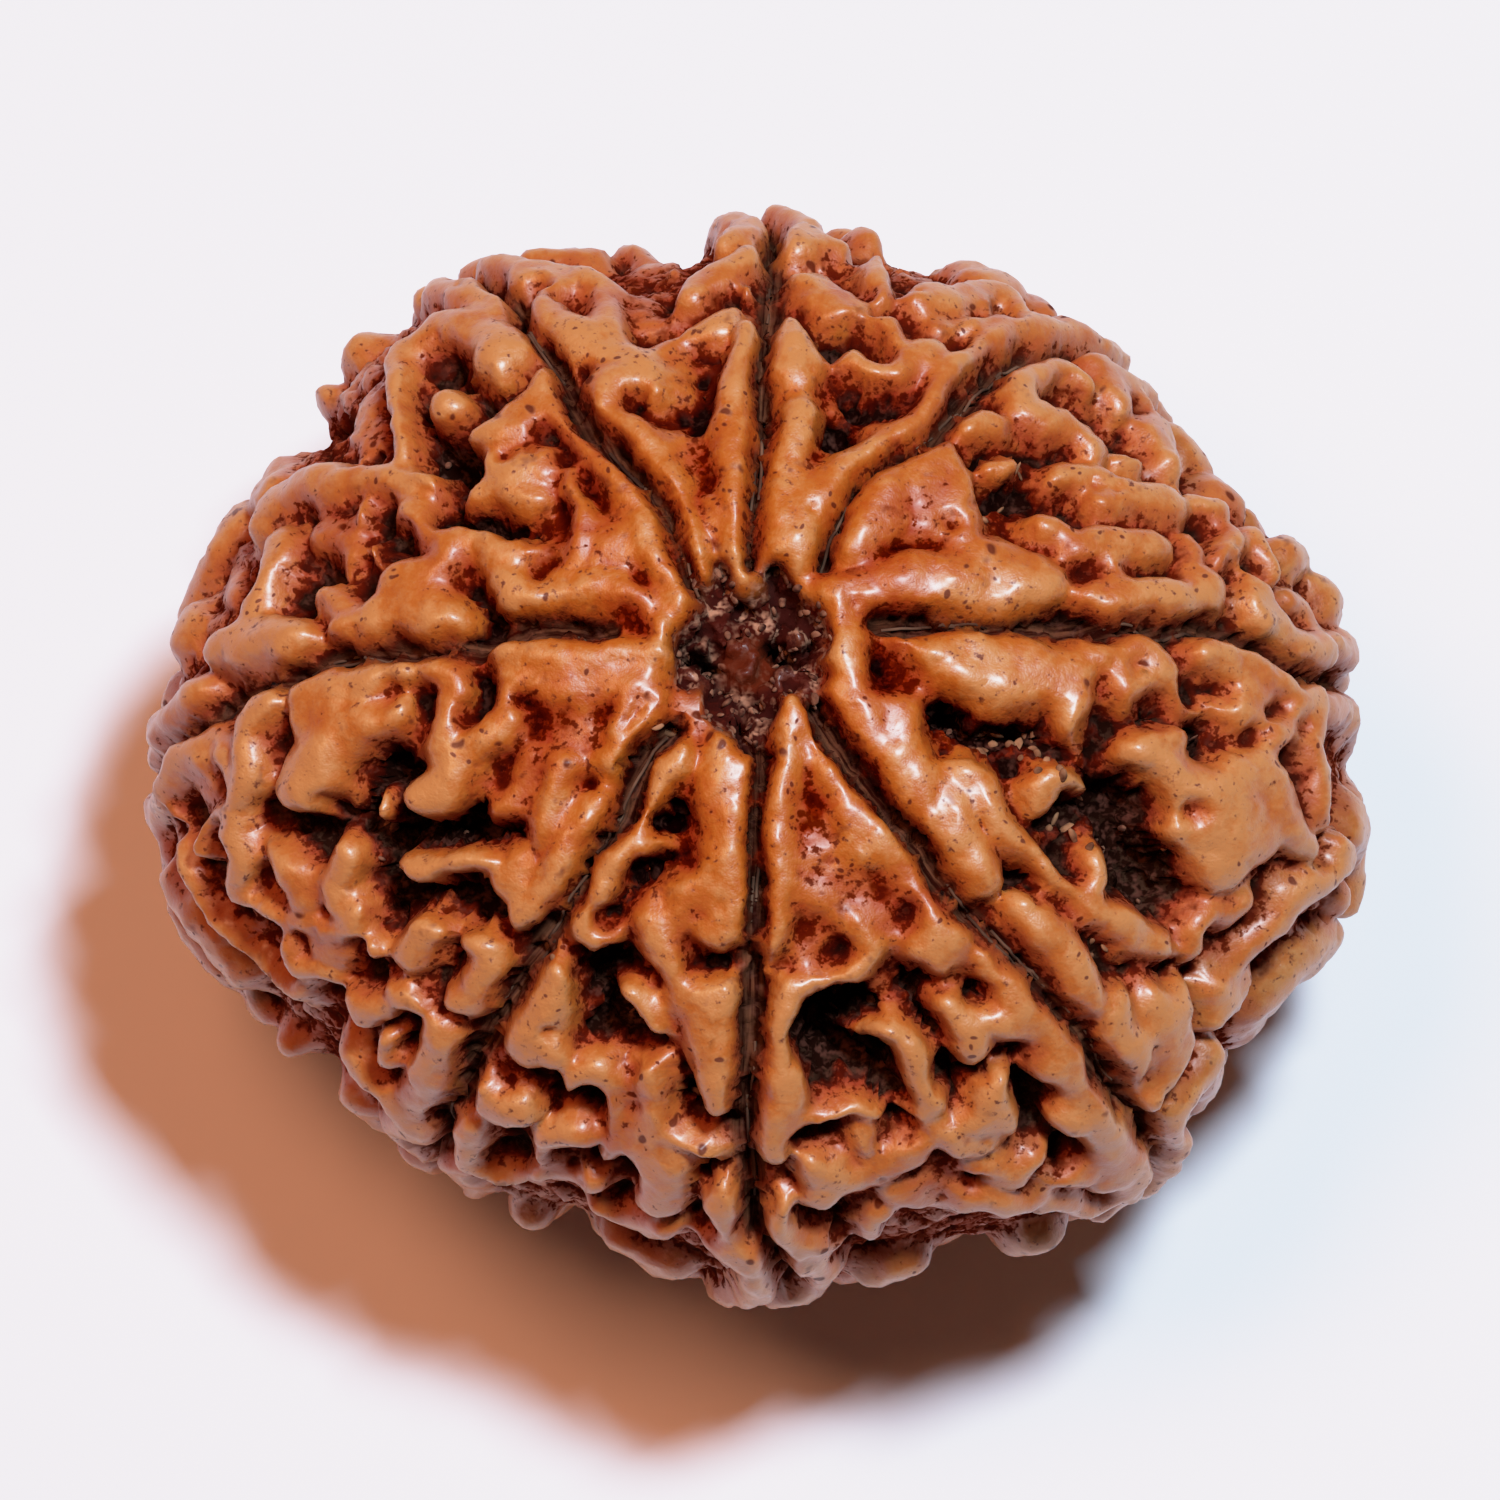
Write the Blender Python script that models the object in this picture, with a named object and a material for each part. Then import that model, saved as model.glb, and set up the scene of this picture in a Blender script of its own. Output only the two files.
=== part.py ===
"""Rudraksha seed: the dried stone of Elaeocarpus ganitrus, one closed body that rests on a small flat spot.

The stone is an oblate, lobed form. Eight grooves run over it from the pit at its upper pole to its foot, and
between them the surface is raised into knobs and winding folds with deep hollows among them. The relief is
worked out by formula from the centrelines of the folds, the grooves and the pits, and the folds of the far
side and the underside are grown by a seeded rule at the same scale.
"""

import math

import bmesh
import bpy
import numpy as np

# Driving dimensions, in millimetres.
UPPER_HEIGHT = 8.5
LOWER_HEIGHT = 8.5
REST_CUT = 0.35
FOLD_DEPTH_RIM = 0.74
FOLD_DEPTH_POLE = 0.36
SHALLOW_RADIUS = 2.0
DEEP_RADIUS = 7.0
FOLD_SPREAD = 1.36
# Fullness of a fold's section: 2 is round, and more has a broader top and steeper sides.
FOLD_FULLNESS = 2.5
FOLD_BLEND = 0.08
FOLD_SKIRT = 1.5
GROUND_RIPPLE = (1.1, 0.06)
WARP = (1.5, 0.06)
HOLLOW_EDGE = 1.8
HOLLOW_FLOOR = 0.7
GROOVE_DEPTH = 1.0
GROOVE_HALF_WIDTH = 0.2
GROOVE_NARROWING = 0.75
GROOVE_SLOPE = 8.0
CUT_BLEND = 0.08
CUT_REACH = 1.0
PIT_SLOPE = 4.0
PIT_GROUND = 1.4
PIT_ROUNDNESS = 0.75
PIT_BLEND = 0.12
PIT_REACH = (2.0, 0.4)
# Radius of the outer form at its widest, every 15 degrees counter-clockwise from +X.
RIM_RADII = (12.45, 12.35, 11.3, 11.1, 10.9, 10.75, 10.9, 10.8, 11.35, 11.45, 11.3, 11.85,
             12.1, 12.05, 11.2, 10.8, 10.6, 10.35, 11.3, 11.05, 11.6, 12.15, 12.0, 12.75)
# Notches in the widest belt where two lobes' folds leave a gap, as (azimuth in degrees, depth).
RIM_NOTCHES = ((72.0, 0.7), (100.0, 1.0), (142.5, 1.0), (217.0, 0.8), (249.0, 0.3), (291.0, 0.3))
NOTCH_HALF_WIDTH = 0.25
NOTCH_SLOPE = 1.8
NOTCH_LIFTS = (18.0, -28.0, 6)
# Roundness of the upright section: 2 is an ellipse, and more is fuller at the shoulder.
SECTION_POWER = 2.25

# The relief is laid out on a plane that tilts to the front, as (across, up) from the upper pole, in
# millimetres: across runs along +X, and up towards the back. Lines from a far point carry it onto the stone.
LAYOUT_TILT = math.radians(75.0)
LAYOUT_POLE_UP = 2.2
LAYOUT_DISTANCE = 400.0
LAYOUT_REACH = (-13.0, 6.0, 381)

# Folds of the far side and the underside, in millimetres, with steps down a groove in radians.
SEED = 20
HIDDEN_FOLD_HALF_WIDTH = (0.42, 0.6)
HIDDEN_FOLD_POINTS = (2, 6)
HIDDEN_FOLD_STEP = 0.7
HIDDEN_FOLD_GAP = 0.18
HIDDEN_FOLD_TRIES = 5000
HIDDEN_FOLD_TURN = 0.45
HIDDEN_FOLD_WIDTHS = (0.8, 1.1)
HIDDEN_FOLD_CREST = (-0.25, 0.05)
SEEN_EDGE = 0.1
MERIDIAN_STEP = 0.07
MERIDIAN_WANDER = 0.02
MERIDIAN_DRIFT = 0.9
LIP_OFFSET = 0.62
LIP_HALF_WIDTH = 0.42
LIP_POINTS = (3, 7)
LIP_WIDTHS = (0.75, 1.15)
LIP_CREST = (-0.15, 0.05)
FOOT_RADIUS = 2.9
FOOT_FILL = 1.6

# Fineness of the mesh, with the snap to the foot's cut in metres.
SPHERE_LEVEL = 7
SMOOTHINGS = 4
KEPT_TRIANGLES = 11400
SNAP = 2e-5

SHELL_COLOUR = (0.42, 0.17, 0.055, 1.0)
SHELL_ROUGHNESS = 0.42
MM = 0.001

# Grooves, each from the rim to the pit at the pole, as (across, up, half width) points.
GROOVES = {
    "north": ((0.6, 8.2, 0.25), (0.6, 7.4, 0.25), (0.45, 6.5, 0.22), (0.4, 5.5, 0.2), (0.32, 4.5, 0.18),
              (0.25, 3.5, 0.16), (0.15, 2.5, 0.15), (0.1, 1.6, 0.15)),
    "north_east": ((6.9, 6.0, 0.18), (6.0, 6.0, 0.18), (5.4, 5.8, 0.18), (4.9, 5.35, 0.18), (4.4, 4.9, 0.18),
                   (3.95, 4.4, 0.18), (3.5, 4.0, 0.18), (3.1, 3.85, 0.18), (2.6, 3.5, 0.18), (2.2, 3.0, 0.2),
                   (1.95, 2.5, 0.2), (1.75, 2.1, 0.2), (1.6, 1.6, 0.2)),
    "east": ((10.6, 0.05, 0.2), (10.0, 0.2, 0.2), (9.3, 0.4, 0.2), (8.6, 0.25, 0.2), (8.0, 0.45, 0.2),
             (7.0, 0.35, 0.2), (6.0, 0.45, 0.18), (5.0, 0.4, 0.18), (4.3, 0.45, 0.18), (3.5, 0.5, 0.18),
             (2.6, 0.4, 0.15)),
    "south_east": ((8.3, -10.2, 0.3), (8.1, -9.8, 0.3), (7.8, -9.4, 0.3), (7.5, -9.0, 0.35), (7.1, -8.2, 0.2),
                   (6.4, -7.4, 0.2), (5.8, -6.8, 0.2), (5.2, -6.2, 0.2), (4.7, -5.7, 0.2), (4.2, -5.1, 0.2),
                   (3.8, -4.4, 0.18), (3.3, -3.8, 0.18), (2.8, -3.2, 0.18), (2.3, -2.6, 0.18),
                   (1.8, -1.9, 0.18), (1.4, -1.2, 0.18)),
    "south": ((0.2, -12.3, 0.3), (0.15, -11.3, 0.3), (-0.05, -10.0, 0.3), (0.1, -8.5, 0.25),
              (0.1, -7.4, 0.25), (0.15, -6.5, 0.2), (0.2, -5.5, 0.18), (0.25, -4.0, 0.15),
              (0.25, -2.3, 0.13), (0.1, -1.5, 0.13)),
    "south_west": ((-6.1, -9.6, 0.25), (-5.9, -9.3, 0.25), (-5.6, -8.6, 0.22), (-5.2, -7.8, 0.22),
                   (-5.0, -7.4, 0.22), (-4.6, -6.8, 0.22), (-4.1, -6.1, 0.2), (-3.6, -5.2, 0.2),
                   (-3.1, -4.5, 0.2), (-2.7, -3.8, 0.2), (-2.4, -2.9, 0.2), (-1.9, -2.1, 0.22),
                   (-1.4, -1.6, 0.22)),
    "west": ((-11.2, -1.7, 0.2), (-10.8, -1.2, 0.2), (-10.0, -0.9, 0.2), (-9.2, -0.6, 0.2), (-8.4, -0.2, 0.2),
             (-7.5, -0.15, 0.2), (-6.5, -0.1, 0.22), (-5.4, 0.0, 0.25), (-4.5, 0.3, 0.3), (-3.5, 0.3, 0.28),
             (-2.8, 0.35, 0.2)),
    "north_west": ((-4.6, 6.6, 0.15), (-4.2, 6.1, 0.15), (-3.8, 5.6, 0.15), (-3.5, 5.1, 0.2),
                   (-3.3, 4.7, 0.2), (-3.0, 4.3, 0.2), (-2.6, 3.85, 0.2), (-2.2, 3.5, 0.2),
                   (-1.9, 3.1, 0.2), (-1.6, 2.7, 0.18),
                   (-1.4, 2.3, 0.18), (-1.25, 1.8, 0.18), (-1.15, 1.4, 0.18), (-1.0, 1.0, 0.18)),
}


def fold(*points, crest=0.0):
    """One fold: its crest level against the outer form, then (across, up, half width) points."""
    return crest, points


# Folds between the north and north-east grooves.
NORTH_FOLDS = (
    fold((1.4, 8.15, 0.6), crest=0.1),
    fold((1.3, 7.3, 0.5), (1.7, 7.0, 0.6), (2.0, 6.8, 0.45)),
    fold((2.0, 7.8, 0.2), (2.35, 7.75, 0.2), crest=-0.3),
    fold((2.7, 7.75, 0.28), (2.7, 7.3, 0.27), (2.65, 6.9, 0.2)),
    fold((0.9, 6.45, 0.25), (1.0, 6.0, 0.35), (1.1, 5.6, 0.45), (1.15, 5.4, 0.4)),
    fold((1.1, 4.6, 0.5), (0.95, 4.0, 0.4), (0.95, 3.4, 0.4), (0.85, 2.8, 0.35), (0.8, 2.2, 0.35),
         (0.85, 1.7, 0.3)),
    fold((2.2, 5.7, 0.35), (2.5, 5.5, 0.3)),
    fold((2.95, 5.4, 0.25), (3.4, 5.7, 0.35), (3.75, 5.95, 0.3)),
    fold((2.6, 6.5, 0.2), (3.0, 6.4, 0.3), (3.1, 6.1, 0.25)),
    fold((1.8, 5.0, 0.3), crest=-0.5),
    fold((2.4, 4.4, 0.25), (2.7, 4.6, 0.2), crest=-0.3),
    fold((3.3, 6.85, 0.25), (3.8, 6.95, 0.4), (4.5, 7.15, 0.35), (5.1, 7.15, 0.35), (5.5, 6.95, 0.3),
         (5.65, 6.7, 0.2)),
    fold((3.9, 6.5, 0.3), crest=-0.2),
    fold((4.9, 6.9, 0.18)),
    fold((4.45, 6.5, 0.25), (4.9, 6.6, 0.25), (5.4, 6.45, 0.25)),
    fold((1.1, 1.8, 0.3), (1.1, 2.3, 0.3), (1.3, 2.8, 0.35), (1.6, 3.2, 0.35), (2.0, 3.5, 0.35),
         (2.5, 3.85, 0.35), (3.1, 4.3, 0.35), (3.6, 4.8, 0.3), (4.0, 5.3, 0.3), (4.4, 5.7, 0.3),
         (4.9, 6.1, 0.3), (5.5, 6.35, 0.3), (6.1, 6.4, 0.3), (6.6, 6.35, 0.3)),
)

# Folds between the north-east and east grooves.
EAST_NORTH_FOLDS = (
    fold((4.5, 4.35, 0.28), (4.8, 4.55, 0.3), (5.1, 4.4, 0.3)),
    fold((5.5, 5.3, 0.4), (5.6, 4.8, 0.4), (5.9, 4.5, 0.4), (6.3, 4.45, 0.35), (6.6, 4.4, 0.3)),
    fold((5.5, 5.3, 0.4), (6.0, 5.5, 0.35), (6.4, 5.6, 0.35), (6.8, 5.3, 0.3), (7.0, 5.1, 0.25)),
    fold((4.9, 3.5, 0.2), (5.3, 3.6, 0.25)),
    fold((7.1, 5.8, 0.25)),
    fold((7.3, 5.6, 0.3), (7.55, 5.2, 0.4), (7.6, 4.9, 0.35)),
    fold((7.65, 5.6, 0.25), (7.9, 5.3, 0.2), crest=-0.4),
    fold((8.1, 4.9, 0.25), (8.3, 4.6, 0.25), (8.2, 4.3, 0.3)),
    fold((8.5, 4.35, 0.3), (8.5, 4.0, 0.45), (8.5, 3.75, 0.35)),
    fold((6.95, 4.3, 0.2), (6.95, 4.0, 0.25), (7.2, 3.95, 0.25)),
    fold((7.7, 3.7, 0.15), (8.0, 3.7, 0.15)),
    fold((6.2, 3.3, 0.3), (6.6, 3.45, 0.3), (7.2, 3.4, 0.3)),
    fold((7.1, 2.85, 0.25), (7.7, 2.95, 0.4), (8.3, 3.0, 0.45), (8.7, 2.9, 0.35)),
    fold((5.9, 2.4, 0.25), (6.3, 2.35, 0.25), (6.5, 2.3, 0.2)),
    fold((6.8, 1.9, 0.4), (7.3, 1.95, 0.5), (8.0, 2.05, 0.4), (8.35, 2.1, 0.3)),
    fold((7.4, 1.6, 0.35)),
    fold((6.9, 0.95, 0.3), (7.5, 0.95, 0.35), (8.2, 0.95, 0.35), (8.9, 1.0, 0.45), (9.4, 1.1, 0.45)),
    fold((9.0, 2.2, 0.25), (9.2, 1.9, 0.25), (9.1, 1.7, 0.2), crest=-0.2),
    fold((9.2, 2.9, 0.3), (9.5, 2.8, 0.3)),
    fold((9.8, 2.3, 0.3), (9.9, 2.0, 0.4), (9.8, 1.7, 0.3)),
    fold((10.3, 2.2, 0.3), (10.6, 1.7, 0.25), (10.8, 1.3, 0.2)),
    fold((10.4, 1.2, 0.3), (10.4, 0.8, 0.35), (10.6, 0.4, 0.25)),
    fold((11.3, 1.0, 0.3), (11.6, 0.8, 0.3), (11.8, 0.4, 0.25), crest=-0.3),
    fold((3.9, 3.75, 0.45), (3.4, 3.3, 0.5), (2.9, 2.8, 0.45), (2.5, 2.3, 0.4), (2.2, 1.9, 0.3)),
    fold((4.2, 3.3, 0.4), (4.4, 2.8, 0.35), (4.5, 2.4, 0.3), (4.3, 2.15, 0.2)),
    fold((3.7, 2.7, 0.5), crest=-0.1),
    fold((1.8, 1.0, 0.3), (2.4, 1.1, 0.35), (3.0, 1.2, 0.45), (4.0, 1.3, 0.55), (5.0, 1.35, 0.65),
         (5.8, 1.35, 0.6)),
)

# Folds between the east and south-east grooves.
EAST_SOUTH_FOLDS = (
    fold((1.9, 0.3, 0.45), (2.0, -0.3, 0.4), (2.1, -0.9, 0.45), (2.4, -1.5, 0.4), (2.8, -2.0, 0.4),
         (3.2, -2.3, 0.5), (3.6, -2.8, 0.5), (4.0, -3.4, 0.5), (4.3, -4.0, 0.5), (4.6, -4.5, 0.45),
         (4.8, -4.7, 0.35)),
    fold((2.6, -1.2, 0.4), (3.2, -1.6, 0.4), crest=-0.1),
    fold((4.6, -3.2, 0.5), crest=-0.1),
    fold((4.4, -2.6, 0.3), (4.9, -3.2, 0.3), (5.3, -3.8, 0.25), (5.8, -4.2, 0.25), (6.2, -4.7, 0.25),
         (6.6, -5.1, 0.25), (7.0, -5.4, 0.3), (7.7, -5.7, 0.3), (8.0, -5.9, 0.4), (8.4, -6.1, 0.35)),
    fold((3.0, 0.0, 0.15), (3.5, -0.1, 0.3), (4.2, -0.3, 0.5), (5.0, -0.4, 0.6), (5.8, -0.5, 0.6),
         (6.3, -0.7, 0.5)),
    fold((6.6, -0.5, 0.4), (6.7, -1.2, 0.35), (6.65, -1.7, 0.35)),
    fold((7.0, -0.1, 0.35), (7.3, -0.3, 0.3), (7.55, -0.7, 0.3), (7.65, -1.05, 0.3)),
    fold((7.8, -0.1, 0.4), (8.4, -0.4, 0.35), (8.6, -0.8, 0.3), (8.1, -0.8, 0.3)),
    fold((9.2, -0.2, 0.25), (9.6, -0.15, 0.35), (10.1, -0.3, 0.45), (10.6, -0.6, 0.4), (10.9, -0.75, 0.25)),
    fold((10.3, -1.1, 0.45), (10.0, -1.5, 0.3)),
    fold((8.4, -1.0, 0.2), (8.9, -1.2, 0.2), (9.5, -1.25, 0.25), crest=-0.3),
    fold((11.0, 0.2, 0.25), (11.4, 0.0, 0.35), (11.8, -0.3, 0.35), (12.0, -0.8, 0.3), (12.0, -1.2, 0.25),
         crest=-0.1),
    fold((11.1, -1.2, 0.35), (11.6, -1.2, 0.35), (11.6, -1.7, 0.35)),
    fold((11.0, -1.6, 0.35), (10.7, -1.9, 0.35)),
    fold((11.5, -2.2, 0.4), (11.7, -2.7, 0.45), (11.7, -3.2, 0.4), (11.8, -3.6, 0.25)),
    fold((7.8, -2.15, 0.35), (8.4, -2.05, 0.35), (8.8, -1.9, 0.3)),
    fold((8.0, -2.3, 0.35), (8.4, -2.6, 0.4), (8.9, -2.8, 0.45), (9.5, -2.9, 0.5), (10.1, -2.8, 0.5),
         (10.5, -2.8, 0.6), (10.9, -3.3, 0.5), (11.2, -3.9, 0.4), (11.5, -4.2, 0.3)),
    fold((8.7, -3.9, 0.3), (9.1, -4.0, 0.4), (9.6, -4.1, 0.5), (10.2, -4.2, 0.5)),
    fold((8.9, -2.9, 0.5), (9.5, -3.3, 0.8), (9.9, -3.9, 0.85), (9.7, -4.5, 0.6), crest=0.1),
    fold((9.5, -4.4, 0.6), (10.0, -4.5, 0.45)),
    fold((10.0, -3.6, 0.6), (10.5, -3.9, 0.6)),
    fold((12.1, -4.1, 0.3), (12.2, -4.5, 0.3), (11.7, -4.9, 0.4), (11.2, -5.3, 0.45), (10.8, -5.8, 0.45),
         (10.4, -6.2, 0.4), (10.0, -6.5, 0.3)),
    fold((9.8, -5.6, 0.35), (10.2, -5.3, 0.3)),
    fold((9.4, -5.5, 0.2), (9.1, -5.9, 0.25), (9.1, -6.3, 0.2)),
    fold((8.7, -6.4, 0.2)),
    fold((5.9, -2.8, 0.3), (6.3, -2.7, 0.3), (6.8, -2.9, 0.25), (7.1, -3.2, 0.15), crest=-0.1),
    fold((6.1, -3.2, 0.3), crest=-0.2),
    fold((7.1, -4.4, 0.3), (7.15, -4.8, 0.3), (7.0, -5.2, 0.3)),
    fold((5.7, -5.4, 0.35), (6.1, -5.9, 0.4), (6.5, -6.4, 0.45), (6.8, -6.9, 0.45), (7.1, -7.3, 0.3)),
    fold((8.3, -7.2, 0.3), (8.8, -7.2, 0.4), (8.6, -7.7, 0.5), (8.8, -8.2, 0.5), (8.7, -8.7, 0.35)),
    fold((7.6, -7.2, 0.3), (7.6, -7.8, 0.4), (7.9, -8.2, 0.5), (8.0, -8.6, 0.35)),
    fold((9.6, -7.0, 0.3), (9.9, -7.3, 0.4), (10.1, -7.0, 0.3)),
    fold((9.6, -7.7, 0.3)),
    fold((9.6, -8.3, 0.25), (9.4, -8.8, 0.4), (9.1, -9.2, 0.4), (8.8, -9.6, 0.4), (8.7, -9.9, 0.25)),
    fold((8.4, -9.3, 0.3)),
    fold((8.6, -10.3, 0.2)),
    fold((6.5, -4.0, 0.25), crest=-0.7),
    fold((7.6, -4.3, 0.2), crest=-0.8),
    fold((8.05, -5.4, 0.2), crest=-0.8),
    fold((7.1, -3.8, 0.25), crest=-0.8),
)

# Folds between the south-east and south grooves.
SOUTH_EAST_FOLDS = (
    fold((0.9, -1.2, 0.2), (0.9, -2.0, 0.35), (0.75, -2.8, 0.35), (0.7, -3.6, 0.3), (0.7, -4.4, 0.35),
         (0.65, -5.2, 0.35), (0.6, -5.8, 0.3), (0.6, -6.2, 0.25)),
    fold((1.3, -1.6, 0.2), (1.8, -2.6, 0.3), (2.2, -3.2, 0.35), (2.6, -3.8, 0.4), (3.0, -4.3, 0.4),
         (3.4, -4.8, 0.35), (3.7, -5.1, 0.25)),
    fold((2.2, -4.2, 0.5), (2.6, -4.7, 0.5), crest=-0.2),
    fold((3.85, -5.6, 0.4), (3.9, -6.05, 0.6), (4.2, -5.9, 0.45), crest=0.1),
    fold((1.2, -5.1, 0.35), (1.7, -5.3, 0.35), crest=-0.1),
    fold((2.1, -5.8, 0.3), (2.5, -6.1, 0.3), (2.4, -6.5, 0.3)),
    fold((2.1, -6.7, 0.3), (1.6, -6.8, 0.35), (1.1, -7.0, 0.4), (0.8, -7.5, 0.35), (0.65, -7.9, 0.3),
         (0.75, -8.3, 0.3)),
    fold((0.75, -8.8, 0.45), (0.8, -9.4, 0.5), (0.7, -10.0, 0.4), (0.55, -10.5, 0.3)),
    fold((4.8, -6.5, 0.3), (5.2, -6.9, 0.35), (5.7, -7.4, 0.4), (6.2, -7.9, 0.5), (6.7, -8.3, 0.5),
         (7.0, -9.0, 0.5), (7.3, -9.6, 0.6), (7.5, -10.2, 0.6), (7.6, -10.8, 0.5)),
    fold((6.2, -8.5, 0.5), (6.4, -8.9, 0.4)),
    fold((4.1, -7.3, 0.3), (4.4, -7.8, 0.35), (4.6, -8.3, 0.35)),
    fold((4.9, -7.6, 0.3), (5.4, -7.8, 0.3)),
    fold((2.0, -8.05, 0.15), (2.5, -7.9, 0.2), (3.0, -7.95, 0.25), (3.3, -8.3, 0.3), (3.6, -8.8, 0.35),
         (3.8, -9.3, 0.35), (3.5, -9.6, 0.3)),
    fold((1.5, -9.6, 0.2), (2.1, -9.5, 0.25), (2.6, -9.5, 0.25)),
    fold((2.4, -10.0, 0.3), (2.4, -10.4, 0.2)),
    fold((1.4, -10.5, 0.3), (1.8, -10.9, 0.5), (1.6, -11.3, 0.4)),
    fold((2.3, -10.9, 0.45), (2.8, -10.7, 0.4), (3.3, -10.4, 0.3), (3.6, -10.1, 0.2)),
    fold((0.75, -11.4, 0.2), (0.75, -11.9, 0.3), (1.0, -12.3, 0.5), (1.4, -12.3, 0.4)),
    fold((1.7, -12.6, 0.25), (2.0, -12.4, 0.2), crest=-0.2),
    fold((2.8, -11.6, 0.25), (2.5, -11.8, 0.35), (2.6, -12.1, 0.3)),
    fold((3.2, -11.2, 0.4), (3.8, -11.4, 0.45), (4.3, -11.5, 0.3), crest=-0.1),
    fold((4.7, -11.2, 0.35), (5.3, -11.4, 0.4), (5.9, -11.3, 0.35)),
    fold((6.3, -10.9, 0.35), (6.9, -10.9, 0.35)),
    fold((0.35, -1.8, 0.2), (0.9, -3.2, 0.4), (1.5, -4.5, 0.55), crest=-0.2),
    fold((5.1, -8.9, 0.2), (4.9, -9.3, 0.35), (5.1, -9.7, 0.45), (5.3, -9.8, 0.3)),
    fold((4.6, -9.7, 0.4)),
    fold((4.0, -9.9, 0.3), (4.3, -10.2, 0.25), (5.0, -10.3, 0.15)),
    fold((5.9, -10.4, 0.25), (5.7, -10.8, 0.35), (5.2, -10.8, 0.3), (4.6, -10.7, 0.25)),
    fold((6.3, -9.6, 0.25), (6.6, -9.7, 0.3)),
    fold((5.9, -11.6, 0.2), (6.4, -11.4, 0.35), (7.0, -11.5, 0.3), (7.6, -11.2, 0.25)),
)

# Folds between the south and south-west grooves.
SOUTH_WEST_FOLDS = (
    fold((-1.3, -2.3, 0.3), (-1.7, -2.8, 0.35), (-2.1, -3.5, 0.3), (-2.4, -4.1, 0.3), (-2.7, -4.7, 0.3),
         (-3.1, -5.3, 0.3), (-3.3, -5.8, 0.35), (-3.1, -6.1, 0.3), (-2.7, -6.1, 0.2)),
    fold((-2.6, -5.7, 0.15), (-2.2, -5.4, 0.2), (-1.8, -5.0, 0.2), (-1.5, -4.7, 0.15), crest=-0.2),
    fold((-2.1, -4.1, 0.2), (-1.6, -4.1, 0.2)),
    fold((-1.9, -3.2, 0.35)),
    fold((-0.35, -2.3, 0.35), (-0.4, -3.2, 0.45), (-0.45, -4.1, 0.45), (-0.5, -5.0, 0.5), (-0.5, -5.7, 0.5)),
    fold((-1.2, -5.0, 0.3), (-1.4, -5.5, 0.3)),
    fold((-2.0, -5.6, 0.3), (-1.75, -6.2, 0.35), (-1.5, -6.8, 0.4), (-1.1, -7.3, 0.5), (-0.7, -7.3, 0.4),
         (-0.45, -7.0, 0.25)),
    fold((-0.9, -7.6, 0.5), (-0.7, -8.4, 0.45), (-0.65, -9.0, 0.45), (-0.6, -9.3, 0.4)),
    fold((-2.4, -7.1, 0.25), (-2.1, -7.5, 0.25), (-1.8, -7.9, 0.25)),
    fold((-3.8, -6.7, 0.3), (-3.9, -7.2, 0.45), (-4.2, -7.7, 0.5), (-4.5, -8.2, 0.5)),
    fold((-4.0, -8.4, 0.4)),
    fold((-5.3, -9.1, 0.25), (-5.4, -9.4, 0.35), (-5.0, -9.6, 0.4), (-4.6, -9.4, 0.35), (-4.4, -9.6, 0.3)),
    fold((-5.7, -10.2, 0.25), (-5.5, -10.6, 0.2), (-5.1, -10.9, 0.15), (-4.6, -11.05, 0.12),
         (-4.2, -10.8, 0.15), (-4.1, -10.4, 0.2)),
    fold((-4.0, -10.15, 0.3), (-3.6, -10.1, 0.35), (-3.3, -10.0, 0.25)),
    fold((-3.9, -11.0, 0.2), (-3.6, -10.9, 0.4), (-3.2, -11.0, 0.35)),
    fold((-3.0, -11.5, 0.3), (-2.4, -11.8, 0.4), (-1.7, -12.0, 0.4)),
    fold((-8.8, -7.7, 0.35), (-8.4, -8.1, 0.35)),
    fold((-8.1, -8.4, 0.35), (-7.7, -8.9, 0.4)),
    fold((-7.2, -9.3, 0.4), (-6.9, -9.8, 0.35)),
    fold((-3.55, -9.2, 0.2), (-3.4, -8.8, 0.3), (-3.0, -8.7, 0.35), (-2.7, -9.0, 0.25), (-2.6, -9.4, 0.2),
         (-2.7, -10.2, 0.2), (-2.9, -10.5, 0.15)),
    fold((-1.95, -8.7, 0.25), (-2.0, -9.2, 0.3), (-1.95, -9.7, 0.3), (-2.0, -10.2, 0.5), (-1.8, -10.6, 0.5),
         (-1.8, -11.0, 0.45), (-1.9, -11.4, 0.4)),
    fold((-1.7, -10.0, 0.2), (-1.2, -10.2, 0.2), (-0.75, -10.4, 0.27)),
    fold((-0.45, -11.2, 0.25), (-0.5, -11.6, 0.45), (-0.4, -12.0, 0.45)),
    fold((-0.8, -12.3, 0.3), (-0.3, -12.6, 0.3), (0.0, -12.5, 0.15), crest=-0.2),
    fold((-1.3, -12.0, 0.2), crest=-0.3),
)

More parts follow.
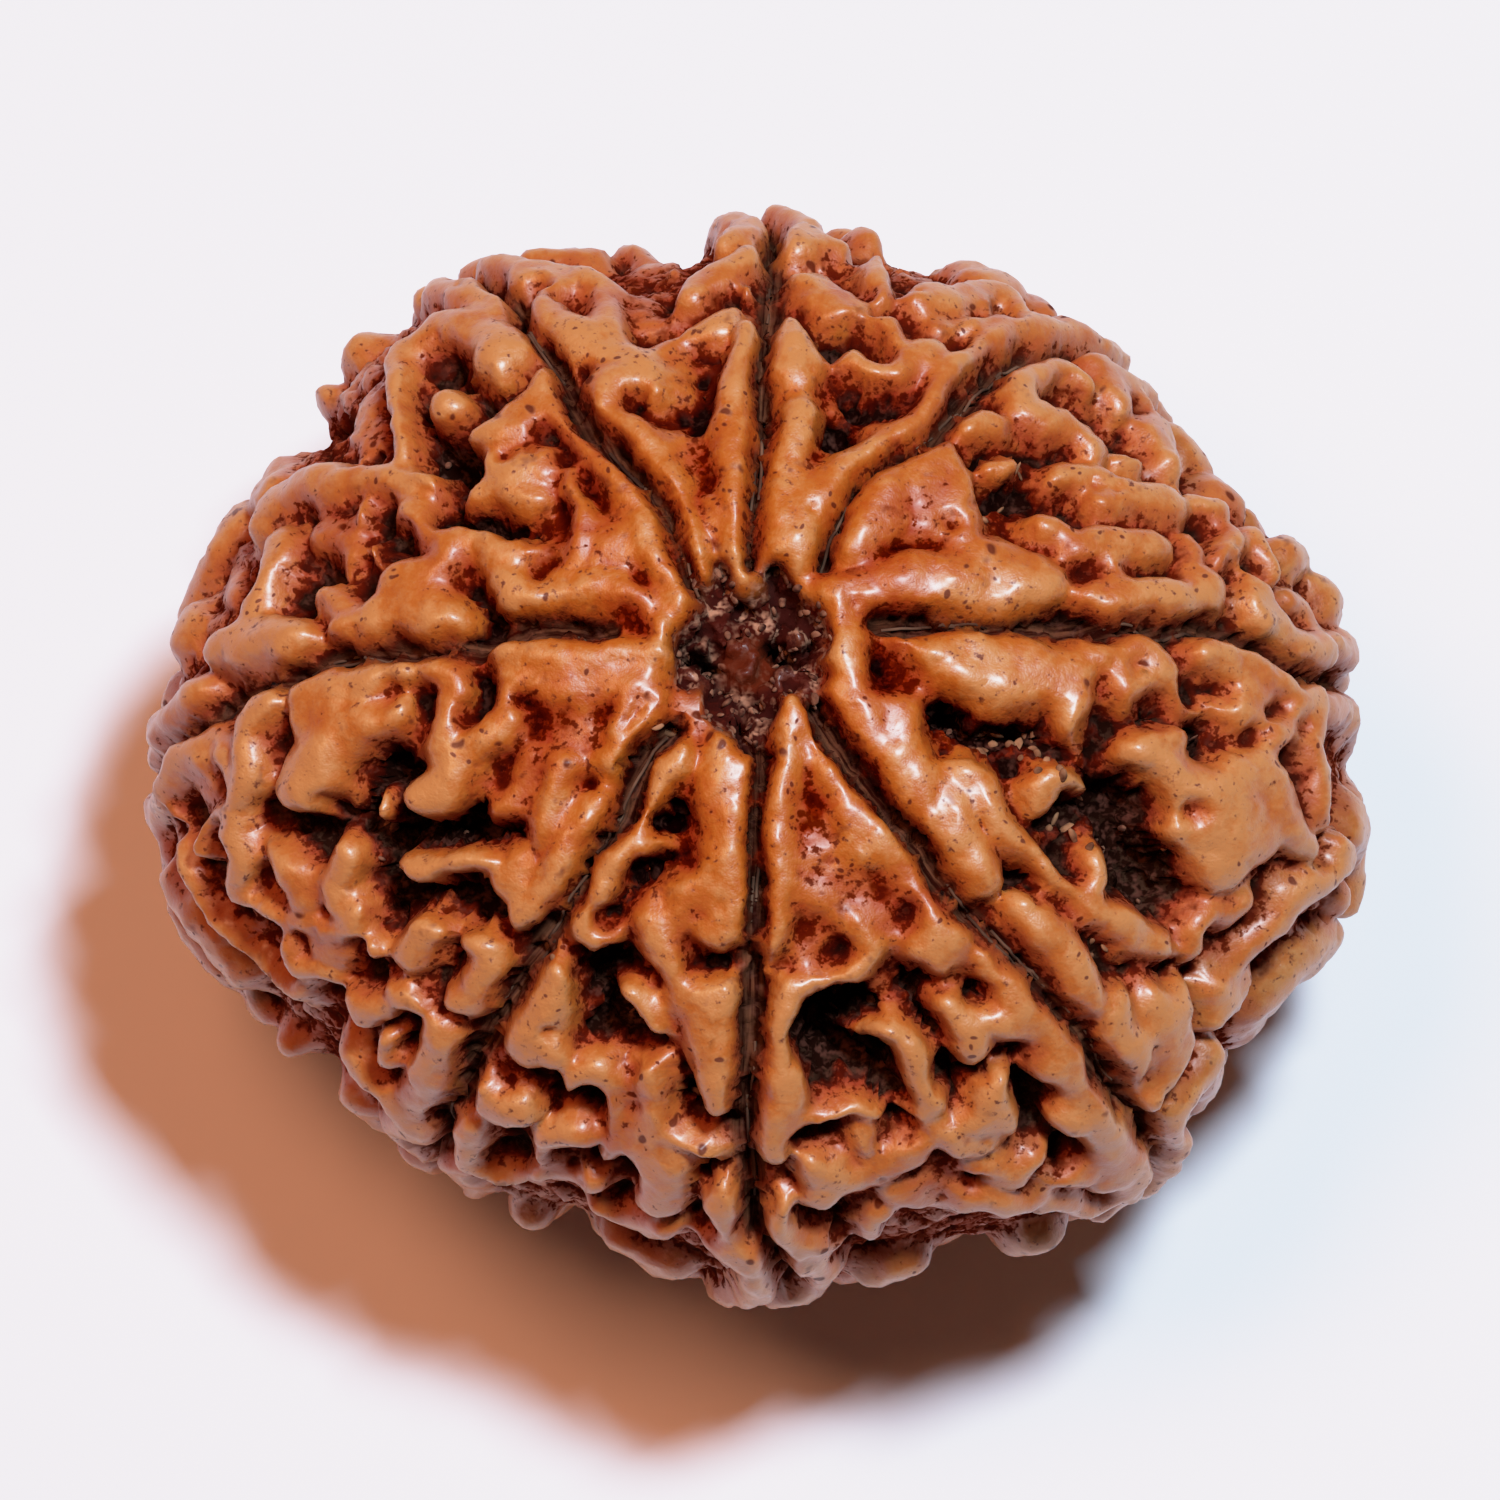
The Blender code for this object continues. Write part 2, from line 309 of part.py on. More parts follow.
# Folds between the south-west and west grooves.
WEST_SOUTH_FOLDS = (
    fold((-5.0, -0.25, 0.25), (-4.4, -0.25, 0.3), (-3.6, -0.3, 0.35), (-2.9, -0.2, 0.35),
         (-2.3, -0.15, 0.3), (-1.8, -0.1, 0.3), (-1.5, -0.2, 0.25)),
    fold((-4.6, -0.9, 0.4), (-3.8, -0.8, 0.5), (-3.0, -0.8, 0.5), (-2.2, -0.7, 0.4), crest=-0.05),
    fold((-1.9, -1.1, 0.25), (-2.0, -1.6, 0.2), (-2.3, -2.0, 0.25), (-2.8, -2.4, 0.25)),
    fold((-2.5, -1.3, 0.15), (-2.7, -1.8, 0.15)),
    fold((-3.5, -1.8, 0.5), (-3.8, -2.6, 0.5), crest=-0.2),
    fold((-4.7, -1.2, 0.3), (-4.8, -1.7, 0.35), (-5.2, -2.0, 0.35), (-5.7, -2.5, 0.4), (-6.2, -2.9, 0.4),
         (-6.6, -3.2, 0.4)),
    fold((-6.3, -0.6, 0.35), (-5.9, -0.65, 0.3), (-5.9, -1.1, 0.35), (-6.0, -1.6, 0.4), (-6.2, -2.1, 0.4)),
    fold((-2.9, -3.2, 0.2), (-3.2, -3.6, 0.35), (-3.5, -4.2, 0.4), (-3.9, -4.8, 0.45), (-4.3, -5.3, 0.35),
         (-4.6, -5.75, 0.15)),
    fold((-4.6, -4.6, 0.5), (-4.9, -4.9, 0.35), crest=-0.1),
    fold((-4.1, -3.8, 0.25), (-3.8, -3.1, 0.3), (-3.6, -2.5, 0.3)),
    fold((-5.1, -3.5, 0.3), (-4.7, -3.4, 0.3), (-4.5, -3.0, 0.25), (-4.3, -2.4, 0.3), crest=-0.15),
    fold((-6.9, -4.6, 0.35), (-6.4, -4.55, 0.3), (-6.0, -4.5, 0.25), (-5.6, -4.4, 0.25), (-5.3, -4.4, 0.25)),
    fold((-8.7, -1.0, 0.5), (-8.2, -0.9, 0.5), (-7.5, -0.8, 0.4), (-7.0, -0.7, 0.3)),
    fold((-8.8, -1.6, 0.5), (-8.2, -1.7, 0.5), (-7.5, -1.6, 0.4), (-7.1, -1.4, 0.3)),
    fold((-8.5, -2.2, 0.5), (-8.8, -2.7, 0.6), (-8.95, -3.0, 0.6), crest=0.1),
    fold((-9.5, -1.2, 0.2), (-9.9, -1.5, 0.4), (-10.1, -2.0, 0.4), (-10.1, -2.9, 0.35), (-10.3, -3.4, 0.35),
         (-10.4, -3.9, 0.4), (-10.3, -4.5, 0.4), (-10.3, -5.0, 0.35)),
    fold((-10.9, -1.8, 0.3), (-10.6, -2.1, 0.35), crest=-0.3),
    fold((-11.1, -2.25, 0.2), (-11.6, -2.35, 0.25), (-11.85, -2.8, 0.2), (-11.8, -3.3, 0.15),
         (-11.65, -3.65, 0.12)),
    fold((-11.2, -2.8, 0.5), crest=-0.35),
    fold((-10.7, -2.3, 0.15), (-10.5, -2.8, 0.15), (-10.5, -3.2, 0.15), (-10.9, -3.5, 0.15),
         (-11.0, -3.9, 0.15), (-11.1, -4.4, 0.2)),
    fold((-11.5, -4.1, 0.15), (-11.3, -4.7, 0.25), (-11.1, -5.2, 0.25), (-10.8, -5.7, 0.25),
         (-10.4, -6.1, 0.2)),
    fold((-9.5, -4.4, 0.4), (-9.2, -4.8, 0.45), (-9.0, -5.2, 0.4)),
    fold((-8.15, -4.1, 0.25), (-8.0, -4.5, 0.4), (-8.1, -4.8, 0.35), (-8.3, -5.2, 0.3), (-8.0, -5.5, 0.35),
         (-7.8, -5.5, 0.3)),
    fold((-8.6, -5.0, 0.35), crest=-0.2),
    fold((-7.45, -3.15, 0.15), (-7.4, -3.6, 0.2), crest=-0.2),
    fold((-6.5, -5.9, 0.4), (-6.8, -6.3, 0.5)),
    fold((-7.6, -6.15, 0.2), (-7.5, -6.4, 0.2)),
    fold((-10.3, -5.2, 0.2), (-9.7, -5.5, 0.2), (-9.0, -5.7, 0.2), (-8.4, -5.8, 0.2), (-7.9, -5.8, 0.2)),
    fold((-8.5, -6.3, 0.5), crest=-0.2),
    fold((-9.2, -6.0, 0.2), (-9.1, -6.6, 0.25), (-8.5, -6.9, 0.25)),
    fold((-10.5, -6.1, 0.15), (-10.0, -6.5, 0.15), (-9.5, -6.9, 0.2), (-9.1, -7.2, 0.2), (-8.6, -7.1, 0.2),
         (-8.0, -7.3, 0.2), (-7.4, -7.4, 0.2)),
    fold((-8.2, -7.5, 0.2), (-7.7, -7.6, 0.15)),
    fold((-7.0, -7.2, 0.35), (-6.6, -7.4, 0.3)),
    fold((-5.6, -6.1, 0.3), (-5.2, -6.3, 0.35), (-5.3, -6.8, 0.4), (-5.6, -7.2, 0.35), (-5.9, -7.2, 0.3)),
    fold((-6.2, -7.9, 0.35), (-6.3, -8.4, 0.4), (-6.5, -8.9, 0.4)),
    fold((-7.25, -8.1, 0.25), (-7.3, -8.5, 0.3)),
    fold((-7.0, -9.6, 0.25), (-6.8, -9.9, 0.3), (-6.6, -10.1, 0.2)),
    fold((-11.5, -0.8, 0.3), (-11.4, -1.2, 0.3), (-11.5, -1.7, 0.2), crest=-0.4),
)

# Folds between the west and north-west grooves.
WEST_NORTH_FOLDS = (
    fold((-4.9, 1.2, 0.35), (-4.6, 0.95, 0.35), (-4.0, 0.95, 0.3), (-3.3, 1.05, 0.25), (-2.7, 1.1, 0.25),
         (-2.3, 1.0, 0.2), (-1.9, 0.75, 0.2), (-1.6, 0.5, 0.2), (-1.45, 0.1, 0.2)),
    fold((-5.2, 1.7, 0.3), (-4.8, 1.8, 0.3), (-4.3, 1.9, 0.25)),
    fold((-3.6, 1.5, 0.35), (-2.8, 1.5, 0.3), crest=-0.15),
    fold((-2.3, 0.4, 0.3), crest=-0.35),
    fold((-3.6, 4.6, 0.35), (-3.2, 4.2, 0.4), (-2.9, 3.8, 0.4), (-2.5, 3.3, 0.4), (-2.2, 2.8, 0.4),
         (-1.9, 2.3, 0.35), (-1.7, 1.8, 0.35), (-1.5, 1.3, 0.3), (-1.3, 0.9, 0.25)),
    fold((-3.6, 3.4, 0.18), (-3.5, 3.0, 0.18), (-3.3, 2.6, 0.18), (-3.3, 2.1, 0.18), (-3.4, 1.7, 0.15)),
    fold((-2.6, 2.0, 0.6), crest=-0.1),
    fold((-5.4, 3.1, 0.3), (-4.8, 3.1, 0.35), (-4.3, 3.0, 0.35), crest=-0.1),
    fold((-5.8, 2.1, 0.3), (-5.3, 2.1, 0.25)),
    fold((-8.3, 0.3, 0.3), (-7.7, 0.5, 0.4), (-7.0, 0.8, 0.5), (-6.4, 0.7, 0.5), (-5.8, 0.6, 0.4)),
    fold((-7.2, 1.3, 0.35), (-6.7, 1.0, 0.5)),
    fold((-7.1, 1.5, 0.3), (-6.4, 1.5, 0.3), (-5.9, 1.8, 0.35), (-6.1, 2.2, 0.3), (-6.4, 2.4, 0.35),
         (-6.8, 2.7, 0.4)),
    fold((-7.5, 2.05, 0.17), (-7.55, 1.7, 0.12)),
    fold((-8.6, 1.0, 0.3), (-8.2, 0.8, 0.35), (-8.0, 0.5, 0.4), crest=-0.15),
    fold((-8.6, 2.5, 0.4), (-8.2, 2.3, 0.4), (-8.0, 1.9, 0.3), crest=-0.3),
    fold((-9.7, 2.8, 0.5), (-9.2, 3.1, 0.45), (-8.7, 3.3, 0.4), (-8.0, 3.3, 0.4), (-7.3, 3.35, 0.35),
         (-6.7, 3.35, 0.3), (-6.2, 3.3, 0.25)),
    fold((-7.8, 2.7, 0.3)),
    fold((-9.5, 2.1, 0.45), (-9.6, 1.7, 0.45), (-9.75, 1.2, 0.3), (-10.0, 0.7, 0.35)),
    fold((-10.7, -0.1, 0.4), (-10.1, 0.05, 0.5), (-9.5, 0.05, 0.45), (-9.05, 0.2, 0.25)),
    fold((-10.6, 2.0, 0.3), (-10.8, 1.5, 0.25), (-10.75, 1.0, 0.2), crest=-0.5),
    fold((-11.1, 0.2, 0.25), crest=-0.6),
    fold((-6.9, 3.9, 0.35), (-7.1, 4.5, 0.35), (-7.15, 5.2, 0.4), (-6.95, 5.9, 0.5), (-6.4, 6.35, 0.55),
         (-5.8, 6.35, 0.6), (-5.3, 6.15, 0.6), (-4.8, 5.85, 0.5)),
    fold((-4.95, 5.8, 0.45), crest=0.1),
    fold((-6.1, 4.9, 0.6)),
    fold((-7.5, 5.8, 0.35), (-7.85, 5.3, 0.35), (-8.0, 4.85, 0.35), (-7.9, 4.3, 0.3), (-7.6, 3.95, 0.25),
         crest=-0.6),
    fold((-4.5, 4.6, 0.5), (-4.9, 4.3, 0.35), (-5.5, 4.15, 0.25)),
    fold((-3.9, 4.9, 0.4), (-3.9, 5.4, 0.3), (-4.2, 5.0, 0.35)),
    fold((-4.3, 3.6, 0.4), (-5.0, 3.6, 0.3)),
)

# Folds between the north-west and north grooves.
NORTH_WEST_FOLDS = (
    fold((-2.5, 4.4, 0.4), (-2.0, 4.2, 0.4), (-1.75, 3.7, 0.35), (-1.5, 3.2, 0.3), (-1.3, 2.7, 0.25),
         (-1.1, 2.3, 0.2), (-0.95, 1.8, 0.15), (-0.9, 1.2, 0.12)),
    fold((-1.3, 3.6, 0.4), (-1.2, 4.2, 0.4), crest=-0.25),
    fold((-0.02, 6.35, 0.22), (-0.08, 5.9, 0.25), (-0.25, 5.2, 0.35), (-0.25, 4.4, 0.35), (-0.2, 3.6, 0.3),
         (-0.2, 2.8, 0.25), (-0.2, 2.1, 0.2), (-0.1, 1.5, 0.15)),
    fold((-0.6, 2.8, 0.2), (-0.6, 2.4, 0.15), crest=-0.2),
    fold((-2.55, 5.45, 0.4), (-2.8, 5.1, 0.45), (-2.9, 4.85, 0.3)),
    fold((-2.3, 5.8, 0.4), (-2.0, 5.4, 0.35), (-1.8, 5.1, 0.25)),
    fold((-4.3, 6.7, 0.35), (-3.7, 6.4, 0.45), (-3.2, 6.2, 0.5), (-2.8, 6.0, 0.45)),
    fold((-4.0, 6.2, 0.35), (-3.8, 5.8, 0.3), (-3.6, 5.6, 0.25)),
    fold((-4.4, 7.3, 0.2), (-4.1, 7.6, 0.3), (-3.5, 7.5, 0.3), (-3.0, 7.2, 0.35), (-2.75, 6.8, 0.35),
         (-2.6, 6.3, 0.4)),
    fold((-5.8, 7.1, 0.45), (-5.2, 7.3, 0.4), (-4.8, 7.1, 0.35), (-4.6, 6.7, 0.25)),
    fold((-2.8, 7.2, 0.3), (-2.3, 7.0, 0.35), (-1.9, 6.75, 0.3), (-1.6, 6.7, 0.25), crest=-0.4),
    fold((-1.7, 6.0, 0.25), (-1.3, 6.1, 0.25), (-0.9, 6.3, 0.3), (-0.4, 6.7, 0.3), crest=-0.2),
    fold((-1.5, 5.7, 0.35), (-1.3, 5.2, 0.25), crest=-0.3),
    fold((-1.2, 6.95, 0.3), (-0.8, 7.3, 0.35), (-0.3, 7.6, 0.4), (0.1, 7.85, 0.35)),
    fold((-0.5, 8.0, 0.25), (-0.1, 8.25, 0.25), (0.25, 8.3, 0.2)),
    fold((0.0, 7.2, 0.2)),
)

# Small bumps of dry pith in the pit at the pole.
PITH_BUMPS = (
    fold((0.1, -0.25, 0.5), crest=-1.0),
    fold((-0.45, 0.6, 0.34), crest=-0.75),
    fold((0.25, 0.5, 0.24), crest=-0.9),
    fold((0.35, 1.0, 0.22), crest=-1.0),
    fold((0.95, 0.35, 0.22), crest=-0.75),
    fold((-0.85, 0.2, 0.26), crest=-0.9),
    fold((-1.15, -0.55, 0.24), crest=-0.7),
    fold((0.75, -0.6, 0.28), crest=-0.8),
    fold((1.25, -0.8, 0.18), crest=-0.6),
    fold((0.25, -1.4, 0.22), crest=-0.65),
    fold((0.12, -1.85, 0.15), crest=-0.7),
    fold((-0.3, -1.15, 0.26), crest=-0.95),
    fold((-0.9, -0.95, 0.12), (-0.85, -1.4, 0.15), (-0.8, -1.8, 0.2), crest=-0.3),
)

# Pits and hollows, as (across, up, radius, depth below the outer form).
PITS = (
    (1.85, 4.3, 0.35, 1.5), (2.2, 6.35, 0.3, 1.3), (2.7, 6.0, 0.2, 1.2), (2.3, 5.1, 0.3, 1.3),
    (3.5, 6.3, 0.2, 1.1), (1.6, 6.0, 0.15, 1.0), (6.6, 5.0, 0.3, 1.2), (7.5, 4.4, 0.35, 1.2),
    (7.8, 4.0, 0.15, 1.0), (4.9, 3.1, 0.3, 1.4), (6.5, 3.9, 0.25, 1.2), (6.7, 2.8, 0.3, 1.2),
    (8.7, 1.6, 0.25, 1.2), (10.3, 1.65, 0.25, 1.2), (10.0, 1.4, 0.2, 1.1), (4.3, 2.3, 0.15, 0.6),
    (3.7, 2.0, 0.2, 0.6), (2.7, -0.4, 0.2, 0.8), (8.4, -1.35, 0.4, 1.2), (9.1, -0.9, 0.3, 1.1),
    (9.5, -1.85, 0.45, 1.5), (11.2, -0.6, 0.3, 1.1), (10.6, -1.3, 0.15, 0.8), (11.2, -2.5, 0.18, 0.7),
    (9.0, -3.4, 0.25, 1.4), (8.7, -5.4, 0.4, 1.5), (9.5, -6.2, 0.3, 1.2), (5.4, -4.6, 0.25, 1.1),
    (7.2, -5.9, 0.2, 1.1), (8.7, -6.7, 0.3, 1.2), (1.3, -3.2, 0.2, 0.7), (1.5, -4.6, 0.2, 0.8),
    (1.7, -6.2, 0.28, 1.1), (1.2, -5.8, 0.15, 0.9), (3.2, -5.3, 0.3, 1.2), (3.4, -6.9, 0.4, 1.8),
    (4.6, -7.1, 0.25, 1.4), (2.2, -8.6, 0.7, 1.8), (3.2, -9.9, 0.35, 1.2), (1.65, -10.05, 0.25, 1.1),
    (4.15, -8.9, 0.3, 1.7), (5.3, -8.6, 0.2, 1.2), (5.9, -9.4, 0.35, 1.7), (6.3, -10.7, 0.3, 1.2),
    (4.7, -11.0, 0.25, 1.1), (2.0, -12.1, 0.2, 1.0), (1.3, -11.7, 0.2, 1.1), (-1.25, -3.8, 0.2, 0.9),
    (-1.6, -4.4, 0.25, 1.3), (-2.8, -5.5, 0.22, 1.0), (-2.1, -4.8, 0.2, 0.9), (-0.9, -6.4, 0.35, 1.3),
    (-2.6, -6.5, 0.35, 1.4), (-2.8, -7.4, 0.3, 1.7), (-2.9, -8.0, 0.35, 1.5), (-4.0, -7.9, 0.15, 0.5),
    (-3.0, -9.5, 0.3, 1.3), (-3.9, -9.4, 0.3, 1.3), (-4.5, -10.6, 0.3, 1.2), (-3.5, -10.8, 0.15, 0.9),
    (-1.3, -9.7, 0.35, 1.4), (-1.0, -11.0, 0.25, 1.2), (-1.3, -11.8, 0.2, 1.1), (-1.8, -8.2, 0.25, 1.2),
    (-7.2, -1.05, 0.35, 0.5), (-5.5, -1.4, 0.25, 1.1), (-4.4, -1.2, 0.2, 0.7), (-11.6, -3.4, 0.2, 1.0),
    (-11.3, -3.9, 0.2, 1.0), (-10.6, -4.2, 0.18, 0.9), (-9.6, -2.5, 0.2, 1.3), (-9.5, -3.7, 0.35, 1.5),
    (-8.3, -3.5, 0.4, 1.5), (-7.4, -2.6, 0.35, 1.3), (-6.8, -3.9, 0.4, 1.8), (-7.2, -5.0, 0.4, 1.8),
    (-6.1, -3.7, 0.3, 1.4), (-9.8, -6.1, 0.35, 1.1), (-10.0, -6.8, 0.25, 1.0), (-7.8, -6.9, 0.3, 1.1),
    (-6.0, -5.3, 0.35, 1.5), (-5.2, -5.6, 0.3, 1.3), (-6.0, -6.4, 0.25, 1.4), (-7.0, -8.3, 0.2, 1.2),
    (-3.1, -2.95, 0.15, 0.8), (-8.9, -3.9, 0.35, 1.5), (-6.3, 5.75, 0.35, 1.5), (-6.2, 4.0, 0.4, 1.8),
    (-5.4, 4.9, 0.25, 1.4), (-5.2, 5.4, 0.2, 1.1), (-4.1, 4.2, 0.25, 1.0), (-4.8, 3.7, 0.15, 0.5),
    (-6.0, 2.7, 0.4, 1.5), (-5.0, 2.5, 0.3, 1.4), (-4.2, 2.3, 0.3, 1.1), (-7.1, 2.1, 0.3, 1.4),
    (-8.6, 1.55, 0.35, 1.6), (-9.2, 0.9, 0.35, 1.5), (-8.85, 0.6, 0.2, 1.1), (-5.3, 0.9, 0.25, 1.2),
    (-3.9, 1.7, 0.2, 0.6), (-2.8, 2.4, 0.15, 0.4), (-10.5, 1.2, 0.3, 1.4), (-7.4, 4.4, 0.25, 1.2),
    (-7.9, 3.85, 0.3, 1.9), (-4.2, 7.2, 0.2, 1.1), (-3.6, 7.0, 0.25, 1.2), (-3.25, 5.6, 0.2, 0.9),
    (-3.5, 5.1, 0.15, 1.0), (-2.2, 5.0, 0.2, 1.1), (-2.0, 6.3, 0.2, 1.2), (-1.6, 6.35, 0.2, 1.2),
    (-0.85, 5.6, 0.2, 1.1), (-1.0, 4.5, 0.2, 1.0), (-0.7, 6.0, 0.15, 1.0), (-1.1, -0.12, 0.16, 2.2),
    (-0.82, -0.36, 0.15, 2.2), (0.58, 0.14, 0.14, 2.2), (0.85, -0.14, 0.13, 2.2), (0.22, 0.26, 0.08, 1.6),
    (-0.52, 0.04, 0.09, 1.6), (-0.48, -0.78, 0.13, 1.9), (-0.56, 0.6, 0.06, 1.2), (-0.42, 0.42, 0.06, 1.2),
)

# Deep hollows between folds. Each has its floor as its crest.
HOLLOWS = (
    fold((-6.15, 4.6, 0.75), crest=-1.3),
    fold((-6.1, 3.9, 0.4), (-5.8, 3.5, 0.4), crest=-1.9),
    fold((-5.9, 2.75, 0.3), (-5.3, 2.6, 0.3), (-4.9, 2.35, 0.25), crest=-1.1),
    fold((-7.1, 2.1, 0.3), crest=-1.2),
    fold((-8.7, 1.7, 0.35), (-9.1, 1.1, 0.35), crest=-1.3),
    fold((-5.35, 1.0, 0.25), (-5.3, 0.4, 0.25), crest=-1.1),
    fold((-7.5, 4.0, 0.3), crest=-1.3),
    fold((-4.1, 7.15, 0.3), (-3.6, 7.05, 0.3), crest=-1.3),
    fold((-2.3, 6.7, 0.3), (-1.9, 6.45, 0.2), crest=-1.1),
    fold((-1.0, 5.2, 0.3), crest=-0.9),
    fold((2.1, 6.1, 0.4), (2.7, 5.95, 0.4), crest=-1.3),
    fold((1.7, 4.8, 0.35), crest=-1.3),
    fold((2.1, 4.5, 0.25), crest=-1.0),
    fold((4.9, 3.55, 0.35), (5.4, 3.4, 0.4), crest=-1.0),
    fold((6.7, 2.7, 0.35), crest=-1.2),
    fold((7.6, 4.4, 0.35), crest=-1.1),
    fold((9.7, 2.0, 0.35), crest=-1.2),
    fold((10.6, 0.35, 0.35), (11.3, -0.6, 0.3), crest=-1.3),
    fold((8.4, -1.4, 0.3), (8.8, -1.55, 0.3), crest=-1.0),
    fold((9.45, -1.95, 0.35), crest=-1.1),
    fold((4.0, -1.5, 0.3), (5.0, -2.1, 0.35), (6.2, -2.1, 0.45), (6.9, -2.8, 0.6), (7.5, -3.5, 0.6),
         (8.0, -4.5, 0.6), (8.5, -5.2, 0.4), crest=-1.9),
    fold((6.6, -3.9, 0.4), (7.1, -4.5, 0.45), crest=-1.4),
    fold((1.9, -7.4, 0.4), (2.1, -8.3, 0.6), (2.9, -8.6, 0.5), crest=-2.1),
    fold((3.7, -7.1, 0.25), (3.9, -7.7, 0.3), crest=-1.4),
    fold((4.2, -8.8, 0.35), (4.3, -9.4, 0.3), crest=-1.4),
    fold((5.8, -9.1, 0.3), (6.1, -9.6, 0.3), crest=-1.4),
    fold((5.6, -4.8, 0.3), crest=-1.2),
    fold((2.7, -10.0, 0.3), crest=-1.1),
    fold((6.3, -10.8, 0.3), crest=-1.2),
    fold((8.7, -6.7, 0.3), crest=-1.0),
    fold((-9.7, -3.5, 0.3), (-9.1, -4.0, 0.3), (-8.2, -3.8, 0.35), crest=-1.3),
    fold((-7.2, -2.6, 0.35), (-7.4, -3.6, 0.45), (-7.3, -4.6, 0.45), (-7.1, -5.6, 0.4), crest=-2.2),
    fold((-6.6, -4.0, 0.4), (-5.6, -3.9, 0.45), (-4.9, -3.6, 0.35), crest=-1.9),
    fold((-6.2, -5.3, 0.3), (-5.5, -5.3, 0.4), crest=-1.4),
    fold((-5.7, -7.0, 0.3), crest=-1.2),
    fold((-1.5, -3.6, 0.22), (-1.9, -4.5, 0.3), (-2.5, -5.2, 0.25), crest=-1.2),
    fold((-3.1, -6.5, 0.3), (-2.6, -7.2, 0.45), (-2.2, -8.0, 0.35), crest=-2.0),
    fold((-3.6, -9.2, 0.3), (-3.2, -9.6, 0.3), crest=-1.3),
    fold((-1.6, -9.4, 0.25), (-0.6, -9.9, 0.3), crest=-1.4),
    fold((-0.7, -6.5, 0.25), crest=-1.1),
    fold((-5.4, -0.8, 0.22), (-5.4, -1.5, 0.25), crest=-1.1),
)

# The ragged pit at the upper pole, where the grooves meet. Each part has its floor as its crest.
POLE_PIT = (
    fold((-1.0, 0.0, 0.3), (-0.6, 0.1, 0.5), (0.0, 0.1, 0.75), (0.6, 0.1, 0.65), (1.0, 0.1, 0.25),
         crest=-1.45),
    fold((-0.2, -0.3, 0.6), (-0.1, -1.0, 0.5), (0.05, -1.6, 0.25), (0.1, -1.95, 0.15), crest=-1.35),
    fold((0.4, 0.6, 0.45), (0.6, 1.1, 0.3), (0.5, 1.5, 0.12), crest=-1.35),
    fold((-0.4, 0.6, 0.4), (-0.45, 1.2, 0.2), (-0.5, 1.6, 0.1), crest=-1.3),
    fold((0.8, -0.4, 0.4), (1.25, -0.7, 0.2), crest=-1.25),
    fold((-0.9, -0.4, 0.3), (-1.15, -0.6, 0.2), crest=-1.25),
)

ALL_FOLDS = (NORTH_FOLDS + EAST_NORTH_FOLDS + EAST_SOUTH_FOLDS + SOUTH_EAST_FOLDS + SOUTH_WEST_FOLDS
             + WEST_SOUTH_FOLDS + WEST_NORTH_FOLDS + NORTH_WEST_FOLDS)


def rim_radius(azimuth):
    """Radius of the outer form at an azimuth: a smooth closed curve through RIM_RADII."""
    radii = np.array(RIM_RADII)
    place = np.mod(azimuth / (2.0 * math.pi), 1.0) * len(radii)
    index = np.floor(place).astype(int)
    along = place - index
    before, start, end, after = (radii[(index + k) % len(radii)] for k in (-1, 0, 1, 2))
    return start + 0.5 * along * (
        end - before
        + along * (2.0 * before - 5.0 * start + 4.0 * end - after
                   + along * (3.0 * (start - end) + after - before))
    )


def form_level(points):
    """Level of points against the outer form: 1 on it, less inside; the form's middle is the origin."""
    across = np.hypot(points[:, 0], points[:, 1])
    rim = rim_radius(np.arctan2(points[:, 1], points[:, 0]))
    height = np.where(points[:, 2] > 0.0, UPPER_HEIGHT, LOWER_HEIGHT)
    flat = (across / rim) ** SECTION_POWER
    upright = (np.abs(points[:, 2]) / height) ** SECTION_POWER
    return (flat + upright) ** (1.0 / SECTION_POWER)


def form_normals(points, step=0.05):
    """Outward unit normals of the outer form."""
    slopes = [form_level(points + offset) - form_level(points - offset) for offset in np.eye(3) * step]
    normals = np.stack(slopes, axis=1)
    return normals / np.linalg.norm(normals, axis=1, keepdims=True)


def layout_axes():
    """The layout's directions: across, up and away from the far point."""
    across = np.array([1.0, 0.0, 0.0])
    up = np.array([0.0, math.sin(LAYOUT_TILT), math.cos(LAYOUT_TILT)])
    away = np.array([0.0, math.cos(LAYOUT_TILT), -math.sin(LAYOUT_TILT)])
    return across, up, away


def onto_form(layout_points):
    """Carries (across, up) layout points onto the outer form, and those past its edge to the nearest rim."""
    across, up, away = layout_axes()
    eye = -LAYOUT_DISTANCE * away
    plane = np.asarray(layout_points, dtype=float)
    aims = plane[:, :1] * across + (plane[:, 1:2] + LAYOUT_POLE_UP) * up + LAYOUT_DISTANCE * away
    aims /= np.linalg.norm(aims, axis=1, keepdims=True)
    reach = LAYOUT_DISTANCE + np.linspace(*LAYOUT_REACH)
    rays = eye + aims[:, None, :] * reach[None, :, None]
    levels = form_level(rays.reshape(-1, 3)).reshape(len(plane), -1)
    inside = levels <= 1.0
    first = np.where(inside.any(axis=1), inside.argmax(axis=1), levels.argmin(axis=1))
    hit = rays[np.arange(len(plane)), first]
    return hit / form_level(hit)[:, None]


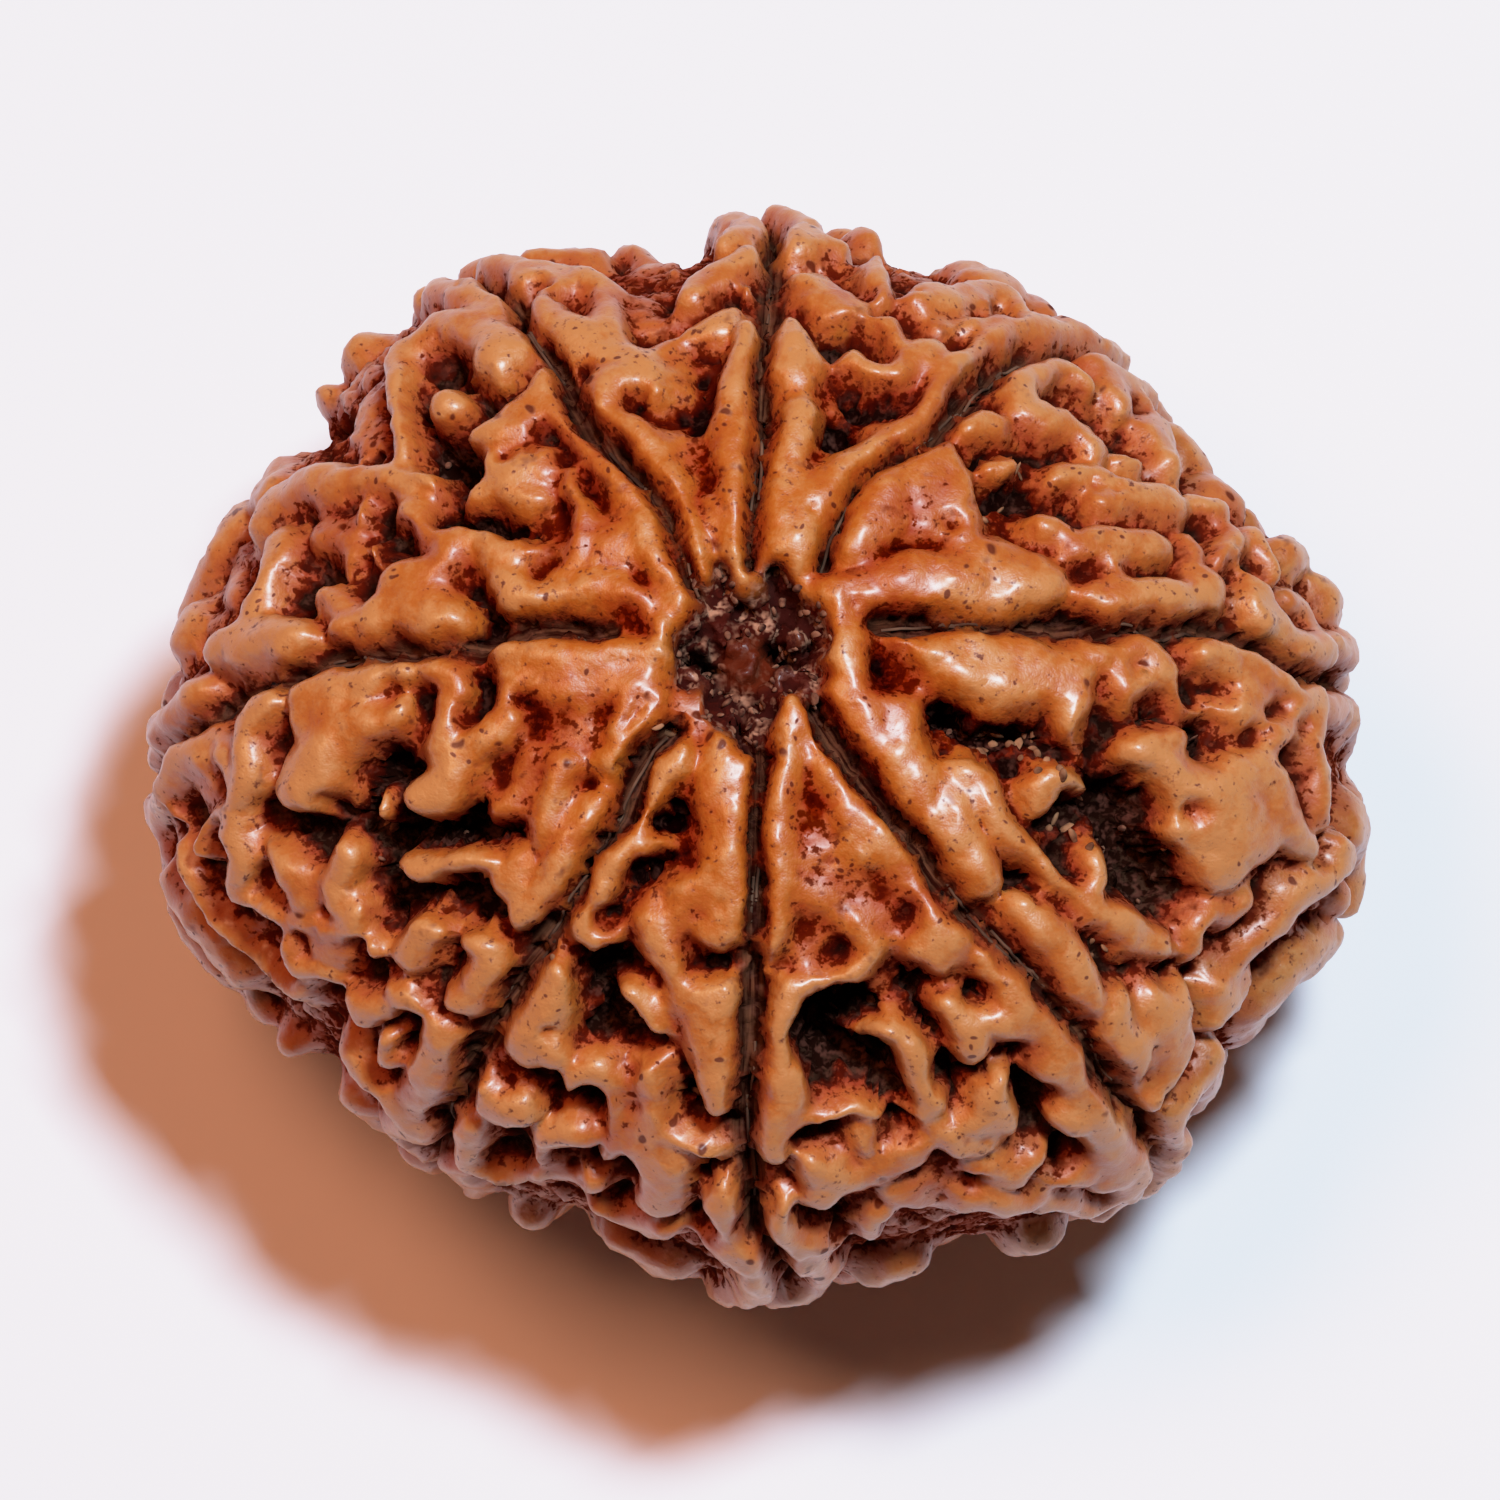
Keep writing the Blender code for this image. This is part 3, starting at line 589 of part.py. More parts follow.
def rounded_path(points, parts=3):
    """A stroke's points with `parts` smooth steps between each pair."""
    points = np.asarray(points, dtype=float)
    if len(points) < 3:
        return points
    ends = np.vstack([2.0 * points[0] - points[1], points, 2.0 * points[-1] - points[-2]])
    path = []
    for index in range(1, len(ends) - 2):
        before, start, end, after = ends[index - 1:index + 3]
        for along in np.arange(parts) / parts:
            path.append(start + 0.5 * along * (
                end - before
                + along * (2.0 * before - 5.0 * start + 4.0 * end - after
                           + along * (3.0 * (start - end) + after - before))
            ))
    path.append(points[-1])
    return np.array(path)


def laid_stroke(points):
    """A layout stroke as points on the outer form and their half widths."""
    path = rounded_path(points)
    return onto_form(path[:, :2]), path[:, 2]


def stroke_share(places, centres, half_widths):
    """Distance of places from a stroke as a share of its half width there: 1 at the stroke's edge."""
    share = np.full(len(places), np.inf)
    if len(centres) == 1:
        centres = np.vstack([centres, centres])
        half_widths = np.repeat(half_widths, 2)
    for start, end, wide, wide_end in zip(centres[:-1], centres[1:], half_widths[:-1], half_widths[1:]):
        run = end - start
        length = max(float(run @ run), 1e-9)
        along = np.clip((places - start) @ run / length, 0.0, 1.0)
        gap = np.linalg.norm(places - start - along[:, None] * run, axis=1)
        share = np.minimum(share, gap / (wide + along * (wide_end - wide)))
    return share


def near_stroke(places, centres, reach):
    """Indices of the places inside a stroke's box, widened by reach."""
    low = centres.min(axis=0) - reach
    high = centres.max(axis=0) + reach
    return np.flatnonzero(np.all((places > low) & (places < high), axis=1))


def smooth_max(first, second, blend):
    """The larger of two values, rounded where they meet."""
    mix = np.clip(0.5 + 0.5 * (first - second) / blend, 0.0, 1.0)
    return second + (first - second) * mix + blend * mix * (1.0 - mix)


def ground_depth(places, hollows):
    """Depth of the ground between folds: shallow by the upper pole, full towards the rim, deep in hollows."""
    out = np.hypot(places[:, 0], places[:, 1]) - SHALLOW_RADIUS
    spread = np.clip(out / (DEEP_RADIUS - SHALLOW_RADIUS), 0.0, 1.0)
    spread = np.where(places[:, 2] > 0.0, spread, 1.0)
    depth = FOLD_DEPTH_POLE + (FOLD_DEPTH_RIM - FOLD_DEPTH_POLE) * spread
    depth += ripple(places, np.random.default_rng(SEED + 1), *GROUND_RIPPLE)
    for centres, half_widths, floor in hollows:
        near = near_stroke(places, centres, half_widths.max() * HOLLOW_EDGE)
        share = stroke_share(places[near], centres, half_widths)
        bowl = np.clip((HOLLOW_EDGE - share) / (HOLLOW_EDGE - HOLLOW_FLOOR), 0.0, 1.0)
        bowl = bowl * bowl * (3.0 - 2.0 * bowl)
        depth[near] = np.maximum(depth[near], depth[near] - (floor + depth[near]) * bowl)
    return depth


def add_fold(height, depth, places, centres, half_widths, crest=0.0):
    """Raises one fold, with a full round section, over the ground."""
    wide = half_widths * FOLD_SPREAD
    near = near_stroke(places, centres, wide.max() + FOLD_BLEND)
    share = stroke_share(places[near], centres, wide)
    section = np.clip(1.0 - share ** FOLD_FULLNESS, 0.0, 1.0) ** (1.0 / FOLD_FULLNESS)
    outside = np.clip(share - 1.0, 0.0, None) * FOLD_SKIRT
    raised = -depth[near] + (crest + depth[near]) * section - outside
    height[near] = smooth_max(height[near], raised, FOLD_BLEND)


def cut_stroke(height, places, centres, half_widths, floor, slope):
    """Cuts one groove, notch or part of the pole's pit, with a flat floor and steep sides."""
    near = near_stroke(places, centres, CUT_REACH)
    share = stroke_share(places[near], centres, half_widths)
    wall = np.clip(share - 1.0, 0.0, None) * half_widths.mean()
    height[near] = -smooth_max(-height[near], -floor - slope * wall, CUT_BLEND)


def cut_pit(height, places, centre, radius, depth):
    """Sinks one rounded pit."""
    near = near_stroke(places, centre[None, :], PIT_REACH[0] * radius + PIT_REACH[1])
    share = np.linalg.norm(places[near] - centre, axis=1) / radius
    floor = -depth + PIT_ROUNDNESS * depth * share ** 2
    height[near] = -smooth_max(-height[near], -floor, PIT_BLEND)


def groove_meridian(start, generator):
    """The rest of a groove, from its last layout point down the far side to the foot."""
    azimuth = math.atan2(start[1], start[0])
    low = math.atan2(start[2], math.hypot(start[0], start[1]))
    wander = 0.0
    path = []
    foot = FOOT_RADIUS / LOWER_HEIGHT - math.pi / 2.0
    for lift in np.arange(low, foot, -MERIDIAN_STEP):
        flat = math.cos(lift)
        aim = np.array([flat * math.cos(azimuth + wander), flat * math.sin(azimuth + wander), math.sin(lift)])
        path.append(aim / form_level(aim[None, :])[0])
        wander = MERIDIAN_DRIFT * wander + generator.normal(0.0, MERIDIAN_WANDER)
    return np.array(path)


def notch_path(azimuth):
    """A notch's centreline on the outer form, from just above its widest belt down to below it."""
    lifts = np.radians(np.linspace(*NOTCH_LIFTS))
    flat = np.cos(lifts)
    aims = np.stack([flat * math.cos(azimuth), flat * math.sin(azimuth), np.sin(lifts)], axis=1)
    return aims / form_level(aims)[:, None]


class FoldGrowth:
    """Grows the folds of the unseen sides, keeping them clear of the strokes that are already placed."""

    def __init__(self, generator):
        self.generator = generator
        self.taken = np.empty((0, 3))
        self.taken_wide = np.empty(0)
        self.strokes = []

    def take(self, centres, half_widths):
        """Marks a stroke's ground as taken."""
        self.taken = np.vstack([self.taken, centres])
        self.taken_wide = np.append(self.taken_wide, half_widths)

    def clear(self, place, half_width):
        """Whether a fold this wide has room at a place."""
        gaps = np.linalg.norm(self.taken - place, axis=1) - self.taken_wide
        return gaps.min() > half_width + HIDDEN_FOLD_GAP

    def add(self, centres, half_widths, crest=0.0):
        """Keeps a new fold and takes its ground."""
        self.strokes.append((centres, half_widths, crest))
        self.take(centres, half_widths)

    def add_lips(self, meridian):
        """Folds along both sides of a groove, broken into lengths."""
        normals = form_normals(meridian)
        runs = np.gradient(meridian, axis=0)
        sideways = np.cross(normals, runs)
        sideways /= np.linalg.norm(sideways, axis=1, keepdims=True)
        for side in (-LIP_OFFSET, LIP_OFFSET):
            lip = meridian + side * sideways
            lip /= form_level(lip)[:, None]
            index = 0
            while index < len(lip) - 2:
                count = int(self.generator.integers(*LIP_POINTS))
                part = lip[index:index + count]
                wide = LIP_HALF_WIDTH * self.generator.uniform(*LIP_WIDTHS, len(part))
                self.add(part, wide, self.generator.uniform(*LIP_CREST))
                index += count + int(self.generator.integers(0, 2))

    def grow(self, place):
        """One winding fold from a free place, if there is room for it."""
        half_width = self.generator.uniform(*HIDDEN_FOLD_HALF_WIDTH)
        if not self.clear(place, half_width):
            return
        centres = [place]
        normal = form_normals(place[None, :])[0]
        heading = np.cross(normal, self.generator.normal(size=3))
        heading /= np.linalg.norm(heading)
        for _ in range(int(self.generator.integers(*HIDDEN_FOLD_POINTS))):
            turn = self.generator.normal(0.0, HIDDEN_FOLD_TURN)
            heading = heading * math.cos(turn) + np.cross(normal, heading) * math.sin(turn)
            ahead = centres[-1] + heading * HIDDEN_FOLD_STEP
            ahead /= form_level(ahead[None, :])[0]
            if not self.clear(ahead, half_width):
                break
            centres.append(ahead)
        wide = half_width * self.generator.uniform(*HIDDEN_FOLD_WIDTHS, len(centres))
        self.add(np.array(centres), wide, self.generator.uniform(*HIDDEN_FOLD_CREST))


def seen_share(places):
    """How squarely the outer form at places faces the layout's far point: 0 at its edge."""
    _, _, away = layout_axes()
    aims = -LAYOUT_DISTANCE * away - places
    aims /= np.linalg.norm(aims, axis=1, keepdims=True)
    return np.sum(form_normals(places) * aims, axis=1)


def spiral_places(count):
    """Evenly spread places on the outer form, along one spiral from pole to pole."""
    index = np.arange(count) + 0.5
    lift = np.arcsin(1.0 - 2.0 * index / count)
    turn = math.pi * (1.0 + math.sqrt(5.0)) * index
    aims = np.stack([np.cos(lift) * np.cos(turn), np.cos(lift) * np.sin(turn), np.sin(lift)], axis=1)
    return aims / form_level(aims)[:, None]


def ripple(places, generator, wavelength, size, waves=24):
    """A low seeded unevenness with bumps about one wavelength apart."""
    total = np.zeros(len(places))
    for _ in range(waves):
        aim = generator.normal(size=3)
        aim /= np.linalg.norm(aim)
        turn = 2.0 * math.pi / (wavelength * generator.uniform(0.7, 1.5))
        total += np.sin(places @ aim * turn + generator.uniform(0.0, 2.0 * math.pi))
    return size * total / math.sqrt(waves / 2.0)


def hidden_folds(laid_folds, grooves, meridians, notches, generator):
    """The folds of the far side and the underside."""
    growth = FoldGrowth(generator)
    for centres, half_widths, *_ in laid_folds + grooves:
        growth.take(centres, half_widths)
    for meridian in meridians:
        growth.take(meridian, np.full(len(meridian), GROOVE_HALF_WIDTH))
    for path, _ in notches:
        growth.take(path, np.full(len(path), NOTCH_HALF_WIDTH))
    for across, up, radius, _ in PITS:
        growth.take(onto_form([(across, up)]), np.array([radius]))
    for meridian in meridians:
        growth.add_lips(meridian)
    candidates = spiral_places(HIDDEN_FOLD_TRIES)
    free = candidates[seen_share(candidates) < SEEN_EDGE]
    for place in generator.permutation(free):
        growth.grow(place)
    return growth.strokes


def cut_grooves(height, places, grooves, meridians, notches):
    """Cuts the grooves, their far stretches and the notches of the widest belt."""
    for centres, half_widths in grooves:
        cut_stroke(height, places, centres, half_widths * GROOVE_NARROWING, -GROOVE_DEPTH, GROOVE_SLOPE)
    narrow = GROOVE_HALF_WIDTH * GROOVE_NARROWING
    for meridian in meridians:
        cut_stroke(height, places, meridian, np.full(len(meridian), narrow), -GROOVE_DEPTH, GROOVE_SLOPE)
    for path, depth in notches:
        cut_stroke(height, places, path, np.full(len(path), NOTCH_HALF_WIDTH), -depth, NOTCH_SLOPE)


def sink_pole_pit(height, places):
    """Sinks the ragged pit at the upper pole and leaves its bumps of pith standing."""
    for floor, points in POLE_PIT:
        centres, half_widths = laid_stroke(points)
        cut_stroke(height, places, centres, half_widths, floor, PIT_SLOPE)
    ground = np.full(len(places), PIT_GROUND)
    for crest, points in PITH_BUMPS:
        centres, half_widths = laid_stroke(points)
        add_fold(height, ground, places, centres, half_widths, crest)


def level_foot(height, places):
    """Fills the relief in around the foot, where the stone rests."""
    out = np.hypot(places[:, 0], places[:, 1]) / FOOT_RADIUS
    filled = np.clip(FOOT_FILL - out, 0.0, 1.0) * (places[:, 2] < 0.0)
    return height * (1.0 - filled)


def relief(places):
    """Height of the stone's surface above the outer form at places on that form."""
    generator = np.random.default_rng(SEED)
    bender = np.random.default_rng(SEED + 2)
    places = places + np.stack([ripple(places, bender, *WARP) for _ in range(3)], axis=1)
    places /= form_level(places)[:, None]
    depth = ground_depth(places, [(*laid_stroke(points), floor) for floor, points in HOLLOWS])
    height = -depth
    folds = [(*laid_stroke(points), crest) for crest, points in ALL_FOLDS]
    grooves = [laid_stroke(points) for points in GROOVES.values()]
    meridians = [groove_meridian(centres[0], generator) for centres, _ in grooves]
    notches = [(notch_path(math.radians(degrees)), notch_depth) for degrees, notch_depth in RIM_NOTCHES]
    folds += hidden_folds(folds, grooves, meridians, notches, generator)
    for centres, half_widths, crest in folds:
        add_fold(height, depth, places, centres, half_widths, crest)
    cut_grooves(height, places, grooves, meridians, notches)
    sink_pole_pit(height, places)
    for across, up, radius, pit_depth in PITS:
        cut_pit(height, places, onto_form([(across, up)])[0], radius, pit_depth)
    return level_foot(height, places)


def stone_mesh():
    """The stone's surface: a finely divided sphere drawn out to the form and its relief, in metres."""
    shape = bmesh.new()
    bmesh.ops.create_icosphere(shape, subdivisions=SPHERE_LEVEL, radius=1.0)
    aims = np.array([vertex.co[:] for vertex in shape.verts])
    places = aims / form_level(aims)[:, None]
    surface = places + form_normals(places) * relief(places)[:, None]
    surface[:, 2] += LOWER_HEIGHT - REST_CUT
    for vertex, place in zip(shape.verts, surface * MM):
        vertex.co = place
    for _ in range(SMOOTHINGS):
        bmesh.ops.smooth_vert(shape, verts=shape.verts, factor=0.5, use_axis_x=True, use_axis_y=True,
                              use_axis_z=True)
    mesh = bpy.data.meshes.new("rudraksha_stone")
    shape.to_mesh(mesh)
    shape.free()
    return mesh


def thinned(mesh):
    """The mesh with its triangles thinned out where the surface is flattest."""
    holder = bpy.data.objects.new("thinning", mesh)
    bpy.context.collection.objects.link(holder)
    thin = holder.modifiers.new("thin", "DECIMATE")
    thin.ratio = KEPT_TRIANGLES / len(mesh.polygons)
    thin.use_collapse_triangulate = True
    bpy.context.view_layer.update()
    kept = bpy.data.meshes.new_from_object(holder.evaluated_get(bpy.context.evaluated_depsgraph_get()))
    bpy.data.objects.remove(holder)
    bpy.data.meshes.remove(mesh)
    return kept


def cut_flat_foot(mesh):
    """Slices the foot off level at z = 0, with points close to the cut drawn onto it, and closes the cut."""
    shape = bmesh.new()
    shape.from_mesh(mesh)
    everything = shape.verts[:] + shape.edges[:] + shape.faces[:]
    bmesh.ops.bisect_plane(shape, geom=everything, dist=SNAP, plane_co=(0.0, 0.0, 0.0),
                           plane_no=(0.0, 0.0, -1.0), clear_outer=True, use_snap_center=True)
    edges = [edge for edge in shape.edges if edge.is_boundary]
    bmesh.ops.holes_fill(shape, edges=edges)
    bmesh.ops.triangulate(shape, faces=shape.faces[:])
    bmesh.ops.recalc_face_normals(shape, faces=shape.faces[:])
    shape.to_mesh(mesh)
    shape.free()


def shell_material():
    """Dry, oiled seed stone."""
    material = bpy.data.materials.new("oiled_seed_stone")
    material.use_nodes = True
    surface = material.node_tree.nodes["Principled BSDF"]
    surface.inputs["Base Color"].default_value = SHELL_COLOUR
    surface.inputs["Roughness"].default_value = SHELL_ROUGHNESS
    surface.inputs["Metallic"].default_value = 0.0
    return material


def build():
    """Builds the stone in an empty scene."""
    for item in list(bpy.data.objects):
        bpy.data.objects.remove(item)
    mesh = thinned(stone_mesh())
    cut_flat_foot(mesh)
    mesh.materials.clear()
    mesh.materials.append(shell_material())
    mesh.shade_smooth()
    stone = bpy.data.objects.new("rudraksha_stone", mesh)
    bpy.context.collection.objects.link(stone)


build()
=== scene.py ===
"""The rudraksha seed dressed for a close look: its folded woody surface, dry pith and fibres, and a plain studio."""

import logging
import math
from dataclasses import dataclass, field
from enum import Enum
from typing import Any

import bmesh
import bpy
import numpy as np
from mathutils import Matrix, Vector
from mathutils.bvhtree import BVHTree


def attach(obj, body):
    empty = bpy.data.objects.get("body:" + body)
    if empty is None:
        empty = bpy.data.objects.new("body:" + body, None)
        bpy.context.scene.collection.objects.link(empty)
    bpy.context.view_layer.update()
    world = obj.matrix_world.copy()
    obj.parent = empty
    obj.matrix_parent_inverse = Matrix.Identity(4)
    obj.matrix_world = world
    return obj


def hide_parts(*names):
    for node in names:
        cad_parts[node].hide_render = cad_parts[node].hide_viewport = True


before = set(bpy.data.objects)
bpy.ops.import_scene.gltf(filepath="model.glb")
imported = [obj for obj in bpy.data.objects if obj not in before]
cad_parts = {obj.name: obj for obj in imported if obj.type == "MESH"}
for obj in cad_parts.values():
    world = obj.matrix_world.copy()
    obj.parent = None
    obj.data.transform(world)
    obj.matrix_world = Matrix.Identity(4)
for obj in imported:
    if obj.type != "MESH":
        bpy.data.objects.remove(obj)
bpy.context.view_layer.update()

logging.basicConfig(level=logging.INFO, format="%(message)s")
LOG = logging.getLogger("rudraksha_seed")

MM = 0.001
SEED = 20
STONE_NODE = "rudraksha_stone"
BODY = "root"

Point = tuple[float, float, float]
Socket = bpy.types.NodeSocket


class Fold:
    """One raised fold: (across, up, half width) points in millimetres, and its crest against the outer form."""

    def __init__(self, *points: Point, crest: float = 0.0) -> None:
        """Keeps the points, in order, and the crest."""
        self.points, self.crest = points, crest


# Grooves, each from the rim to the pit at the pole, as (across, up, half width) points.
GROOVES = {
    "north": ((0.6, 8.2, 0.25), (0.6, 7.4, 0.25), (0.45, 6.5, 0.22), (0.4, 5.5, 0.2), (0.32, 4.5, 0.18),
              (0.25, 3.5, 0.16), (0.15, 2.5, 0.15), (0.1, 1.6, 0.15)),
    "north_east": ((6.9, 6.0, 0.18), (6.0, 6.0, 0.18), (5.4, 5.8, 0.18), (4.9, 5.35, 0.18), (4.4, 4.9, 0.18),
                   (3.95, 4.4, 0.18), (3.5, 4.0, 0.18), (3.1, 3.85, 0.18), (2.6, 3.5, 0.18), (2.2, 3.0, 0.2),
                   (1.95, 2.5, 0.2), (1.75, 2.1, 0.2), (1.6, 1.6, 0.2)),
    "east": ((10.6, 0.05, 0.2), (10.0, 0.2, 0.2), (9.3, 0.4, 0.2), (8.6, 0.25, 0.2), (8.0, 0.45, 0.2),
             (7.0, 0.35, 0.2), (6.0, 0.45, 0.18), (5.0, 0.4, 0.18), (4.3, 0.45, 0.18), (3.5, 0.5, 0.18),
             (2.6, 0.4, 0.15)),
    "south_east": ((8.3, -10.2, 0.3), (8.1, -9.8, 0.3), (7.8, -9.4, 0.3), (7.5, -9.0, 0.35), (7.1, -8.2, 0.2),
                   (6.4, -7.4, 0.2), (5.8, -6.8, 0.2), (5.2, -6.2, 0.2), (4.7, -5.7, 0.2), (4.2, -5.1, 0.2),
                   (3.8, -4.4, 0.18), (3.3, -3.8, 0.18), (2.8, -3.2, 0.18), (2.3, -2.6, 0.18),
                   (1.8, -1.9, 0.18), (1.4, -1.2, 0.18)),
    "south": ((0.2, -12.3, 0.3), (0.15, -11.3, 0.3), (-0.05, -10.0, 0.3), (0.1, -8.5, 0.25),
              (0.1, -7.4, 0.25), (0.15, -6.5, 0.2), (0.2, -5.5, 0.18), (0.25, -4.0, 0.15),
              (0.25, -2.3, 0.13), (0.1, -1.5, 0.13)),
    "south_west": ((-6.1, -9.6, 0.25), (-5.9, -9.3, 0.25), (-5.6, -8.6, 0.22), (-5.2, -7.8, 0.22),
                   (-5.0, -7.4, 0.22), (-4.6, -6.8, 0.22), (-4.1, -6.1, 0.2), (-3.6, -5.2, 0.2),
                   (-3.1, -4.5, 0.2), (-2.7, -3.8, 0.2), (-2.4, -2.9, 0.2), (-1.9, -2.1, 0.22),
                   (-1.4, -1.6, 0.22)),
    "west": ((-11.2, -1.7, 0.2), (-10.8, -1.2, 0.2), (-10.0, -0.9, 0.2), (-9.2, -0.6, 0.2), (-8.4, -0.2, 0.2),
             (-7.5, -0.15, 0.2), (-6.5, -0.1, 0.22), (-5.4, 0.0, 0.25), (-4.5, 0.3, 0.3), (-3.5, 0.3, 0.28),
             (-2.8, 0.35, 0.2)),
    "north_west": ((-4.6, 6.6, 0.15), (-4.2, 6.1, 0.15), (-3.8, 5.6, 0.15), (-3.5, 5.1, 0.2),
                   (-3.3, 4.7, 0.2), (-3.0, 4.3, 0.2), (-2.6, 3.85, 0.2), (-2.2, 3.5, 0.2),
                   (-1.9, 3.1, 0.2), (-1.6, 2.7, 0.18),
                   (-1.4, 2.3, 0.18), (-1.25, 1.8, 0.18), (-1.15, 1.4, 0.18), (-1.0, 1.0, 0.18)),
}

# Folds between the north and north-east grooves.
NORTH_FOLDS = (
    Fold((1.4, 8.15, 0.6), crest=0.1),
    Fold((1.3, 7.3, 0.5), (1.7, 7.0, 0.6), (2.0, 6.8, 0.45)),
    Fold((2.0, 7.8, 0.2), (2.35, 7.75, 0.2), crest=-0.3),
    Fold((2.7, 7.75, 0.28), (2.7, 7.3, 0.27), (2.65, 6.9, 0.2)),
    Fold((0.9, 6.45, 0.25), (1.0, 6.0, 0.35), (1.1, 5.6, 0.45), (1.15, 5.4, 0.4)),
    Fold((1.1, 4.6, 0.5), (0.95, 4.0, 0.4), (0.95, 3.4, 0.4), (0.85, 2.8, 0.35), (0.8, 2.2, 0.35), (0.85, 1.7, 0.3)),
    Fold((2.2, 5.7, 0.35), (2.5, 5.5, 0.3)),
    Fold((2.95, 5.4, 0.25), (3.4, 5.7, 0.35), (3.75, 5.95, 0.3)),
    Fold((2.6, 6.5, 0.2), (3.0, 6.4, 0.3), (3.1, 6.1, 0.25)),
    Fold((1.8, 5.0, 0.3), crest=-0.5),
    Fold((2.4, 4.4, 0.25), (2.7, 4.6, 0.2), crest=-0.3),
    Fold((3.3, 6.85, 0.25), (3.8, 6.95, 0.4), (4.5, 7.15, 0.35), (5.1, 7.15, 0.35), (5.5, 6.95, 0.3), (5.65, 6.7, 0.2)),
    Fold((3.9, 6.5, 0.3), crest=-0.2),
    Fold((4.9, 6.9, 0.18)),
    Fold((4.45, 6.5, 0.25), (4.9, 6.6, 0.25), (5.4, 6.45, 0.25)),
    Fold((1.1, 1.8, 0.3), (1.1, 2.3, 0.3), (1.3, 2.8, 0.35), (1.6, 3.2, 0.35), (2.0, 3.5, 0.35), (2.5, 3.85, 0.35),
        (3.1, 4.3, 0.35), (3.6, 4.8, 0.3), (4.0, 5.3, 0.3), (4.4, 5.7, 0.3), (4.9, 6.1, 0.3), (5.5, 6.35, 0.3),
        (6.1, 6.4, 0.3), (6.6, 6.35, 0.3)),
)

# Folds between the north-east and east grooves.
EAST_NORTH_FOLDS = (
    Fold((4.5, 4.35, 0.28), (4.8, 4.55, 0.3), (5.1, 4.4, 0.3)),
    Fold((5.5, 5.3, 0.4), (5.6, 4.8, 0.4), (5.9, 4.5, 0.4), (6.3, 4.45, 0.35), (6.6, 4.4, 0.3)),
    Fold((5.5, 5.3, 0.4), (6.0, 5.5, 0.35), (6.4, 5.6, 0.35), (6.8, 5.3, 0.3), (7.0, 5.1, 0.25)),
    Fold((4.9, 3.5, 0.2), (5.3, 3.6, 0.25)),
    Fold((7.1, 5.8, 0.25)),
    Fold((7.3, 5.6, 0.3), (7.55, 5.2, 0.4), (7.6, 4.9, 0.35)),
    Fold((7.65, 5.6, 0.25), (7.9, 5.3, 0.2), crest=-0.4),
    Fold((8.1, 4.9, 0.25), (8.3, 4.6, 0.25), (8.2, 4.3, 0.3)),
    Fold((8.5, 4.35, 0.3), (8.5, 4.0, 0.45), (8.5, 3.75, 0.35)),
    Fold((6.95, 4.3, 0.2), (6.95, 4.0, 0.25), (7.2, 3.95, 0.25)),
    Fold((7.7, 3.7, 0.15), (8.0, 3.7, 0.15)),
    Fold((6.2, 3.3, 0.3), (6.6, 3.45, 0.3), (7.2, 3.4, 0.3)),
    Fold((7.1, 2.85, 0.25), (7.7, 2.95, 0.4), (8.3, 3.0, 0.45), (8.7, 2.9, 0.35)),
    Fold((5.9, 2.4, 0.25), (6.3, 2.35, 0.25), (6.5, 2.3, 0.2)),
    Fold((6.8, 1.9, 0.4), (7.3, 1.95, 0.5), (8.0, 2.05, 0.4), (8.35, 2.1, 0.3)),
    Fold((7.4, 1.6, 0.35)),
    Fold((6.9, 0.95, 0.3), (7.5, 0.95, 0.35), (8.2, 0.95, 0.35), (8.9, 1.0, 0.45), (9.4, 1.1, 0.45)),
    Fold((9.0, 2.2, 0.25), (9.2, 1.9, 0.25), (9.1, 1.7, 0.2), crest=-0.2),
    Fold((9.2, 2.9, 0.3), (9.5, 2.8, 0.3)),
    Fold((9.8, 2.3, 0.3), (9.9, 2.0, 0.4), (9.8, 1.7, 0.3)),
    Fold((10.3, 2.2, 0.3), (10.6, 1.7, 0.25), (10.8, 1.3, 0.2)),
    Fold((10.4, 1.2, 0.3), (10.4, 0.8, 0.35), (10.6, 0.4, 0.25)),
    Fold((11.3, 1.0, 0.3), (11.6, 0.8, 0.3), (11.8, 0.4, 0.25), crest=-0.3),
    Fold((3.9, 3.75, 0.45), (3.4, 3.3, 0.5), (2.9, 2.8, 0.45), (2.5, 2.3, 0.4), (2.2, 1.9, 0.3)),
    Fold((4.2, 3.3, 0.4), (4.4, 2.8, 0.35), (4.5, 2.4, 0.3), (4.3, 2.15, 0.2)),
    Fold((3.7, 2.7, 0.5), crest=-0.1),
    Fold((1.8, 1.0, 0.3), (2.4, 1.1, 0.35), (3.0, 1.2, 0.45), (4.0, 1.3, 0.55), (5.0, 1.35, 0.65), (5.8, 1.35, 0.6)),
)

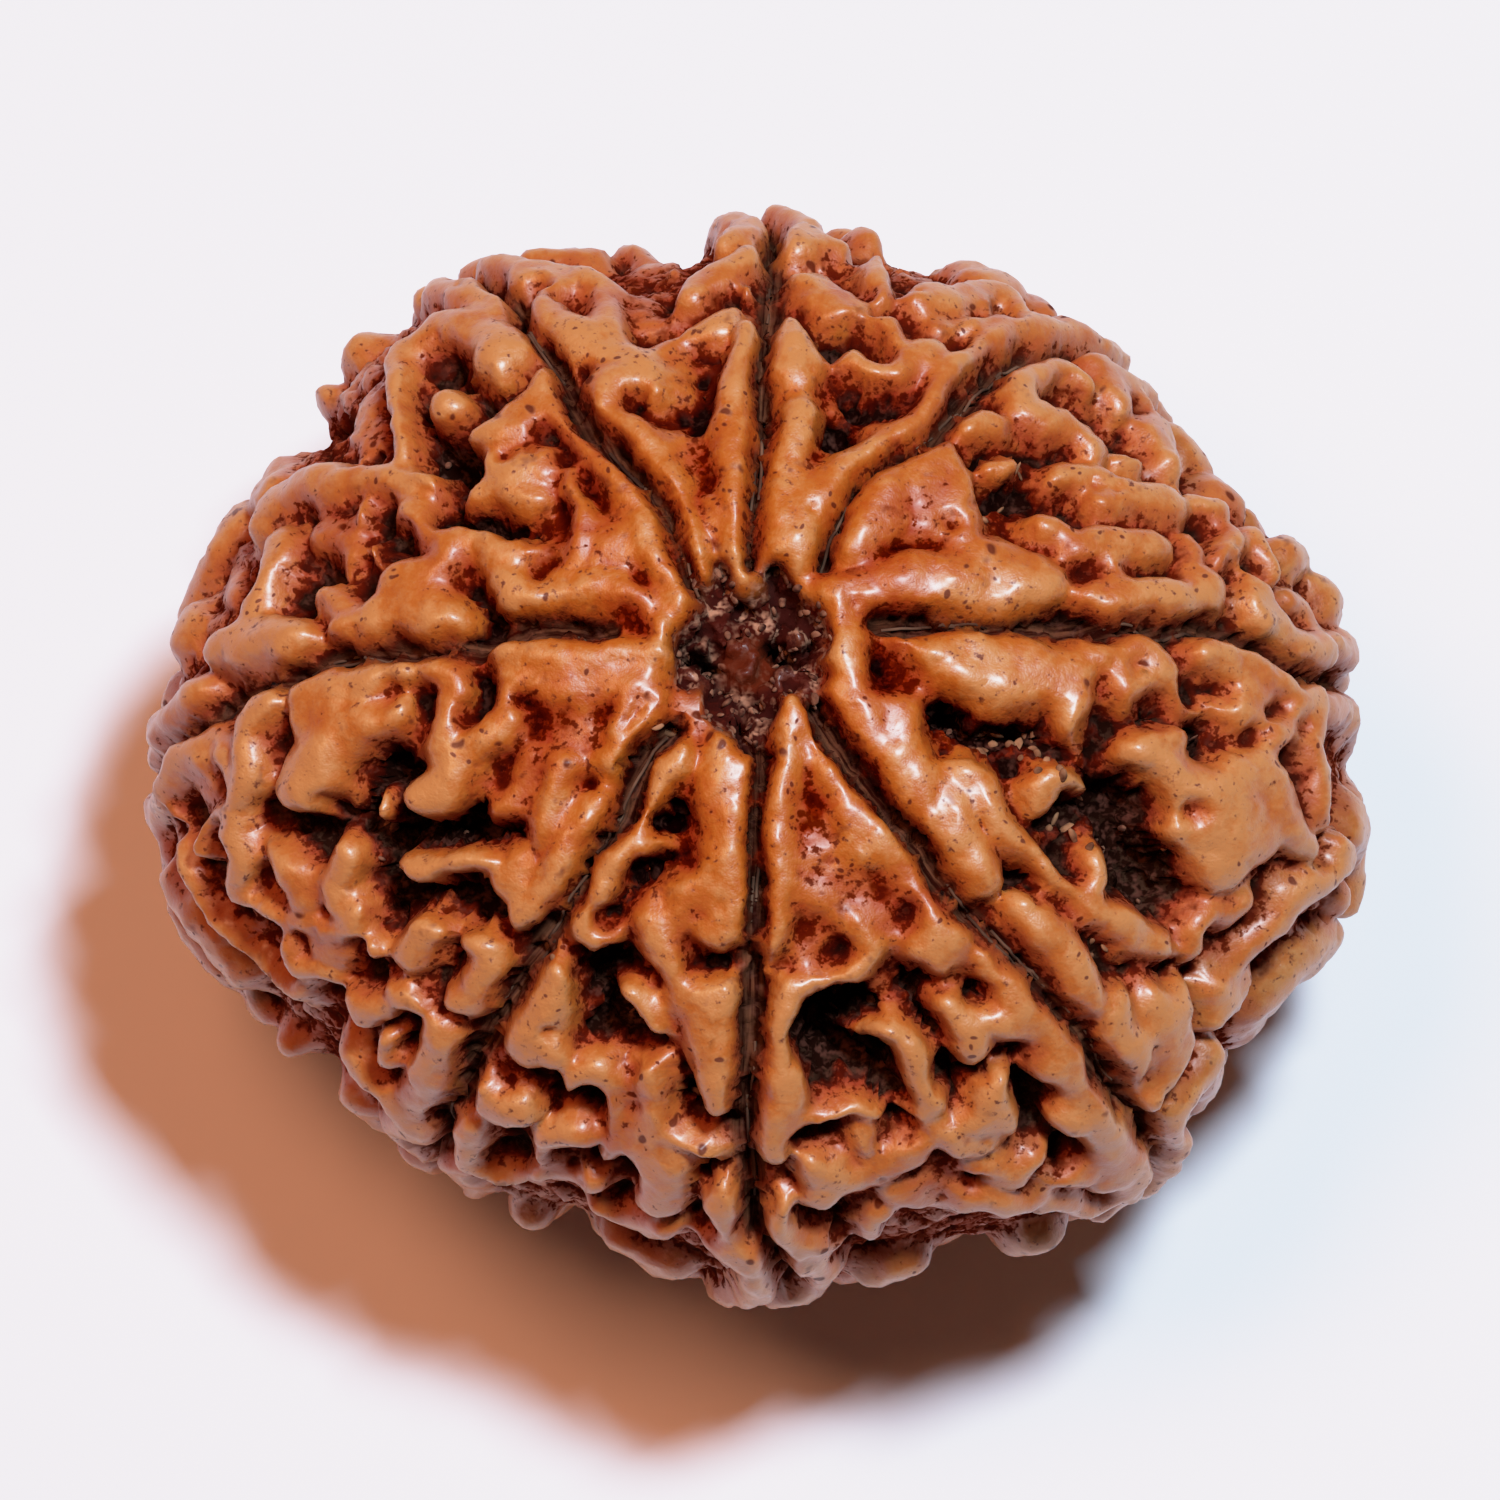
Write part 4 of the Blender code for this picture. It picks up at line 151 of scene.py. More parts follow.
# Folds between the east and south-east grooves.
EAST_SOUTH_FOLDS = (
    Fold((1.9, 0.3, 0.45), (2.0, -0.3, 0.4), (2.1, -0.9, 0.45), (2.4, -1.5, 0.4), (2.8, -2.0, 0.4), (3.2, -2.3, 0.5),
        (3.6, -2.8, 0.5), (4.0, -3.4, 0.5), (4.3, -4.0, 0.5), (4.6, -4.5, 0.45), (4.8, -4.7, 0.35)),
    Fold((2.6, -1.2, 0.4), (3.2, -1.6, 0.4), crest=-0.1),
    Fold((4.6, -3.2, 0.5), crest=-0.1),
    Fold((4.4, -2.6, 0.3), (4.9, -3.2, 0.3), (5.3, -3.8, 0.25), (5.8, -4.2, 0.25), (6.2, -4.7, 0.25), (6.6, -5.1, 0.25),
        (7.0, -5.4, 0.3), (7.7, -5.7, 0.3), (8.0, -5.9, 0.4), (8.4, -6.1, 0.35)),
    Fold((3.0, 0.0, 0.15), (3.5, -0.1, 0.3), (4.2, -0.3, 0.5), (5.0, -0.4, 0.6), (5.8, -0.5, 0.6), (6.3, -0.7, 0.5)),
    Fold((6.6, -0.5, 0.4), (6.7, -1.2, 0.35), (6.65, -1.7, 0.35)),
    Fold((7.0, -0.1, 0.35), (7.3, -0.3, 0.3), (7.55, -0.7, 0.3), (7.65, -1.05, 0.3)),
    Fold((7.8, -0.1, 0.4), (8.4, -0.4, 0.35), (8.6, -0.8, 0.3), (8.1, -0.8, 0.3)),
    Fold((9.2, -0.2, 0.25), (9.6, -0.15, 0.35), (10.1, -0.3, 0.45), (10.6, -0.6, 0.4), (10.9, -0.75, 0.25)),
    Fold((10.3, -1.1, 0.45), (10.0, -1.5, 0.3)),
    Fold((8.4, -1.0, 0.2), (8.9, -1.2, 0.2), (9.5, -1.25, 0.25), crest=-0.3),
    Fold((11.0, 0.2, 0.25), (11.4, 0.0, 0.35), (11.8, -0.3, 0.35), (12.0, -0.8, 0.3), (12.0, -1.2, 0.25), crest=-0.1),
    Fold((11.1, -1.2, 0.35), (11.6, -1.2, 0.35), (11.6, -1.7, 0.35)),
    Fold((11.0, -1.6, 0.35), (10.7, -1.9, 0.35)),
    Fold((11.5, -2.2, 0.4), (11.7, -2.7, 0.45), (11.7, -3.2, 0.4), (11.8, -3.6, 0.25)),
    Fold((7.8, -2.15, 0.35), (8.4, -2.05, 0.35), (8.8, -1.9, 0.3)),
    Fold((8.0, -2.3, 0.35), (8.4, -2.6, 0.4), (8.9, -2.8, 0.45), (9.5, -2.9, 0.5), (10.1, -2.8, 0.5), (10.5, -2.8, 0.6),
        (10.9, -3.3, 0.5), (11.2, -3.9, 0.4), (11.5, -4.2, 0.3)),
    Fold((8.7, -3.9, 0.3), (9.1, -4.0, 0.4), (9.6, -4.1, 0.5), (10.2, -4.2, 0.5)),
    Fold((8.9, -2.9, 0.5), (9.5, -3.3, 0.8), (9.9, -3.9, 0.85), (9.7, -4.5, 0.6), crest=0.1),
    Fold((9.5, -4.4, 0.6), (10.0, -4.5, 0.45)),
    Fold((10.0, -3.6, 0.6), (10.5, -3.9, 0.6)),
    Fold((12.1, -4.1, 0.3), (12.2, -4.5, 0.3), (11.7, -4.9, 0.4), (11.2, -5.3, 0.45), (10.8, -5.8, 0.45),
        (10.4, -6.2, 0.4), (10.0, -6.5, 0.3)),
    Fold((9.8, -5.6, 0.35), (10.2, -5.3, 0.3)),
    Fold((9.4, -5.5, 0.2), (9.1, -5.9, 0.25), (9.1, -6.3, 0.2)),
    Fold((8.7, -6.4, 0.2)),
    Fold((5.9, -2.8, 0.3), (6.3, -2.7, 0.3), (6.8, -2.9, 0.25), (7.1, -3.2, 0.15), crest=-0.1),
    Fold((6.1, -3.2, 0.3), crest=-0.2),
    Fold((7.1, -4.4, 0.3), (7.15, -4.8, 0.3), (7.0, -5.2, 0.3)),
    Fold((5.7, -5.4, 0.35), (6.1, -5.9, 0.4), (6.5, -6.4, 0.45), (6.8, -6.9, 0.45), (7.1, -7.3, 0.3)),
    Fold((8.3, -7.2, 0.3), (8.8, -7.2, 0.4), (8.6, -7.7, 0.5), (8.8, -8.2, 0.5), (8.7, -8.7, 0.35)),
    Fold((7.6, -7.2, 0.3), (7.6, -7.8, 0.4), (7.9, -8.2, 0.5), (8.0, -8.6, 0.35)),
    Fold((9.6, -7.0, 0.3), (9.9, -7.3, 0.4), (10.1, -7.0, 0.3)),
    Fold((9.6, -7.7, 0.3)),
    Fold((9.6, -8.3, 0.25), (9.4, -8.8, 0.4), (9.1, -9.2, 0.4), (8.8, -9.6, 0.4), (8.7, -9.9, 0.25)),
    Fold((8.4, -9.3, 0.3)),
    Fold((8.6, -10.3, 0.2)),
    Fold((4.2, -1.95, 0.2), (5.0, -2.25, 0.25), (5.9, -2.3, 0.2), (6.7, -2.15, 0.25), (7.3, -2.3, 0.2), crest=-0.9),
    Fold((6.5, -4.0, 0.25), crest=-0.7),
    Fold((7.6, -4.3, 0.2), crest=-0.8),
    Fold((8.05, -5.4, 0.2), crest=-0.8),
    Fold((7.1, -3.8, 0.25), crest=-0.8),
)

# Folds between the south-east and south grooves.
SOUTH_EAST_FOLDS = (
    Fold((0.9, -1.2, 0.2), (0.9, -2.0, 0.35), (0.75, -2.8, 0.35), (0.7, -3.6, 0.3), (0.7, -4.4, 0.35),
        (0.65, -5.2, 0.35), (0.6, -5.8, 0.3), (0.6, -6.2, 0.25)),
    Fold((1.3, -1.6, 0.2), (1.8, -2.6, 0.4), (2.2, -3.2, 0.5), (2.6, -3.8, 0.55), (3.0, -4.3, 0.55), (3.4, -4.8, 0.45),
        (3.7, -5.1, 0.3)),
    Fold((1.4, -2.6, 0.3), (1.6, -3.6, 0.55), (1.9, -4.4, 0.75), (2.2, -5.0, 0.8), crest=-0.28),
    Fold((2.3, -5.7, 0.5), (3.0, -5.6, 0.5), (3.6, -6.0, 0.45), crest=-0.25),
    Fold((1.2, -5.7, 0.45), (1.7, -6.3, 0.5), (1.4, -6.9, 0.4), crest=-0.3),
    Fold((2.6, -11.3, 0.6), (4.0, -11.1, 0.75), (5.4, -10.9, 0.75), crest=-0.4),
    Fold((7.6, -7.6, 0.6), (8.3, -8.2, 0.7), (8.2, -9.0, 0.6), crest=-0.35),
    Fold((2.2, -4.2, 0.5), (2.6, -4.7, 0.5), crest=-0.2),
    Fold((3.85, -5.6, 0.4), (3.9, -6.05, 0.6), (4.2, -5.9, 0.45), crest=0.1),
    Fold((1.2, -5.1, 0.35), (1.7, -5.3, 0.35), crest=-0.1),
    Fold((2.1, -5.8, 0.3), (2.5, -6.1, 0.3), (2.4, -6.5, 0.3)),
    Fold((2.1, -6.7, 0.3), (1.6, -6.8, 0.35), (1.1, -7.0, 0.4), (0.8, -7.5, 0.35), (0.65, -7.9, 0.3),
        (0.75, -8.3, 0.3)),
    Fold((0.75, -8.8, 0.45), (0.8, -9.4, 0.5), (0.7, -10.0, 0.4), (0.55, -10.5, 0.3)),
    Fold((4.8, -6.5, 0.3), (5.2, -6.9, 0.35), (5.7, -7.4, 0.4), (6.2, -7.9, 0.5), (6.7, -8.3, 0.5), (7.0, -9.0, 0.5),
        (7.3, -9.6, 0.6), (7.5, -10.2, 0.6), (7.6, -10.8, 0.5)),
    Fold((6.2, -8.5, 0.5), (6.4, -8.9, 0.4)),
    Fold((4.1, -7.3, 0.3), (4.4, -7.8, 0.35), (4.6, -8.3, 0.35)),
    Fold((4.9, -7.6, 0.3), (5.4, -7.8, 0.3)),
    Fold((2.0, -8.05, 0.15), (2.5, -7.9, 0.2), (3.0, -7.95, 0.25), (3.3, -8.3, 0.3), (3.6, -8.8, 0.35),
        (3.8, -9.3, 0.35), (3.5, -9.6, 0.3)),
    Fold((1.5, -9.6, 0.2), (2.1, -9.5, 0.25), (2.6, -9.5, 0.25)),
    Fold((2.4, -10.0, 0.3), (2.4, -10.4, 0.2)),
    Fold((1.4, -10.5, 0.3), (1.8, -10.9, 0.5), (1.6, -11.3, 0.4)),
    Fold((2.3, -10.9, 0.45), (2.8, -10.7, 0.4), (3.3, -10.4, 0.3), (3.6, -10.1, 0.2)),
    Fold((0.75, -11.4, 0.2), (0.75, -11.9, 0.3), (1.0, -12.3, 0.5), (1.4, -12.3, 0.4)),
    Fold((1.7, -12.6, 0.25), (2.0, -12.4, 0.2), crest=-0.2),
    Fold((2.8, -11.6, 0.25), (2.5, -11.8, 0.35), (2.6, -12.1, 0.3)),
    Fold((3.2, -11.2, 0.4), (3.8, -11.4, 0.45), (4.3, -11.5, 0.3), crest=-0.1),
    Fold((4.7, -11.2, 0.35), (5.3, -11.4, 0.4), (5.9, -11.3, 0.35)),
    Fold((6.3, -10.9, 0.35), (6.9, -10.9, 0.35)),
    Fold((0.35, -1.8, 0.2), (0.9, -3.2, 0.4), (1.5, -4.5, 0.55), crest=-0.2),
    Fold((5.1, -8.9, 0.2), (4.9, -9.3, 0.35), (5.1, -9.7, 0.45), (5.3, -9.8, 0.3)),
    Fold((4.6, -9.7, 0.4)),
    Fold((4.0, -9.9, 0.3), (4.3, -10.2, 0.25), (5.0, -10.3, 0.15)),
    Fold((5.9, -10.4, 0.25), (5.7, -10.8, 0.35), (5.2, -10.8, 0.3), (4.6, -10.7, 0.25)),
    Fold((6.3, -9.6, 0.25), (6.6, -9.7, 0.3)),
    Fold((5.9, -11.6, 0.2), (6.4, -11.4, 0.35), (7.0, -11.5, 0.3), (7.6, -11.2, 0.25)),
)

# Folds between the south and south-west grooves.
SOUTH_WEST_FOLDS = (
    Fold((-1.3, -2.3, 0.3), (-1.7, -2.8, 0.35), (-2.1, -3.5, 0.3), (-2.4, -4.1, 0.3), (-2.7, -4.7, 0.3),
        (-3.1, -5.3, 0.3), (-3.3, -5.8, 0.35), (-3.1, -6.1, 0.3), (-2.7, -6.1, 0.2)),
    Fold((-2.6, -5.7, 0.15), (-2.2, -5.4, 0.2), (-1.8, -5.0, 0.2), (-1.5, -4.7, 0.15), crest=-0.2),
    Fold((-2.1, -4.1, 0.2), (-1.6, -4.1, 0.2)),
    Fold((-1.9, -3.2, 0.35)),
    Fold((-0.35, -2.3, 0.35), (-0.4, -3.2, 0.45), (-0.45, -4.1, 0.45), (-0.5, -5.0, 0.5), (-0.5, -5.7, 0.5)),
    Fold((-1.2, -5.0, 0.3), (-1.4, -5.5, 0.3)),
    Fold((-2.0, -5.6, 0.3), (-1.75, -6.2, 0.35), (-1.5, -6.8, 0.4), (-1.1, -7.3, 0.5), (-0.7, -7.3, 0.4),
        (-0.45, -7.0, 0.25)),
    Fold((-0.9, -7.6, 0.5), (-0.7, -8.4, 0.45), (-0.65, -9.0, 0.45), (-0.6, -9.3, 0.4)),
    Fold((-2.4, -7.1, 0.25), (-2.1, -7.5, 0.25), (-1.8, -7.9, 0.25)),
    Fold((-3.8, -6.7, 0.3), (-3.9, -7.2, 0.45), (-4.2, -7.7, 0.5), (-4.5, -8.2, 0.5)),
    Fold((-4.0, -8.4, 0.4)),
    Fold((-5.3, -9.1, 0.25), (-5.4, -9.4, 0.35), (-5.0, -9.6, 0.4), (-4.6, -9.4, 0.35), (-4.4, -9.6, 0.3)),
    Fold((-5.7, -10.2, 0.25), (-5.5, -10.6, 0.2), (-5.1, -10.9, 0.15), (-4.6, -11.05, 0.12), (-4.2, -10.8, 0.15),
        (-4.1, -10.4, 0.2)),
    Fold((-4.0, -10.15, 0.3), (-3.6, -10.1, 0.35), (-3.3, -10.0, 0.25)),
    Fold((-3.9, -11.0, 0.2), (-3.6, -10.9, 0.4), (-3.2, -11.0, 0.35)),
    Fold((-3.0, -11.5, 0.3), (-2.4, -11.8, 0.4), (-1.7, -12.0, 0.4)),
    Fold((-8.8, -7.7, 0.35), (-8.4, -8.1, 0.35)),
    Fold((-8.1, -8.4, 0.35), (-7.7, -8.9, 0.4)),
    Fold((-7.2, -9.3, 0.4), (-6.9, -9.8, 0.35)),
    Fold((-3.55, -9.2, 0.2), (-3.4, -8.8, 0.3), (-3.0, -8.7, 0.35), (-2.7, -9.0, 0.25), (-2.6, -9.4, 0.2),
        (-2.7, -10.2, 0.2), (-2.9, -10.5, 0.15)),
    Fold((-1.95, -8.7, 0.25), (-2.0, -9.2, 0.3), (-1.95, -9.7, 0.3), (-2.0, -10.2, 0.5), (-1.8, -10.6, 0.5),
        (-1.8, -11.0, 0.45), (-1.9, -11.4, 0.4)),
    Fold((-1.7, -10.0, 0.2), (-1.2, -10.2, 0.2), (-0.75, -10.4, 0.27)),
    Fold((-0.45, -11.2, 0.25), (-0.5, -11.6, 0.45), (-0.4, -12.0, 0.45)),
    Fold((-0.8, -12.3, 0.3), (-0.3, -12.6, 0.3), (0.0, -12.5, 0.15), crest=-0.2),
    Fold((-1.3, -12.0, 0.2), crest=-0.3),
)

# Folds between the south-west and west grooves.
WEST_SOUTH_FOLDS = (
    Fold((-5.0, -0.25, 0.25), (-4.4, -0.25, 0.3), (-3.6, -0.3, 0.35), (-2.9, -0.2, 0.35), (-2.3, -0.15, 0.3),
        (-1.8, -0.1, 0.3), (-1.5, -0.2, 0.25)),
    Fold((-4.6, -0.9, 0.4), (-3.8, -0.8, 0.5), (-3.0, -0.8, 0.5), (-2.2, -0.7, 0.4), crest=-0.05),
    Fold((-1.9, -1.1, 0.25), (-2.0, -1.6, 0.2), (-2.3, -2.0, 0.25), (-2.8, -2.4, 0.25)),
    Fold((-2.5, -1.3, 0.15), (-2.7, -1.8, 0.15)),
    Fold((-3.5, -1.8, 0.5), (-3.8, -2.6, 0.5), crest=-0.2),
    Fold((-4.7, -1.2, 0.3), (-4.8, -1.7, 0.35), (-5.2, -2.0, 0.35), (-5.7, -2.5, 0.4), (-6.2, -2.9, 0.4),
        (-6.6, -3.2, 0.4)),
    Fold((-6.3, -0.6, 0.35), (-5.9, -0.65, 0.3), (-5.9, -1.1, 0.35), (-6.0, -1.6, 0.4), (-6.2, -2.1, 0.4)),
    Fold((-2.9, -3.2, 0.2), (-3.2, -3.6, 0.35), (-3.5, -4.2, 0.4), (-3.9, -4.8, 0.45), (-4.3, -5.3, 0.35),
        (-4.6, -5.75, 0.15)),
    Fold((-4.6, -4.6, 0.5), (-4.9, -4.9, 0.35), crest=-0.1),
    Fold((-4.1, -3.8, 0.25), (-3.8, -3.1, 0.3), (-3.6, -2.5, 0.3)),
    Fold((-5.1, -3.5, 0.3), (-4.7, -3.4, 0.3), (-4.5, -3.0, 0.25), (-4.3, -2.4, 0.3), crest=-0.15),
    Fold((-6.9, -4.6, 0.35), (-6.4, -4.55, 0.3), (-6.0, -4.5, 0.25), (-5.6, -4.4, 0.25), (-5.3, -4.4, 0.25)),
    Fold((-8.7, -1.0, 0.5), (-8.2, -0.9, 0.5), (-7.5, -0.8, 0.4), (-7.0, -0.7, 0.3)),
    Fold((-8.8, -1.6, 0.5), (-8.2, -1.7, 0.5), (-7.5, -1.6, 0.4), (-7.1, -1.4, 0.3)),
    Fold((-8.5, -2.2, 0.5), (-8.8, -2.7, 0.6), (-8.95, -3.0, 0.6), crest=0.1),
    Fold((-9.5, -1.2, 0.2), (-9.9, -1.5, 0.4), (-10.1, -2.0, 0.4), (-10.1, -2.9, 0.35), (-10.3, -3.4, 0.35),
        (-10.4, -3.9, 0.4), (-10.3, -4.5, 0.4), (-10.3, -5.0, 0.35)),
    Fold((-10.9, -1.8, 0.3), (-10.6, -2.1, 0.35), crest=-0.3),
    Fold((-11.1, -2.25, 0.2), (-11.6, -2.35, 0.25), (-11.85, -2.8, 0.2), (-11.8, -3.3, 0.15), (-11.65, -3.65, 0.12)),
    Fold((-11.2, -2.8, 0.5), crest=-0.35),
    Fold((-10.7, -2.3, 0.15), (-10.5, -2.8, 0.15), (-10.5, -3.2, 0.15), (-10.9, -3.5, 0.15), (-11.0, -3.9, 0.15),
        (-11.1, -4.4, 0.2)),
    Fold((-11.5, -4.1, 0.15), (-11.3, -4.7, 0.25), (-11.1, -5.2, 0.25), (-10.8, -5.7, 0.25), (-10.4, -6.1, 0.2)),
    Fold((-9.5, -4.4, 0.4), (-9.2, -4.8, 0.45), (-9.0, -5.2, 0.4)),
    Fold((-8.15, -4.1, 0.25), (-8.0, -4.5, 0.4), (-8.1, -4.8, 0.35), (-8.3, -5.2, 0.3), (-8.0, -5.5, 0.35),
        (-7.8, -5.5, 0.3)),
    Fold((-8.6, -5.0, 0.35), crest=-0.2),
    Fold((-7.45, -3.15, 0.15), (-7.4, -3.6, 0.2), crest=-0.2),
    Fold((-6.5, -5.9, 0.4), (-6.8, -6.3, 0.5)),
    Fold((-7.6, -6.15, 0.2), (-7.5, -6.4, 0.2)),
    Fold((-10.3, -5.2, 0.2), (-9.7, -5.5, 0.2), (-9.0, -5.7, 0.2), (-8.4, -5.8, 0.2), (-7.9, -5.8, 0.2)),
    Fold((-8.5, -6.3, 0.5), crest=-0.2),
    Fold((-9.2, -6.0, 0.2), (-9.1, -6.6, 0.25), (-8.5, -6.9, 0.25)),
    Fold((-10.5, -6.1, 0.15), (-10.0, -6.5, 0.15), (-9.5, -6.9, 0.2), (-9.1, -7.2, 0.2), (-8.6, -7.1, 0.2),
        (-8.0, -7.3, 0.2), (-7.4, -7.4, 0.2)),
    Fold((-8.2, -7.5, 0.2), (-7.7, -7.6, 0.15)),
    Fold((-7.0, -7.2, 0.35), (-6.6, -7.4, 0.3)),
    Fold((-5.6, -6.1, 0.3), (-5.2, -6.3, 0.35), (-5.3, -6.8, 0.4), (-5.6, -7.2, 0.35), (-5.9, -7.2, 0.3)),
    Fold((-6.2, -7.9, 0.35), (-6.3, -8.4, 0.4), (-6.5, -8.9, 0.4)),
    Fold((-7.25, -8.1, 0.25), (-7.3, -8.5, 0.3)),
    Fold((-7.0, -9.6, 0.25), (-6.8, -9.9, 0.3), (-6.6, -10.1, 0.2)),
    Fold((-11.5, -0.8, 0.3), (-11.4, -1.2, 0.3), (-11.5, -1.7, 0.2), crest=-0.4),
)

# Folds between the west and north-west grooves.
WEST_NORTH_FOLDS = (
    Fold((-4.9, 1.2, 0.35), (-4.6, 0.95, 0.35), (-4.0, 0.95, 0.3), (-3.3, 1.05, 0.25), (-2.7, 1.1, 0.25),
        (-2.3, 1.0, 0.2), (-1.9, 0.75, 0.2), (-1.6, 0.5, 0.2), (-1.45, 0.1, 0.2)),
    Fold((-5.2, 1.7, 0.3), (-4.8, 1.8, 0.3), (-4.3, 1.9, 0.25)),
    Fold((-3.6, 1.5, 0.35), (-2.8, 1.5, 0.3), crest=-0.15),
    Fold((-2.3, 0.4, 0.3), crest=-0.35),
    Fold((-3.6, 4.6, 0.35), (-3.2, 4.2, 0.4), (-2.9, 3.8, 0.4), (-2.5, 3.3, 0.4), (-2.2, 2.8, 0.4), (-1.9, 2.3, 0.35),
        (-1.7, 1.8, 0.35), (-1.5, 1.3, 0.3), (-1.3, 0.9, 0.25)),
    Fold((-3.6, 3.4, 0.18), (-3.5, 3.0, 0.18), (-3.3, 2.6, 0.18), (-3.3, 2.1, 0.18), (-3.4, 1.7, 0.15)),
    Fold((-2.6, 2.0, 0.6), crest=-0.1),
    Fold((-5.4, 3.1, 0.3), (-4.8, 3.1, 0.35), (-4.3, 3.0, 0.35), crest=-0.1),
    Fold((-5.8, 2.1, 0.3), (-5.3, 2.1, 0.25)),
    Fold((-8.3, 0.3, 0.3), (-7.7, 0.5, 0.4), (-7.0, 0.8, 0.5), (-6.4, 0.7, 0.5), (-5.8, 0.6, 0.4)),
    Fold((-7.2, 1.3, 0.35), (-6.7, 1.0, 0.5)),
    Fold((-7.1, 1.5, 0.3), (-6.4, 1.5, 0.3), (-5.9, 1.8, 0.35), (-6.1, 2.2, 0.3), (-6.4, 2.4, 0.35), (-6.8, 2.7, 0.4)),
    Fold((-7.5, 2.05, 0.17), (-7.55, 1.7, 0.12)),
    Fold((-8.6, 1.0, 0.3), (-8.2, 0.8, 0.35), (-8.0, 0.5, 0.4), crest=-0.15),
    Fold((-8.6, 2.5, 0.4), (-8.2, 2.3, 0.4), (-8.0, 1.9, 0.3), crest=-0.3),
    Fold((-9.7, 2.8, 0.5), (-9.2, 3.1, 0.45), (-8.7, 3.3, 0.4), (-8.0, 3.3, 0.4), (-7.3, 3.35, 0.35), (-6.7, 3.35, 0.3),
        (-6.2, 3.3, 0.25)),
    Fold((-7.8, 2.7, 0.3)),
    Fold((-9.5, 2.1, 0.45), (-9.6, 1.7, 0.45), (-9.75, 1.2, 0.3), (-10.0, 0.7, 0.35)),
    Fold((-10.7, -0.1, 0.4), (-10.1, 0.05, 0.5), (-9.5, 0.05, 0.45), (-9.05, 0.2, 0.25)),
    Fold((-10.6, 2.0, 0.3), (-10.8, 1.5, 0.25), (-10.75, 1.0, 0.2), crest=-0.5),
    Fold((-11.1, 0.2, 0.25), crest=-0.6),
    Fold((-6.9, 3.9, 0.27), (-7.1, 4.5, 0.27), (-7.15, 5.2, 0.3), (-6.95, 5.9, 0.4), (-6.4, 6.35, 0.42),
        (-5.8, 6.4, 0.45), (-5.3, 6.2, 0.45), (-4.8, 5.9, 0.4)),
    Fold((-4.95, 5.8, 0.45), crest=0.1),
    Fold((-6.1, 4.85, 0.45)),
    Fold((-7.5, 5.8, 0.35), (-7.85, 5.3, 0.35), (-8.0, 4.85, 0.35), (-7.9, 4.3, 0.3), (-7.6, 3.95, 0.25), crest=-0.6),
    Fold((-4.5, 4.6, 0.5), (-4.9, 4.3, 0.35), (-5.5, 4.15, 0.25)),
    Fold((-3.9, 4.9, 0.4), (-3.9, 5.4, 0.3), (-4.2, 5.0, 0.35)),
    Fold((-4.3, 3.6, 0.4), (-5.0, 3.6, 0.3)),
)

# Folds between the north-west and north grooves.
NORTH_WEST_FOLDS = (
    Fold((-2.5, 4.4, 0.4), (-2.0, 4.2, 0.4), (-1.75, 3.7, 0.35), (-1.5, 3.2, 0.3), (-1.3, 2.7, 0.25), (-1.1, 2.3, 0.2),
        (-0.95, 1.8, 0.15), (-0.9, 1.2, 0.12)),
    Fold((-1.3, 3.6, 0.4), (-1.2, 4.2, 0.4), crest=-0.25),
    Fold((-0.02, 6.35, 0.22), (-0.08, 5.9, 0.25), (-0.25, 5.2, 0.35), (-0.25, 4.4, 0.35), (-0.2, 3.6, 0.3),
        (-0.2, 2.8, 0.25), (-0.2, 2.1, 0.2), (-0.1, 1.5, 0.15)),
    Fold((-0.6, 2.8, 0.2), (-0.6, 2.4, 0.15), crest=-0.2),
    Fold((-2.55, 5.45, 0.4), (-2.8, 5.1, 0.45), (-2.9, 4.85, 0.3)),
    Fold((-2.3, 5.8, 0.4), (-2.0, 5.4, 0.35), (-1.8, 5.1, 0.25)),
    Fold((-4.3, 6.7, 0.35), (-3.7, 6.4, 0.45), (-3.2, 6.2, 0.5), (-2.8, 6.0, 0.45)),
    Fold((-4.0, 6.2, 0.35), (-3.8, 5.8, 0.3), (-3.6, 5.6, 0.25)),
    Fold((-4.4, 7.3, 0.2), (-4.1, 7.6, 0.3), (-3.5, 7.5, 0.3), (-3.0, 7.2, 0.35), (-2.75, 6.8, 0.35), (-2.6, 6.3, 0.4)),
    Fold((-5.8, 7.1, 0.45), (-5.2, 7.3, 0.4), (-4.8, 7.1, 0.35), (-4.6, 6.7, 0.25)),
    Fold((-2.8, 7.2, 0.3), (-2.3, 7.0, 0.35), (-1.9, 6.75, 0.3), (-1.6, 6.7, 0.25), crest=-0.4),
    Fold((-1.7, 6.0, 0.25), (-1.3, 6.1, 0.25), (-0.9, 6.3, 0.3), (-0.4, 6.7, 0.3), crest=-0.2),
    Fold((-1.5, 5.7, 0.35), (-1.3, 5.2, 0.25), crest=-0.3),
    Fold((-1.2, 6.95, 0.3), (-0.8, 7.3, 0.35), (-0.3, 7.6, 0.4), (0.1, 7.85, 0.35)),
    Fold((-0.5, 8.0, 0.25), (-0.1, 8.25, 0.25), (0.25, 8.3, 0.2)),
    Fold((0.0, 7.2, 0.2)),
)

